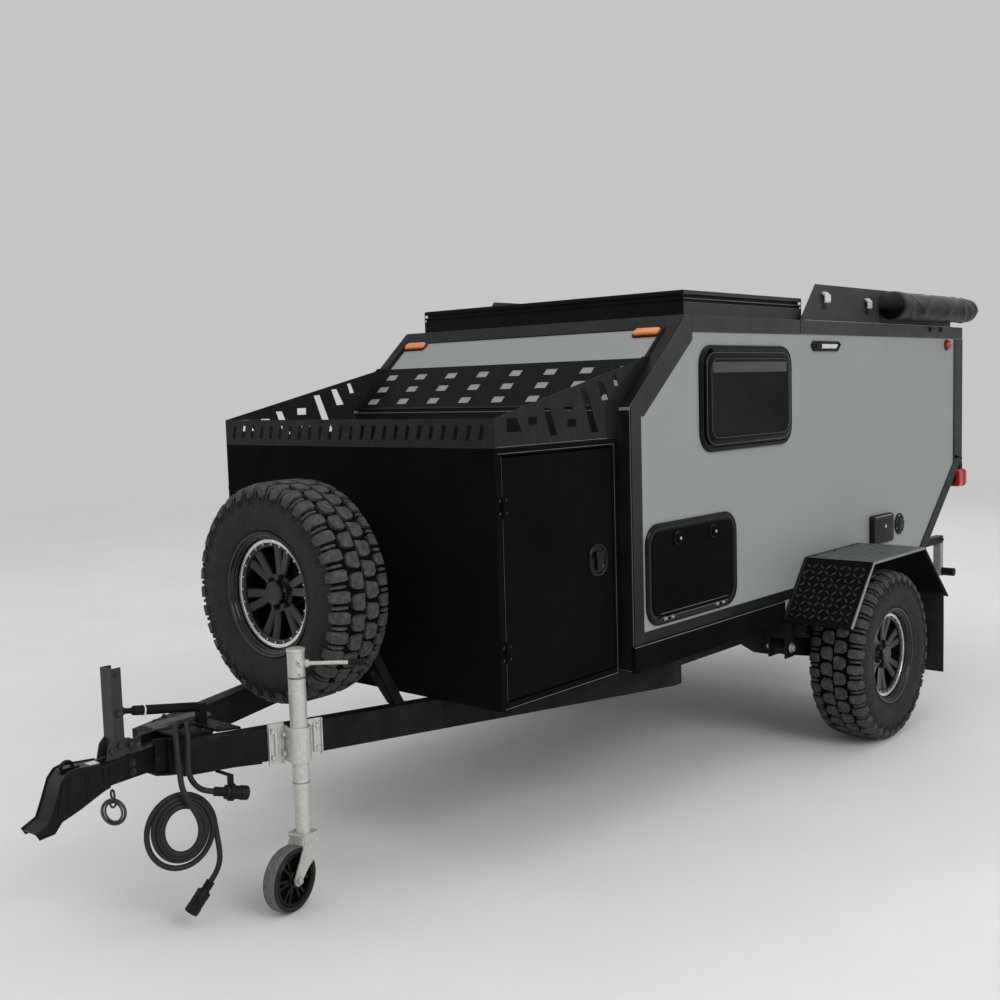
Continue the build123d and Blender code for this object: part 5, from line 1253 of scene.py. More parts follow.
def bag_nose(form, low, centre, radius):
    """The flap that is folded over the roll's front end."""
    rings = []
    for depth, grow in NOSE_STATIONS:
        ring = []
        for j in range(BAG_SIDES):
            angle = tau * j / BAG_SIDES
            corner = 1 - 0.03 * (0.5 - 0.5 * cos(6 * angle + 0.5))
            pucker = 1 + 0.02 * sin(17 * angle) * (1 if grow < 0.95 else 0.2)
            r = min(radius * grow * corner * pucker * 1.075, radius + 0.005)
            ring.append((centre.x + r * cos(angle), low.y + depth, centre.z + r * sin(angle)))
        rings.append(ring)
    form.loft(rings)


# Fenders

FENDER_LINE = mm(443.5, 556, 652.5, 803, 1182.5, 803, 1451.5, 545)
FENDER_OUT = 1.037


def chequer(form, start, end, x_low, x_high):
    """Raised lozenges, alternately turned, on one flat of the fender from start to end (y, z)."""
    a, b = Vector((0, *start)), Vector((0, *end))
    run = (b - a).normalized()
    out = Vector((0, -run.z, run.y))
    length = (b - a).length
    pitch = 0.0305
    rows, columns = int((length - 0.02) / pitch), int((x_high - x_low - 0.02) / pitch)
    for i in range(rows):
        for j in range(columns):
            along = (length - (rows - 1) * pitch) / 2 + i * pitch
            across = (x_low + x_high) / 2 + (j - (columns - 1) / 2) * pitch
            at = a + run * along + Vector((across, 0, 0))
            lean = 1 if (i + j) % 2 else -1
            way = (run + Vector((lean, 0, 0))).normalized()
            side = way.cross(out)
            base = [at + way * 0.0165, at + side * 0.005, at - way * 0.0165, at - side * 0.005]
            top = [at + (p - at) * 0.72 + out * 0.0016 for p in base]
            form.loft([[p - out * 0.0004 for p in base], top])


def fenders():
    for side, sign in SIDES.items():
        form = Form()
        x0, x1 = span(sign, CABIN_HALF, FENDER_OUT - 0.005)
        inner = mm(447, 553.5, 654.5, 799, 1180.5, 799, 1448.5, 542.5)
        form.slab(FENDER_LINE + inner[::-1], "x", x0, x1)
        # Painted sky reflection: the top flat is coloured lighter than the tread plate
        form.mark = 4
        top = [
            (FENDER_LINE[1][0], 0.8025), (FENDER_LINE[2][0], 0.8025), (FENDER_LINE[2][0], 0.8034),
            (FENDER_LINE[1][0], 0.8034),
        ]
        form.slab(top, "x", x0 + 0.001, x1 - 0.001)
        # Lozenges on the slopes take the painted highlight colour, those on the top the painted sky
        # reflection
        for mark, (start, end) in zip((5, 4, 5), zip(FENDER_LINE, FENDER_LINE[1:])):
            form.mark = mark
            chequer(form, start, end, x0 + 0.004, x1 - 0.006)
        form.mark = 1
        x = sign * (FENDER_OUT - 0.0062)
        lip = [(x, y, z) for y, z in mm(449, 558, 655, 797.5, 1179.5, 797.5)]
        form.tube(lip, 0.006, sides=12)
        form.mark = 2
        form.tube([(x, 1.1795, 0.7975), (x, 1.4475, 0.5455)], 0.006, sides=12)
        for start, end in (
            ((0.453, 0.564), (0.647, 0.793)), ((0.668, 0.7985), (1.164, 0.7985)),
            ((1.196, 0.788), (1.438, 0.556)),
        ):
            brace = [(sign * (CABIN_HALF + 0.008), *start), (sign * (CABIN_HALF + 0.008), *end)]
            form.tube(brace, 0.008, sides=8)
        form.mark = 3
        for y, z in ((0.531, 0.6594), (0.601, 0.7421)):
            form.bolt((sign * (CABIN_HALF + 0.02), y, z), (0, -0.76, 0.65), 0.01)
        for y in (0.72, 0.895, 1.07):
            form.bolt((sign * (CABIN_HALF + 0.02), y, 0.803), UP, 0.01)
        show(
            f"fender_{side}", form, "trailer",
            ["tread_plate", "fender_edge", "trim_black", "bolt_black", "fender_top_painted_reflection", "chequer_painted_highlight"],
            ["fenders"], bevel=0.0005, segments=1,
        )
        flap(side, sign)


def flap(side, sign):
    low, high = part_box("mudflaps")
    form = Form()
    rings = []
    for i in range(13):
        z = low.z + (high.z - 0.004 - low.z) * i / 12
        sway = 0.002 * sin(pi * i / 12)
        thick = 0.0028 if i else 0.0038
        mid = (low.y + high.y) / 2 + sway - 0.001
        x0, x1 = sign * 0.739, sign * 1.022
        rings.append([
            (x0, mid - thick, z), (x1, mid - thick, z), (x1, mid + thick, z), (x0, mid + thick, z),
        ])
    form.loft(rings)
    mid = (low.y + high.y) / 2
    for k in range(7):
        x = sign * (0.765 + 0.0385 * k)
        a, b = sorted((x - 0.003, x + 0.003))
        form.box((a, mid - 0.004, low.z + 0.03), (b, mid + 0.004, low.z + 0.24))
    form.mark = 1
    a, b = span(sign, 0.745, 1.016)
    form.box((a, mid - 0.0042, high.z - 0.03), (b, mid + 0.004, high.z - 0.006))
    for k in range(4):
        form.bolt((sign * (0.775 + 0.07 * k), mid - 0.0042, high.z - 0.018), (0, -1, 0), 0.01)
    show(
        f"mudflap_{side}", form, "trailer", ["flap_rubber", "bolt_black"], ["mudflaps"],
        bevel=0.0006, segments=1,
    )


# Lamps and wall fittings

def amber_marker(form, sign):
    """Low amber lens with ribs, on a black foot, on the slanted front."""
    kept = form.place
    turn = Matrix((ACROSS, SLANT_UP, SLANT_OUT)).transposed().to_4x4()
    form.place = Matrix.Translation(on_slant(sign * 0.6, 0.397, 0)) @ turn
    form.mark = 1
    form.loft([
        [(x, y, h) for x, y in rounded(0.0615 - i, 0.0235 - i, 0.016, 5)]
        for h, i in mm(0.5, 0, 5, 0, 6, 1.5)
    ])
    form.mark = 0
    levels = mm(5, 5, 11.5, 5.5, 14.5, 8, 15.5, 12)
    form.loft([[(x, y, h) for x, y in rounded(0.0605 - i, 0.0225 - i, 0.01, 5)] for h, i in levels])
    for k in range(-4, 5):
        form.box((k * 0.011 - 0.0012, -0.013, 0.0145), (k * 0.011 + 0.0012, 0.013, 0.0159))
    form.place = kept


def lamps():
    form = Form()
    for sign in SIDES.values():
        amber_marker(form, sign)
    show(
        "amber_markers_ribbed", form, "trailer", ["amber_lens", "plastic_black"],
        ["amber_markers"], bevel=0.0005,
    )
    form = Form()
    for sign in SIDES.values():
        at = (sign * CABIN_HALF, 2.2165, 1.714)
        form.mark = 1
        form.lathe(mm(28, 0, 28, 4, 25, 6, 22, 6), at, (sign, 0, 0), 40)
        form.mark = 0
        form.lathe(mm(23.5, 4, 23.5, 14, 20.5, 20, 14.5, 24, 7, 25.5, 0, 25.8), at, (sign, 0, 0), 40)
        for k in range(3):
            form.lathe(
                [(0.0236, 0.006 + 0.003 * k), (0.0243, 0.0068 + 0.003 * k), (0.0236, 0.0076 + 0.003 * k)],
                at, (sign, 0, 0), 40,
            )
        form.mark = 2
        for y, z in mm(-7, 7, 7, 7, 0, -9):
            form.screw((at[0] + sign * 0.0232, at[1] + y, at[2] + z), (sign, 0, 0), 0.0055)
    show(
        "red_markers_round", form, "trailer", ["red_lens", "plastic_black", "bright_edge"],
        ["red_markers"], bevel=0.0004,
    )
    tail_lamps()


def grab_lamp(form, sign):
    """Hexagonal black frame with a bright reflector."""
    y, z = 0.848, 1.7
    x = CABIN_HALF
    outline = mm(-135, 0, -118, 21, 118, 21, 135, 8, 108, -22, -112, -22)
    rings = []
    for out, shrink in mm(-1, 0, 8, 0, 11.5, 3, 11.5, 7, 6, 9):
        rings.append([
            (sign * (x + out), y + u * (1 - shrink / 0.13), z + v * (1 - shrink / 0.022))
            for u, v in outline
        ])
    form.mark = 0
    form.loft(rings)
    form.mark = 1
    inner = mm(-40, 8.5, 110, 8.5, 92, -10.5, -44, -10.5)
    form.slab([(y + u, z + v) for u, v in inner], "x", *span(sign, x + 0.004, x + 0.0085))
    form.mark = 2
    x0, x1 = span(sign, x + 0.004, x + 0.0105)
    form.box((x0, y - 0.095, z - 0.011), (x1, y - 0.05, z + 0.009))


def wall_fittings():
    form = Form()
    for sign in SIDES.values():
        grab_lamp(form, sign)
    x = CABIN_HALF
    y, z = 1.3995, 0.846
    form.mark = 0
    levels = [
        (0.1105 - shrink, 0.0685 - shrink, corner, out)
        for out, shrink, corner in mm(-1, 4, 12, 4, 0, 12, 22, 1, 12, 26.2, 4, 10, 27.2, 10, 8, each=3)
    ]
    side_plate(form, 1, x, (y, z), levels, 4)
    form.mark = 1
    for k in range(6):
        start = y - 0.092 + 0.031 * k
        form.box((x + 0.024, start, z + 0.06), (x + 0.0276, start + 0.021, z + 0.0628))
    form.mark = 3
    form.box((x + 0.0262, y - 0.098, z + 0.052), (x + 0.0276, y + 0.098, z + 0.0532))
    form.mark = 1
    form.slab(
        [(y + 0.006, z + 0.004), (y + 0.026, z + 0.006), (y + 0.016, z + 0.024)], "x", x + 0.0262,
        x + 0.0277,
    )
    socket(form)
    show(
        "wall_fittings_detailed", form, "trailer",
        ["plastic_black", "buckle_bright", "seal_rubber", "line_dark"], ["wall_fittings"], bevel=0.0006,
    )


def socket(form):
    """Round socket with a hinged cap beside the inlet."""
    y = 1.6245
    at = (CABIN_HALF, y, 0.846)
    form.mark = 0
    form.lathe(mm(52, 0, 52, 5, 48, 8.5, 41, 8.5, 38, 5), at, ACROSS, 48)
    form.lathe(mm(34.5, 2, 34.5, 8.5, 30, 11.2, 0, 11.6), at, ACROSS, 40)
    form.mark = 3
    form.lathe(mm(39.5, 7.5, 40.5, 9.5, 41.5, 7.5), at, ACROSS, 48)
    form.mark = 1
    for k in range(4):
        angle = tau * k / 4 + 0.4
        form.screw(
            (CABIN_HALF + 0.0082, y + 0.0455 * cos(angle), 0.846 + 0.0455 * sin(angle)), ACROSS, 0.006,
        )


# Jockey wheel

BEAM_TURN = radians(18.778)
BEAM_ALONG = Vector((sin(BEAM_TURN), cos(BEAM_TURN), 0))
BEAM_OUT = Vector((cos(BEAM_TURN), -sin(BEAM_TURN), 0))


def middle(node):
    low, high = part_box(node)
    return (low + high) / 2


def jack_frame():
    """Places things round the jack's tube: X along the beam, Y away from it, Z up from the ground."""
    at = middle("jack_outer_tube")
    turn = Matrix((BEAM_ALONG, BEAM_OUT, UP)).transposed().to_4x4()
    return Matrix.Translation((at.x, at.y, 0)) @ turn


def tube_radius():
    low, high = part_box("jack_outer_tube")
    return (high.x - low.x) / 2


def jack_tube():
    low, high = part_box("jack_outer_tube")
    at = middle("jack_outer_tube")
    radius = tube_radius() - 0.0003
    form = Form()
    form.lathe(
        [
            (radius - 0.003, low.z), (radius, low.z), (radius, high.z - 0.01),
            (radius + 0.0022, high.z - 0.009), (radius + 0.0022, high.z - 0.002), (radius - 0.001, high.z),
            (0, high.z),
        ],
        (at.x, at.y, 0), UP, 64,
    )
    form.lathe(
        [(radius - 0.003, low.z), (radius - 0.0032, low.z + 0.02), (0.0, low.z + 0.02)], (at.x, at.y, 0),
        UP, 64,
    )
    form.mark = 1
    crank_at = middle("jack_crank").z
    facing = Vector((cos(radians(-12)), sin(radians(-12)), 0))
    for z, size in ((crank_at + 0.004, 0.016), (crank_at - 0.03, 0.011)):
        form.bolt(tuple(Vector((at.x, at.y, z)) + facing * (radius - 0.002)), facing, size)
    form.mark = 2
    band = [
        (radius + 0.0004, low.z + 0.02), (radius + 0.0012, low.z + 0.021), (radius + 0.0012, low.z + 0.023),
        (radius + 0.0004, low.z + 0.024),
    ]
    form.lathe(band, (at.x, at.y, 0), UP, 64, ring=True)
    band = [
        (radius + 0.0003, high.z - 0.092), (radius + 0.0016, high.z - 0.091),
        (radius + 0.0016, high.z - 0.086), (radius + 0.0003, high.z - 0.085),
    ]
    form.lathe(band, (at.x, at.y, 0), UP, 64, ring=True)
    show(
        "jack_tube_galvanised", form, "trailer", ["galvanised", "bolt_zinc", "grey_line_and_painted_highlight"],
        ["jack_outer_tube"], bevel=0.0008,
    )


def jack_clamp():
    """Two channelled plates with holes, a split collar and its pinch bolts."""
    low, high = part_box("jack_clamp")
    form = Form()
    form.place = jack_frame()
    radius = tube_radius()
    face = -0.041
    half, z0, z1 = 0.0875, low.z + 0.0005, high.z - 0.0005
    slots = [(-0.074, 0.51), (-0.074, 0.48)]
    channel(form, -half, -radius - 0.01, z0, z1, face, slots)
    channel(form, radius + 0.01, half, z0 + 0.006, z1 - 0.004, face, [])
    collar = []
    for i in range(-100, 101, 10):
        angle = radians(i) + pi / 2
        collar.append((cos(angle), sin(angle)))
    outer, inner = radius + 0.0086, radius + 0.0002
    outline = [(x * outer, y * outer) for x, y in collar] + [
        (x * inner, y * inner) for x, y in reversed(collar)
    ]
    form.slab(outline, "z", z0 + 0.01, z1 - 0.01)
    for x in (-1, 1):
        form.box(
            (min(x * inner, x * outer), face, z0 + 0.01), (max(x * inner, x * outer), 0.002, z1 - 0.01),
        )
    form.mark = 1
    for z in (z0 + 0.034, z1 - 0.034):
        for x in (-1, 1):
            form.bolt((x * (outer + 0.001), face + 0.02, z), (x, 0, 0), 0.017)
    for x, z in ((-0.072, z1 - 0.022), (-0.072, z0 + 0.022), (0.072, z1 - 0.026), (0.072, z0 + 0.03)):
        form.bolt((x, face + 0.0052, z), ALONG, 0.016)
    show(
        "jack_clamp_channels", form, "trailer", ["galvanised", "bolt_zinc"], ["jack_clamp"],
        bevel=0.0008,
    )


def channel(form, left, right, z0, z1, face, slots):
    """A plate with its rims folded outwards and a pressed rib; slots are (x, z) of oblong holes."""
    deep, thin = 0.016, 0.005
    section = [
        (left, 0), (right, 0), (right, deep * 0.7), (right - 0.004, deep * 0.7), (right - 0.004, thin),
        (left + 0.004, thin), (left + 0.004, deep), (left, deep),
    ]
    form.slab([(x, face + y) for x, y in section], "z", z0, z1)
    mid = (left + right) / 2
    rib = [
        (mid - 0.008, thin - 0.001), (mid + 0.008, thin - 0.001), (mid + 0.004, thin + 0.006),
        (mid - 0.004, thin + 0.006),
    ]
    form.slab([(x, face + y) for x, y in rib], "z", z0 + 0.014, z1 - 0.014)
    kept = form.mark
    form.mark = 1
    for x, z in slots:
        form.lathe(
            [
                (0.0085, thin - 0.0005), (0.0085, thin + 0.0016), (0.0055, thin + 0.0016),
                (0.0055, thin - 0.0005),
            ],
            (x, face, z), ALONG, 20, ring=True,
        )
    form.mark = kept


def jack_crank():
    """Thin bent rod with a hub, a stop and a dark knob."""
    at = middle("jack_outer_tube")
    z = middle("jack_crank").z
    way = Vector((cos(radians(40)), sin(radians(40)), 0))
    radius = tube_radius()
    start = Vector((at.x, at.y, z)) + way * radius
    form = Form()
    form.lathe(mm(12, 0.3, 12, 10, 9, 13, 6.5, 13, 6.2, 20, 5.8, 132, 0, 132), tuple(start), tuple(way), 24)
    form.mark = 1
    knob = start + way * 0.132
    form.lathe(
        mm(0, 0, 7.5, 0, 10, 4, 11, 14, 10.5, 34, 11.2, 46, 10, 56.5, 7, 59.8, 0, 60), tuple(knob),
        tuple(way), 32,
    )
    form.mark = 2
    form.lathe(mm(5.5, 58.5, 5.5, 60.3, 0, 60.3), tuple(knob), tuple(way), 16)
    show(
        "jack_crank_knobbed", form, "trailer", ["galvanised", "plastic_black", "bolt_zinc"],
        ["jack_crank"], bevel=0.0005,
    )


JACK_TURN = radians(10)
JACK_TRAIL = -0.072
JACK_HUB_Z = 0.1


def fork_frame():
    """Places things about the fork: X along its axle, Y behind it, origin on the ground below the tube."""
    at = middle("jack_inner_tube")
    axle = Vector((cos(JACK_TURN), sin(JACK_TURN), 0))
    trail = Vector((-sin(JACK_TURN), cos(JACK_TURN), 0))
    turn = Matrix((axle, trail, UP)).transposed().to_4x4()
    return Matrix.Translation((at.x, at.y, 0)) @ turn


def jack_fork():
    """Pressed fork: two legs that narrow towards the axle, folded from one crown plate."""
    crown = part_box("jack_fork")[1].z
    hub_z, trail, inner = JACK_HUB_Z, JACK_TRAIL, 0.03
    form = Form()
    form.place = fork_frame()
    leg = [
        (trail - 0.0155, hub_z + 0.004), (trail - 0.014, hub_z - 0.008), (trail - 0.006, hub_z - 0.015),
        (trail + 0.006, hub_z - 0.0152), (trail + 0.013, hub_z - 0.01), (-0.02, 0.128), (0.018, 0.15),
        (0.0255, 0.16), (0.0295, crown - 0.006), (0.027, crown - 0.0005), (-0.031, crown - 0.0005),
        (-0.0335, crown - 0.006), (-0.0345, crown - 0.022),
    ]
    for sign in (1, -1):
        form.slab(leg, "x", *span(sign, inner, inner + 0.0055))
        rib = [
            (trail - 0.001, hub_z + 0.02), (-0.016, crown - 0.026), (-0.002, crown - 0.026),
            (trail + 0.009, hub_z + 0.014),
        ]
        form.slab(rib, "x", *span(sign, inner + 0.0055, inner + 0.007))
    form.slab(
        [
            (-0.033, crown - 0.0078), (0.029, crown - 0.0078), (0.029, crown - 0.0003),
            (-0.033, crown - 0.0003),
        ],
        "x", -inner - 0.005, inner + 0.005,
    )
    form.mark = 1
    for sign in (1, -1):
        form.bolt((sign * (inner + 0.0055), trail, hub_z), (sign, 0, 0), 0.019)
    form.mark = 0
    form.lathe([(0.0078, -0.042), (0.0078, 0.042)], (0, trail, hub_z), ACROSS, 24)
    show(
        "jack_fork_pressed", form, "jack_fork", ["galvanised", "bolt_zinc"], ["jack_fork"],
        bevel=0.0008,
    )


def jack_wheel():
    """Solid tyre with a pale worn tread, on a black hub with six double spokes."""
    place = fork_frame() @ Matrix.Translation((0, JACK_TRAIL, JACK_HUB_Z))
    form = Form()
    form.place = place
    form.mark = 1
    half, r = 0.0248, 0.0998
    wall = [
        (0.0775, -0.01), (0.08, -half + 0.004), (0.0815, -half + 0.0005), (0.09, -half),
        (0.095, -half + 0.003),
    ]
    crown = [(0.0985, -half + 0.0085), (r - 0.0003, -0.012)]
    side = wall + [(p - 0.0003, q) for p, q in crown]
    form.lathe(side + [(p, -q) for p, q in reversed(side)], axis=ACROSS, sides=80, ring=True)
    form.mark = 0
    band = [(0.0935, -half + 0.0045), (0.0954, -half + 0.003)] + crown
    form.lathe(band + [(p, -q) for p, q in reversed(band)], axis=ACROSS, sides=96, ring=True)
    show(
        "jack_tyre_solid", form, "jack_wheel", ["jack_tread", "tyre_side"], ["jack_tyre"],
        bevel=0.0004,
    )
    form = Form()
    form.place = place
    form.lathe(
        [
            (0.0798, -half + 0.005), (0.0798, half - 0.005), (0.076, half - 0.002), (0.0705, half - 0.003),
            (0.069, 0.01), (0.069, -0.01), (0.0705, -half + 0.003), (0.076, -half + 0.002),
        ],
        axis=ACROSS, sides=72, ring=True,
    )
    form.lathe(
        [
            (0.009, -half + 0.001), (0.0225, -half + 0.001), (0.025, -half + 0.004), (0.025, half - 0.004),
            (0.0225, half - 0.001), (0.009, half - 0.001),
        ],
        axis=ACROSS, sides=48, ring=True,
    )
    for i in range(6):
        for lean in (-0.17, 0.17):
            angle = tau * i / 6 + lean
            root, tip = 0.023, 0.0715
            out = Vector((0, cos(angle), sin(angle)))
            side = Vector((0, -sin(angle), cos(angle)))
            rings = []
            for reach, wide, deep in ((root, 0.0052, 0.019), (0.048, 0.004, 0.015), (tip, 0.005, 0.017)):
                rings.append([
                    out * reach + side * a + Vector((b, 0, 0))
                    for a, b in ((-wide, -deep), (wide, -deep), (wide, deep), (-wide, deep))
                ])
            form.loft(rings)
    # The web behind the spokes is darkened as painted shade
    form.mark = 1
    web = mm(70, -3, 24, -3, 24, 3, 70, 3)
    form.lathe(web, axis=ACROSS, sides=48, ring=True)
    show(
        "jack_hub_spoked", form, "jack_wheel", ["plastic_gloss", "recess_painted_shade"],
        ["jack_hub"], bevel=0.0006,
    )


# Drawbar

def coupler():
    """Cast coupling head: a flared hood with ribbed cheeks, a release loop and bolts through its shank."""
    form = Form()
    rims = mm(
        -1206, 362, -1217, 379, -1173, 400, -1152, 450, -1132, 502, -1112, 524, -1090, 529, -986, 519.5,
        -986, 449, -1003, 446.5, -1081, 413, -1139, 393, -1162, 366,
    )
    web = mm(-1120, 418, -1112, 496, -1098, 512, -1058, 508, -1058, 438, -1088, 424)
    pad = mm(-1048, 508, -1048, 446, -1006, 466, -1006, 506)
    for sign in SIDES.values():
        form.slab(from_front(rims), "x", *span(sign, 0.0345, 0.0395))
        x = sign * 0.0396
        form.tube([(x, y, z) for y, z in from_front(rims)], 0.0028, closed=True, sides=8)
        for outline in (web, pad):
            form.tube([(x, y, z) for y, z in from_front(outline)], 0.002, closed=True, sides=8)
        cheek = mm(-1152, 405, -1131, 494, -1124, 494, -1142, 405)
        form.slab(from_front(cheek), "x", *span(sign, 0.039, 0.042))
    coupler_hood(form)
    shank = mm(-1010, 517.5, -690, 548, -690, 458, -860, 458, -975, 452, -1010, 445)
    form.slab(from_front(shank), "x", -0.0338, 0.0338)
    form.slab(from_front(mm(-1003, 515, -985, 519.5, -985, 448, -1003, 445)), "x", -0.0405, 0.0405)
    form.tube(arc((0, -1.094 + BOX_FRONT, 0.5275), 0.0185, -8, 188, 18), 0.0052, sides=12)
    form.box((-0.012, -1.12 + BOX_FRONT, 0.517), (0.012, -1.06 + BOX_FRONT, 0.5305))
    form.mark = 1
    for y, z in mm(-905, 500, -905, 474, -820, 490):
        for sign in SIDES.values():
            form.bolt((sign * 0.0338, y + BOX_FRONT, z), (sign, 0, 0), 0.013)
    form.mark = 2
    clip = mm(-15.5, -1045, 15.5, -1045, 15.5, -1000, -15.5, -1000)
    form.slab([(x, y + BOX_FRONT) for x, y in clip], "z", 0.5185, 0.5225)
    show(
        "coupler_cast", form, "trailer", ["coupler_black", "bolt_black", "buckle_bright"],
        ["coupler"], bevel=0.0012,
    )


def coupler_hood(form):
    """Hood between the rims: its front flares out to the lip and its underside is open for the ball."""
    stations = mm(
        -1215, 377, 34, 4, -1195, 388, 36, 6, -1172, 398.5, 36.5, 8, -1151, 449, 36, 9,
        -1131, 501, 35.5, 10, -1111, 522.5, 35.5, 10, -1088, 527.5, 35.5, 10, -985, 518.5, 35.5, 10, each=4,
    )
    rings = []
    for i, (y, z, half, thick) in enumerate(stations):
        ahead, behind = stations[max(i - 1, 0)], stations[min(i + 1, len(stations) - 1)]
        run = Vector((0, behind[0] - ahead[0], behind[1] - ahead[1])).normalized()
        inward = Vector((0, run.z, -run.y)) * thick
        top = Vector((0, y + BOX_FRONT, z))
        rings.append([
            top + Vector((-half, 0, 0)), top + Vector((half, 0, 0)), top + inward + Vector((half, 0, 0)),
            top + inward + Vector((-half, 0, 0)),
        ])
    form.loft(rings)
    form.lathe(
        mm(34.5, 0, 34.5, 62, 30, 66, 26.2, 66, 25.8, 0), (0, -1.11 + BOX_FRONT, 0.402), UP, 40, ring=True,
    )


def tongue():
    """Folded hood along the far beam, cross straps, floor plate and skirts where the beams meet."""
    low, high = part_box("tongue_plates")
    form = Form()
    y0, y1 = low.y, high.y
    cover = (0.5505, 0.5578)
    floor = [
        (-0.04, y0 + 0.006), (0.04, y0 + 0.006), (0.068, y0 + 0.034), (0.205, y1), (-0.205, y1),
        (-0.068, y0 + 0.034),
    ]
    form.slab(floor, "z", 0.4425, 0.4495)
    far = [
        (-0.036, y0), (-0.036, y1), (-0.2105, y1), (-0.076, y0 + 0.045), (-0.07, y0 + 0.03),
        (-0.05, y0 + 0.01),
    ]
    form.slab(far, "z", *cover)
    for start, end, reach in ((-2.06, -1.96, 0.112), (-1.945, -1.88, 0.15)):
        form.slab([(-0.04, start), (reach - 0.03, start), (reach, end), (-0.04, end)], "z", *cover)
    for sign in SIDES.values():
        skirt = [(sign * 0.03, y0 + 0.004), (sign * 0.068, y0 + 0.034)]
        for x, y in skirt:
            form.loft([
                [(a, b, 0.552), (a * 0.93, b + 0.006, 0.552), (a * 0.93, b + 0.006, 0.448), (a, b, 0.448)]
                for a, b in ((x, y), (sign * 0.1155, y0 + 0.15))
            ])
    form.mark = 1
    hood = mm(-102, 557, -94, 565.5, -45, 565.5, -34, 556, -34, 470, -39, 470, -39, 550, -102, 550)
    slope = 0.045
    form.loft([
        [(x, y0 + 0.004 + slope * (0.5655 - z) * -0.9 / 0.0955 + slope, z) for x, z in hood],
        [(x, y1 - 0.006, z) for x, z in hood],
    ])
    form.mark = 2
    form.loft([
        [(-0.0345, y, 0.5575), (-0.034, y, 0.559), (-0.0445, y, 0.5668), (-0.0455, y, 0.5655)]
        for y in (y0 + 0.052, y1 - 0.008)
    ])
    form.mark = 3
    for k in range(3):
        form.bolt((-0.12 - 0.03 * k, y0 + 0.11 + 0.055 * k, cover[1]), UP, 0.011)
    for x, y in mm(70, -2035, 90, -1975, 95, -1925):
        form.bolt((x, y, cover[1]), UP, 0.01)
    show(
        "tongue_cover", form, "trailer",
        ["frame_black", "coupler_black", "line_dark", "bolt_black"], ["tongue_plates"], bevel=0.0012,
    )


def handbrake():
    """Channel post on its pivot bracket, pulled by a gas strut with a white tie round it."""
    low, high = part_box("handbrake_lever")
    form = Form()
    front, back = -0.957 + BOX_FRONT, -0.923 + BOX_FRONT
    half, sheet = 0.0278, 0.0048
    web = [
        (-half, front), (half, front), (half, back), (half - sheet, back), (half - sheet, front + sheet),
        (-half + sheet, front + sheet), (-half + sheet, back), (-half, back),
    ]
    form.slab(web, "z", low.z + 0.001, high.z - 0.0005)
    form.mark = 1
    form.bolt((half, front + 0.016, high.z - 0.022), ACROSS, 0.011, washer=False)
    for z in (0.655, 0.56):
        form.bolt((half, -0.94 + BOX_FRONT, z), ACROSS, 0.017)
    form.mark = 0
    strut_start = Vector((0, -0.938 + BOX_FRONT, 0.655))
    strut_end = Vector((0, -0.64 + BOX_FRONT, 0.605))
    way = (strut_end - strut_start).normalized()
    reach = (strut_end - strut_start).length
    form.mark = 2
    form.lathe(
        [
            (0.0, 0.0), (0.0125, 0.0), (0.0125, 0.032), (0.0085, 0.034), (0.0085, 0.062), (0.0138, 0.064),
            (0.0146, 0.07), (0.0146, reach - 0.02), (0.0125, reach - 0.012), (0.009, reach - 0.01),
            (0.009, reach), (0, reach),
        ],
        tuple(strut_start), tuple(way), 28,
    )
    form.mark = 3
    tie = strut_start + way * 0.098
    form.lathe(mm(15, -2.5, 16.2, -2.2, 16.2, 2.2, 15, 2.5), tuple(tie), tuple(way), 28, ring=True)
    form.box(tuple(tie + Vector((0.012, -0.0022, -0.028))), tuple(tie + Vector((0.0142, 0.0022, -0.002))))
    handbrake_bracket(form)
    show(
        "handbrake_assembly", form, "trailer",
        ["lever_dark", "bolt_black", "frame_black", "tie_white"], ["handbrake_lever"], bevel=0.0008,
    )


def handbrake_bracket(form):
    """Post at the strut's far end, and the cheeks, clevis and cable end at the lever's foot."""
    form.mark = 2
    foot_y = -0.64 + BOX_FRONT
    form.box((-0.0135, foot_y - 0.0135, 0.5582), (0.0135, foot_y + 0.012, 0.618))
    form.mark = 0
    for sign in SIDES.values():
        cheek = mm(-985, 521.5, -975, 565, -955, 585, -905, 575, -880, 545, -875, 532)
        form.slab(from_front(cheek), "x", *span(sign, 0.023, 0.0277))
    form.mark = 1
    form.bolt((0.0277, -0.905 + BOX_FRONT, 0.556), ACROSS, 0.019)
    form.bolt((0.0277, -0.968 + BOX_FRONT, 0.548), ACROSS, 0.014)
    cable = mm(12, -900, 560, 14, -860, 572, 16, -810, 574, 18, -760, 567, each=3)
    form.tube([(x, y + BOX_FRONT, z) for x, y, z in cable], 0.0035, sides=8)
    form.lathe(mm(7, 0, 7, 22, 4.5, 25, 4.5, 34), (0.012, -0.925 + BOX_FRONT, 0.556), (0, 1, 0.15), 14)


def chain():
    """Two links and two rings that hang below the shank."""
    form = Form()
    y = -0.956 + BOX_FRONT
    node_low, node_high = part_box("safety_chain")
    top = node_high.z
    for k in range(2):
        centre = Vector((0, y, top - 0.0145 - 0.025 * k))
        ring = []
        for i in range(24):
            angle = tau * i / 24
            long, short = 0.0132 * sin(angle), 0.0095 * cos(angle)
            ring.append(centre + (Vector((0, short, long)) if k else Vector((short, 0, long))))
        form.tube(ring, 0.0034, closed=True, sides=10)
    centre = Vector((0, y, node_low.z + 0.0405))
    for radius, wire, turn in ((0.0365, 0.0046, 0.55), (0.029, 0.0032, 0.4)):
        ring = [
            centre + Vector((
                radius * cos(tau * i / 40) * cos(turn), radius * cos(tau * i / 40) * sin(turn),
                radius * sin(tau * i / 40),
            ))
            for i in range(40)
        ]
        form.tube(ring, wire, closed=True, sides=12)
    show("chain_and_ring", form, "trailer", ["chain_dark"], ["safety_chain"])


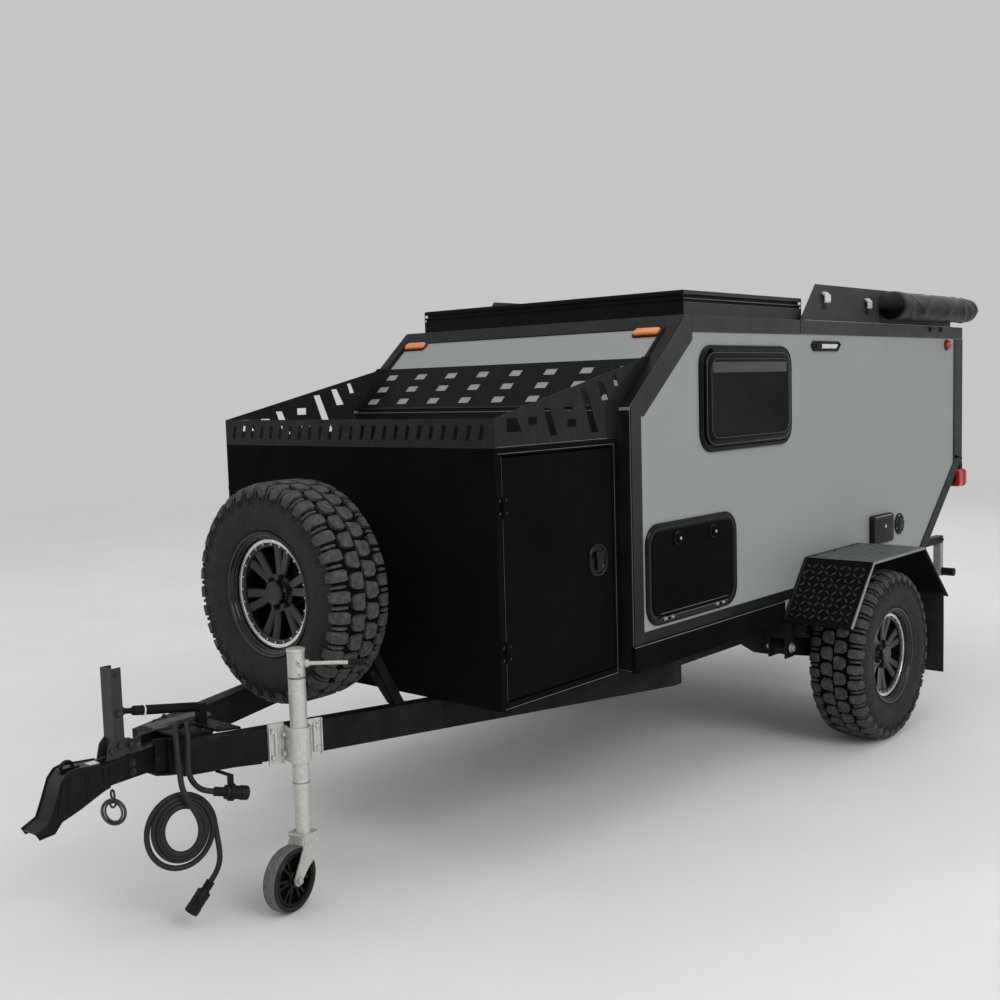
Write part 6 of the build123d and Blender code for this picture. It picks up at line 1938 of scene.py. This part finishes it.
def glands():
    """Ribbed, tapering strain reliefs where the two leads leave the tongue."""
    form = Form()
    for points in (LEAD_DROP, PARKED_LEAD):
        start, following = from_box(points)[:2]
        way = (following - start).normalized()
        foot = start - way * 0.0225
        profile = mm(0, 0, 13.8, 0, 13.8, 6, 12, 7)
        for k in range(4):
            along = 0.0085 + 0.0042 * k
            wide = 0.0124 - 0.0007 * k
            profile += [(wide, along), (wide, along + 0.0026), (wide - 0.0012, along + 0.0032)]
        profile += [(0.0098, 0.0262), (0.0089, 0.0268)]
        form.lathe(profile, tuple(foot), tuple(way), 28)
    show(
        "lead_glands_ribbed", form, "trailer", ["plastic_black"], ["lead_glands"],
        bevel=0.0003,
    )


# Rear

TAIL_BREAK_Z = 1.118
TAIL_DOWN = Vector((0, -0.438, -0.393)).normalized()
TAIL_OUT = Vector((0, 0.393, -0.438)).normalized()


def on_tail(across, down, out):
    """Point on the cabin's sloping tail, from its upper break."""
    return Vector((across, TAIL, TAIL_BREAK_Z)) + TAIL_DOWN * down + TAIL_OUT * out


def tail_slab(form, x_low, x_high, down_low, down_high, thick):
    low = [
        on_tail(x, down, 0)
        for x, down in ((x_low, down_low), (x_high, down_low), (x_high, down_high), (x_low, down_high))
    ]
    form.loft([low, [point + TAIL_OUT * thick for point in low]])


def rear_plate(form, centre, levels):
    """Loft of rounded rectangles on the lid's face: (half width, half height, corner, out)."""
    rings = []
    for half_x, half_z, corner, out in levels:
        rings.append([
            (centre[0] + x, TAIL + out, centre[1] + z) for x, z in rounded(half_x, half_z, corner, 5)
        ])
    form.loft(rings)


def rear_frame():
    """Black strips round the sloping tail and seals in the gap round the lid."""
    form = Form()
    for sign in SIDES.values():
        low, high = span(sign, 0.65, 0.7235)
        tail_slab(form, low, high, 0.004, 0.75, 0.003)
    tail_slab(form, -0.65, 0.65, 0.004, 0.05, 0.003)
    tail_slab(form, -0.65, 0.65, 0.69, 0.75, 0.003)
    form.mark = 1
    for sign in SIDES.values():
        low, high = span(sign, 0.696, 0.7232)
        form.box((low, TAIL - 0.1062, TAIL_BREAK_Z + 0.004), (high, TAIL - 0.1015, 1.752))
        low, high = span(sign, 0.69, 0.7288)
        form.box((low, TAIL - 0.106, TAIL_BREAK_Z - 0.012), (high, TAIL + 0.003, TAIL_BREAK_Z + 0.0048))
    form.mark = 2
    for sign in SIDES.values():
        for k in range(9):
            at = on_tail(sign * 0.688, 0.035 + 0.085 * k, 0.003)
            form.screw(tuple(at), tuple(TAIL_OUT), 0.009)
    for k in range(11):
        form.screw(tuple(on_tail(-0.6 + 0.12 * k, 0.72, 0.003)), tuple(TAIL_OUT), 0.009)
    show(
        "tail_frame", form, "trailer", ["trim_grey", "seal_rubber", "bolt_black"],
        bevel=0.0008,
    )


def lid_fittings():
    """Pressed border, latches, a pull handle and a blank plate on the galley's lid."""
    form = Form()
    border = [(x, TAIL + 0.001, 1.441 + z) for x, z in rounded(0.69, 0.292, 0.03, 5)]
    form.tube(border, 0.004, closed=True, sides=8)
    for centre_x in (-0.345, 0.345):
        rear_plate(
            form, (centre_x, 1.505), mm(290, 190, 30, -1, 287, 187, 28, 4.5, 276, 176, 22, 6, each=4),
        )
    form.mark = 1
    for x in (-0.52, 0.52):
        at = (x, TAIL, 1.205)
        form.lathe(mm(34, 0, 34, 4, 30, 7, 16, 8, 15, 20, 0, 21), at, ALONG, 40)
        rear_plate(form, (x, 1.205), mm(46, 10, 8, 12, 48, 12, 10, 18, 44, 10, 9, 24, each=4))
    for x in (-0.085, 0.085):
        form.lathe(mm(15, 0, 15, 4, 9, 8, 9, 36), (x, TAIL, 1.205), ALONG, 24)
    form.tube([(-0.098, TAIL + 0.034, 1.205), (0.098, TAIL + 0.034, 1.205)], 0.0095, sides=20)
    form.mark = 2
    rear_plate(form, (0, 1.262), mm(180, 40, 6, 0, 180, 40, 6, 2, 178, 38, 5, 2.6, each=4))
    form.mark = 1
    rear_plate(form, (0, 1.262), mm(188, 48, 8, 0, 188, 48, 8, 1.2, 186, 46, 7, 1.6, each=4))
    rear_plate(form, (0, 1.3215), mm(40, 9.5, 6, 0, 38, 9, 6, 12, 30, 7, 5, 15, each=4))
    form.mark = 3
    for x in (-0.164, 0.164):
        form.screw((x, TAIL + 0.0026, 1.262), ALONG, 0.009)
    show(
        "galley_lid_fittings", form, "galley_lid",
        ["trim_grey", "plastic_black", "plate_blank", "bolt_zinc"], bevel=0.0007,
    )


def rear_bumper():
    """Tube with plugged ends, on two posts hung from arms off the tail."""
    form = Form()
    y, z, half, post = 2.4395, 0.495, 0.69, 0.0198
    form.lathe(
        [(0.0195, -half + 0.004), (0.0218, -half + 0.004), (0.0218, half - 0.004), (0.0195, half - 0.004)],
        (0, y, z), ACROSS, 40, ring=True,
    )
    form.mark = 2
    for sign in SIDES.values():
        form.lathe(
            mm(0, 30, 19.4, 30, 19.4, 4.5, 21.2, 4, 21.2, 1, 17, 0, 0, 0), (sign * half, y, z),
            (-sign, 0, 0), 32,
        )
    for sign in SIDES.values():
        x = sign * 0.6
        form.mark = 1
        form.box((x - post, y - post, z + 0.01), (x + post, y + post, 0.652))
        form.lathe(mm(22.8, -24, 25.2, -24, 25.2, 24, 22.8, 24), (x, y, z), ACROSS, 32, ring=True)
        form.mark = 0
        start = TAIL - (TAIL_BREAK_Z - 0.65) * 0.438 / 0.393 + 0.004
        arm = [(start, 0.6505), (y + post, 0.6505), (y + post, 0.6895), (start + 0.0445, 0.6895)]
        form.slab(arm, "x", x - post, x + post)
        foot = [on_tail(x + u, v, 0.003) for u, v in mm(-34, 550, 34, 550, 34, 655, -34, 655)]
        form.loft([foot, [point + TAIL_OUT * 0.005 for point in foot]])
        form.mark = 3
        for u in (-0.027, 0.027):
            for v in (0.56, 0.645):
                form.bolt(tuple(on_tail(x + u, v, 0.008)), tuple(TAIL_OUT), 0.01, washer=False)
        for side in (-1, 1):
            form.bolt((x + side * post, y, 0.67), (side, 0, 0), 0.015)
    show(
        "rear_bumper_tubed", form, "trailer",
        ["frame_black", "post_grey", "plastic_black", "bolt_black"], ["rear_bumper"], bevel=0.0012,
    )


def tail_lamps():
    """Square-cornered red lamps on black feet, each with a black cap on top."""
    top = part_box("tail_lamps")[1].z
    form = Form()
    half, corner, z = 0.0447, 0.014, 1.008
    for sign in SIDES.values():
        x = sign * 0.684
        form.mark = 1
        foot = [
            (TAIL - 0.022, 1.042), (TAIL - 0.079, 1.042), (TAIL - 0.148, 0.982), (TAIL - 0.14, 0.976),
            (TAIL - 0.022, 0.976),
        ]
        form.slab(foot, "x", x - 0.018, x + 0.018)
        lamp_block(form, x, z, half, corner, mm(20, -36, 20, -22))
        form.mark = 0
        lens = mm(3, -30, 1, -26, 0, -20, 0, 66, 2, 76, 6, 83.5, 14, 87.2)
        lamp_block(form, x, z, half, corner, lens)
        for k in range(5):
            y = TAIL + 0.02 + 0.0075 * k
            outline = rounded(half + 0.0002, half + 0.0002, corner, 4)
            form.tube([(x + u, y, z + v) for u, v in outline], 0.0013, closed=True, sides=6)
        form.mark = 2
        for v in (-0.02, 0.02):
            form.lathe(mm(12.5, 0, 12.5, 1.2, 11, 1.6, 0, 1.6), (x, TAIL + 0.0865, z + v), ALONG, 28)
        lamp_cap(form, x, top)
    show(
        "tail_lamps_square", form, "trailer", ["red_lens", "plastic_black", "lens_bright"],
        ["tail_lamps"], bevel=0.0006,
    )


def lamp_block(form, x, z, half, corner, levels):
    """Loft of rounded squares behind each other: how much each shrinks, and how far it is behind the tail."""
    form.loft([
        [(x + u, TAIL + back, z + v) for u, v in rounded(half - shrink, half - shrink, corner, 4)]
        for shrink, back in levels
    ])


def lamp_cap(form, x, top):
    """Black housing that stands on a tail lamp, with a bright screw."""
    form.mark = 1
    rings = []
    y = TAIL + 0.066
    for z, half in (
        (1.0495, 0.0178), (1.066, 0.0178), (top - 0.01, 0.016), (top - 0.003, 0.014), (top - 0.001, 0.011),
    ):
        rings.append([(x + u, y + v, z) for u, v in rounded(half, half, 0.006, 4)])
    form.loft(rings)
    form.mark = 2
    form.screw((x, y, top - 0.0015), UP, 0.012)


# Entry door

DOOR_MIDDLE = (0.0745 - BOX_FRONT, 1.19)


def entry_door():
    """Bead round the door's edge, its paddle latch, a grab handle and the window."""
    form = Form()
    rounded_ring(form, -1, DOOR_MIDDLE, 0.293, 0.518, 0.062, 0.0042, 0.0008)
    form.mark = 1
    y, z = 0.318, 1.04
    side_plate(
        form, -1, CABIN_HALF, (y, z),
        mm(40, 62, 20, 0, 40, 62, 20, 5, 36, 58, 18, 8, 30, 52, 15, 8, 27, 49, 13, 3, each=4), 5,
    )
    form.box((-CABIN_HALF - 0.0115, y - 0.018, z - 0.042), (-CABIN_HALF - 0.004, y + 0.018, z + 0.012))
    form.mark = 2
    form.lathe(mm(8, 2, 8, 9.5, 6.5, 10.5, 0, 10.5), (-CABIN_HALF, y, z + 0.03), (-1, 0, 0), 20)
    form.mark = 0
    for rise in (-0.11, 0.11):
        form.lathe(mm(13, 0, 13, 3.5, 7.5, 6, 7.5, 12), (-CABIN_HALF, 0.318, 1.3 + rise), (-1, 0, 0), 20)
    form.tube([(-CABIN_HALF - 0.0105, 0.318, 1.183), (-CABIN_HALF - 0.0105, 0.318, 1.417)], 0.007, sides=16)
    show(
        "entry_door_fittings", form, "entry_door",
        ["trim_grey", "plastic_black", "bolt_zinc"], bevel=0.0006,
    )
    window(
        "door_window_dressed", "entry_door", -1, (0.0745 - BOX_FRONT, 1.47), 0.2, 0.165,
        ["door_window_frame", "door_window_pane"],
    )
    form = Form()
    rounded_ring(form, -1, DOOR_MIDDLE, 0.312, 0.537, 0.076, 0.004, 0.001)
    show("door_surround", form, "trailer", ["trim_grey"])


# Running gear

def coil_springs():
    """Wound springs between their two seats."""
    low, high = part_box("coil_springs")
    form = Form()
    wire = 0.0058
    turns = 4.6
    radius = 0.0455 - wire
    y = (low.y + high.y) / 2
    steps = 150
    for sign in SIDES.values():
        x = sign * 0.72
        path = []
        for i in range(steps + 1):
            part = i / steps
            rise = low.z + wire + 0.001 + (high.z - low.z - 2 * wire - 0.002) * part
            path.append((x + radius * cos(tau * turns * part), y + radius * sin(tau * turns * part), rise))
        form.mark = 0
        form.tube(path, wire, sides=12)
        form.mark = 1
        form.lathe(
            [
                (0.0, low.z + 0.0005), (0.03, low.z + 0.0005), (0.03, low.z + 0.012), (0.012, low.z + 0.06),
                (0, low.z + 0.062),
            ],
            (x, y, 0), UP, 32,
        )
    show(
        "coil_springs_wound", form, "trailer", ["spring_steel", "seal_rubber"],
        ["coil_springs"],
    )


def running_gear():
    """Pivot bolts, dampers, brake cables and the frame's stiffening below the floor."""
    form = Form()
    pivot_y, pivot_z = AXLE_Y - 0.45, 0.452
    for sign in SIDES.values():
        form.mark = 1
        for x, way in ((0.767, 1), (0.673, -1)):
            form.bolt((sign * x, pivot_y, pivot_z), (sign * way, 0, 0), 0.026, 0.013)
        lower = Vector((sign * 0.664, AXLE_Y - 0.01, 0.375))
        upper = Vector((sign * 0.65, AXLE_Y + 0.19, 0.53))
        way = (upper - lower).normalized()
        reach = (upper - lower).length
        form.mark = 2
        form.lathe(
            [
                (0.0, 0.0), (0.013, 0.0), (0.013, 0.012), (0.0225, 0.014), (0.0235, 0.02), (0.0235, 0.125),
                (0.021, 0.129), (0.008, 0.131), (0.008, reach - 0.012), (0.013, reach - 0.01),
                (0.013, reach), (0, reach),
            ],
            tuple(lower), tuple(way), 32,
        )
        form.mark = 0
        form.lathe(mm(0, -16, 15, -16, 15, 28, 0, 28), tuple(lower), (sign, 0, 0), 24)
        x0, x1 = span(sign, 0.64, 0.676)
        form.box((x0, AXLE_Y + 0.17, 0.505), (x1, AXLE_Y + 0.212, 0.5535))
        form.lathe(
            mm(110, -6, 138, -6, 142, -2, 142, 0, 20, 2, 20, -10), (sign * 0.855, AXLE_Y, TYRE_R),
            (sign, 0, 0), 56, ring=True,
        )
        form.mark = 3
        guard = mm(330, 553, 330, 465, 430, 415, 600, 372, 980, 348, 1020, 553)
        form.slab(guard, "x", *span(sign, 0.598, 0.603))
        cable = mm(850, 840, 430, 810, 800, 500, 740, 690, 542, 700, 560, 543, each=3)
        form.tube([(sign * x, y, z) for x, y, z in cable], 0.0045, sides=8)
    show(
        "running_gear", form, "trailer",
        ["frame_black", "bolt_zinc", "damper_dark", "lead_rubber"], bevel=0.0008,
    )


def brake_drum(form):
    """Drum behind a road wheel's disc, about the wheel's local X axis."""
    form.mark = 0
    form.lathe(
        mm(21, -43.5, 128, -43.5, 134, -40, 138.5, -30, 139.5, 6, 132, 13.5, 60, 16.5, 21, 16.5),
        axis=ACROSS, sides=64, ring=True,
    )
    for k in range(4):
        form.lathe(
            [(0.139, -0.022 + k * 0.007), (0.14, -0.0205 + k * 0.007), (0.139, -0.019 + k * 0.007)],
            axis=ACROSS, sides=64,
        )


def spare_carrier():
    """Hub post with its flange and two splayed, gusseted legs down to the beams."""
    form = Form()
    low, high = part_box("spare_carrier")
    z = middle("spare_tyre").z
    form.lathe(
        [
            (0.0, low.y + 0.001), (0.059, low.y + 0.001), (0.059, low.y + 0.01), (0.052, low.y + 0.014),
            (0.044, low.y + 0.02), (0.044, high.y - 0.052), (0.059, high.y - 0.044),
            (0.059, high.y - 0.001), (0, high.y - 0.001),
        ],
        (0, 0, z), ALONG, 48,
    )
    front = high.y - 0.04
    for sign in SIDES.values():
        for shift, thick in ((0.0, 0.0055), (0.034, 0.0055)):
            leg = [
                (0.0, z + 0.056), (sign * 0.02, z + 0.054), (sign * (high.x - 0.0005), low.z + 0.0005),
                (sign * (high.x - 0.0395), low.z + 0.0005), (sign * 0.002, z - 0.056),
            ]
            form.slab(leg, "y", front + shift, front + shift + thick)
        edge = [(sign * 0.018, z + 0.0535), (sign * (high.x - 0.0015), low.z + 0.001)]
        form.loft([
            [
                (x, front, h), (x, front + 0.0395, h), (x - sign * inset, front + 0.0395, h - drop),
                (x - sign * inset, front, h - drop),
            ]
            for (x, h), inset, drop in zip(edge, (0.005, 0.006), (0.003, 0.0))
        ])
        form.mark = 1
        for k in (0.25, 0.5, 0.75):
            form.bolt((sign * high.x * k * 0.93, front, z - (z - low.z) * k), (0, -1, 0), 0.012)
        form.mark = 0
    show(
        "spare_carrier_plated", form, "trailer", ["frame_black", "bolt_black"],
        ["spare_carrier"], bevel=0.001,
    )


def plug(name, node, points):
    """Round seven-pin plug: ribbed neck, barrel with grips and a hinged cap's rim."""
    before, end = from_box(points)[-2:]
    way = (end - before).normalized()
    form = Form()
    profile = [(0.0, 0.0), (0.0135, 0.0)]
    for k in range(4):
        along = 0.003 + 0.006 * k
        profile += [
            (0.0138, along), (0.0138, along + 0.003), (0.0122, along + 0.0035), (0.0122, along + 0.0055),
        ]
    profile += mm(
        13.8, 28, 15, 32, 20, 33.5, 21.2, 36, 21.2, 52, 19.6, 54, 19.6, 80, 21.8, 81.5, 21.8, 100,
        20.5, 104.5, 17.5, 104.5, 17.5, 90, 0, 90,
    )
    form.lathe(profile, tuple(end), tuple(way), 36)
    grid = axis_matrix(tuple(end), tuple(way))
    form.place = grid
    for k in range(12):
        angle = tau * k / 12
        at = Vector((cos(angle), sin(angle), 0)) * 0.0192
        form.box(tuple(at + Vector((-0.0013, -0.0013, 0.056))), tuple(at + Vector((0.0013, 0.0013, 0.078))))
    form.mark = 1
    for k in range(7):
        angle = tau * k / 7
        radius = 0.0105 if k else 0.0
        form.lathe(mm(1.9, 89, 1.9, 98.5, 0, 99), (radius * cos(angle), radius * sin(angle), 0), UP, 10)
    return show(
        name, form, "trailer", ["plastic_black", "bolt_zinc"], [node], bevel=0.0004,
        segments=1,
    )


# Operators

class TrailerLooks(bpy.types.PropertyGroup):
    """Sizes and colours that a user would change"""

    cabin_colour: FloatVectorProperty(
        name="Cabin colour", description="Colour of the cabin's panels", subtype="COLOR", size=3, min=0,
        max=1, default=(0.252, 0.268, 0.258),
    )
    lead_length: FloatProperty(
        name="Lead length", description="Length of the coiled towing lead", unit="LENGTH", default=2.65,
    )
    parked_length: FloatProperty(
        name="Parked lead length", description="Length of the parked lead", unit="LENGTH", default=0.33,
    )
    key_power: FloatProperty(
        name="Key light", description="Power of the main lamp", unit="POWER", default=420,
    )


class Step:
    """One step of the build: calls its makers in order. A maker that fails stops the build."""

    makers = ()

    def execute(self, context):
        for maker in self.makers:
            maker()
        return {"FINISHED"}


class TRAILER_OT_stage(bpy.types.Operator):
    """Sets up the floor, the lights and the camera"""

    bl_idname = "trailer.stage"
    bl_label = "Stage"

    def execute(self, context):
        floor = bpy.data.meshes.new("floor")
        reach = FLOOR_REACH
        floor.from_pydata(
            [(-reach, -reach, 0), (reach, -reach, 0), (reach, reach, 0), (-reach, reach, 0)], [],
            [(0, 1, 2, 3)],
        )
        floor.materials.append(finish_of("floor_pale"))
        plane = bpy.data.objects.new("floor", floor)
        context.scene.collection.objects.link(plane)
        looks = context.scene.trailer_looks
        for name, at, aim, wide, share in LAMPS:
            light = bpy.data.lights.new(name, "AREA")
            light.size = wide
            light.energy = looks.key_power * share
            lamp = bpy.data.objects.new(name, light)
            lamp.location = at
            lamp.rotation_euler = (Vector(aim) - Vector(at)).to_track_quat("-Z", "Y").to_euler()
            context.scene.collection.objects.link(lamp)
        self.sky(context.scene)
        self.camera(context.scene)
        context.scene.view_settings.view_transform = "Standard"
        return {"FINISHED"}

    def sky(self, scene):
        world = bpy.data.worlds.new("studio")
        world.use_nodes = True
        tree = world.node_tree
        lit = tree.nodes["Background"]
        lit.inputs["Color"].default_value = SKY_TINT
        lit.inputs["Strength"].default_value = SKY_STRENGTH
        seen = tree.nodes.new("ShaderNodeBackground")
        seen.inputs["Color"].default_value = BACKDROP
        path = tree.nodes.new("ShaderNodeLightPath")
        blend = tree.nodes.new("ShaderNodeMixShader")
        share = path.outputs["Is Camera Ray"]
        for kind in ("Is Glossy Ray", "Is Transmission Ray"):
            either = tree.nodes.new("ShaderNodeMath")
            either.operation = "MAXIMUM"
            tree.links.new(share, either.inputs[0])
            tree.links.new(path.outputs[kind], either.inputs[1])
            share = either.outputs["Value"]
        tree.links.new(share, blend.inputs["Fac"])
        tree.links.new(lit.outputs["Background"], blend.inputs[1])
        tree.links.new(seen.outputs["Background"], blend.inputs[2])
        tree.links.new(blend.outputs["Shader"], tree.nodes["World Output"].inputs["Surface"])
        scene.world = world

    def camera(self, scene):
        """Camera at the photograph's viewpoint."""
        yaw, pitch, roll = (radians(angle) for angle in VIEW_TURN)
        ahead = Vector((-sin(yaw) * cos(pitch), cos(yaw) * cos(pitch), sin(pitch)))
        level = ahead.cross(UP).normalized()
        rise = level.cross(ahead)
        right = level * cos(roll) + rise * sin(roll)
        up = rise * cos(roll) - level * sin(roll)
        lens = bpy.data.cameras.new("view")
        lens.sensor_width = SENSOR_WIDE
        lens.lens = VIEW_LENS
        eye = bpy.data.objects.new("view", lens)
        turn = Matrix((right, up, -ahead)).transposed().to_4x4()
        eye.matrix_world = Matrix.Translation(VIEW_PLACE) @ turn
        scene.collection.objects.link(eye)
        scene.camera = eye


class TRAILER_OT_leads(bpy.types.Operator):
    """Makes the two towing leads with their plugs"""

    bl_idname = "trailer.leads"
    bl_label = "Towing leads"

    def execute(self, context):
        route = lead_route()
        coiled = lead_curve("lead_coiled", route, "trailer")
        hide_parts("lead_drop", "lead_coil", "lead_tail")
        plug("lead_plug_seven_pin", "lead_plug", LEAD_TAIL)
        parked = from_box(PARKED_LEAD)
        short = lead_curve("lead_parked", parked, "trailer")
        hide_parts("parked_lead")
        plug("parked_plug_seven_pin", "parked_plug", PARKED_LEAD)
        return {"FINISHED"}


class TRAILER_OT_wheels(Step, bpy.types.Operator):
    """Makes the road wheels and the spare, each a treaded tyre on a spoked rim"""

    bl_idname = "trailer.wheels"
    bl_label = "Wheels"
    makers = (wheels,)


class TRAILER_OT_finishes(Step, bpy.types.Operator):
    """Gives the CAD pieces that stay in view their finishes"""

    bl_idname = "trailer.finishes"
    bl_label = "Finishes"
    makers = (cad_finishes,)


class TRAILER_OT_cabin(Step, bpy.types.Operator):
    """Adds the cabin's trims, sills, side window and luggage hatch"""

    bl_idname = "trailer.cabin"
    bl_label = "Cabin trims and openings"
    makers = (cabin_trims, slant_trims, side_window, luggage_hatch)


class TRAILER_OT_toolbox(Step, bpy.types.Operator):
    """Adds the toolbox's latches, hinge screws, edge lines and painted edge highlights"""

    bl_idname = "trailer.toolbox"
    bl_label = "Toolbox fittings"
    makers = (toolbox,)


class TRAILER_OT_roof(Step, bpy.types.Operator):
    """Makes the roof rack, the awning's bag and its fittings"""

    bl_idname = "trailer.roof"
    bl_label = "Rack and awning"
    makers = (roof_rack, awning_fittings, awning_bag)


class TRAILER_OT_fenders(Step, bpy.types.Operator):
    """Makes the chequered fenders and their mudflaps"""

    bl_idname = "trailer.fenders"
    bl_label = "Fenders"
    makers = (fenders,)


class TRAILER_OT_lamps(Step, bpy.types.Operator):
    """Makes the lamps, the grab lamps, the inlet and the socket"""

    bl_idname = "trailer.lamps"
    bl_label = "Lamps and wall fittings"
    makers = (lamps, wall_fittings)


class TRAILER_OT_jack(Step, bpy.types.Operator):
    """Makes the jockey wheel: tube, clamp, crank, fork and wheel"""

    bl_idname = "trailer.jack"
    bl_label = "Jockey wheel"
    makers = (jack_tube, jack_clamp, jack_crank, jack_fork, jack_wheel)


class TRAILER_OT_drawbar(Step, bpy.types.Operator):
    """Makes the coupling, the tongue's cover, the handbrake, the chain and the glands"""

    bl_idname = "trailer.drawbar"
    bl_label = "Drawbar"
    makers = (coupler, tongue, handbrake, chain, glands)


class TRAILER_OT_rear(Step, bpy.types.Operator):
    """Makes the tail's frame, the lid's fittings, the bumper and the entry door's fittings"""

    bl_idname = "trailer.rear"
    bl_label = "Rear and entry door"
    makers = (rear_frame, lid_fittings, rear_bumper, entry_door)


class TRAILER_OT_underside(Step, bpy.types.Operator):
    """Makes the springs, the running gear and the spare wheel's carrier"""

    bl_idname = "trailer.underside"
    bl_label = "Springs, running gear and carrier"
    makers = (coil_springs, running_gear, spare_carrier)


OPERATORS = [
    TRAILER_OT_finishes, TRAILER_OT_stage, TRAILER_OT_leads, TRAILER_OT_wheels, TRAILER_OT_cabin,
    TRAILER_OT_toolbox, TRAILER_OT_roof, TRAILER_OT_fenders, TRAILER_OT_lamps, TRAILER_OT_jack,
    TRAILER_OT_drawbar, TRAILER_OT_rear, TRAILER_OT_underside,
]


class TRAILER_PT_build(bpy.types.Panel):
    """Lists the trailer's settings and the operators that build it"""

    bl_idname = "TRAILER_PT_build"
    bl_label = "Teardrop trailer"
    bl_space_type = "VIEW_3D"
    bl_region_type = "UI"
    bl_category = "Trailer"

    def draw(self, context):
        looks = context.scene.trailer_looks
        for name in ("cabin_colour", "lead_length", "parked_length", "key_power"):
            self.layout.prop(looks, name)
        for operator in OPERATORS:
            self.layout.operator(operator.bl_idname)


def register():
    for shown in [TrailerLooks, *OPERATORS, TRAILER_PT_build]:
        bpy.utils.register_class(shown)
    bpy.types.Scene.trailer_looks = PointerProperty(type=TrailerLooks)


def unregister():
    del bpy.types.Scene.trailer_looks
    for shown in [TRAILER_PT_build, *reversed(OPERATORS), TrailerLooks]:
        bpy.utils.unregister_class(shown)


def main():
    register()
    for operator in OPERATORS:
        group, name = operator.bl_idname.split(".")
        getattr(getattr(bpy.ops, group), name)()


if __name__ == "__main__":
    main()
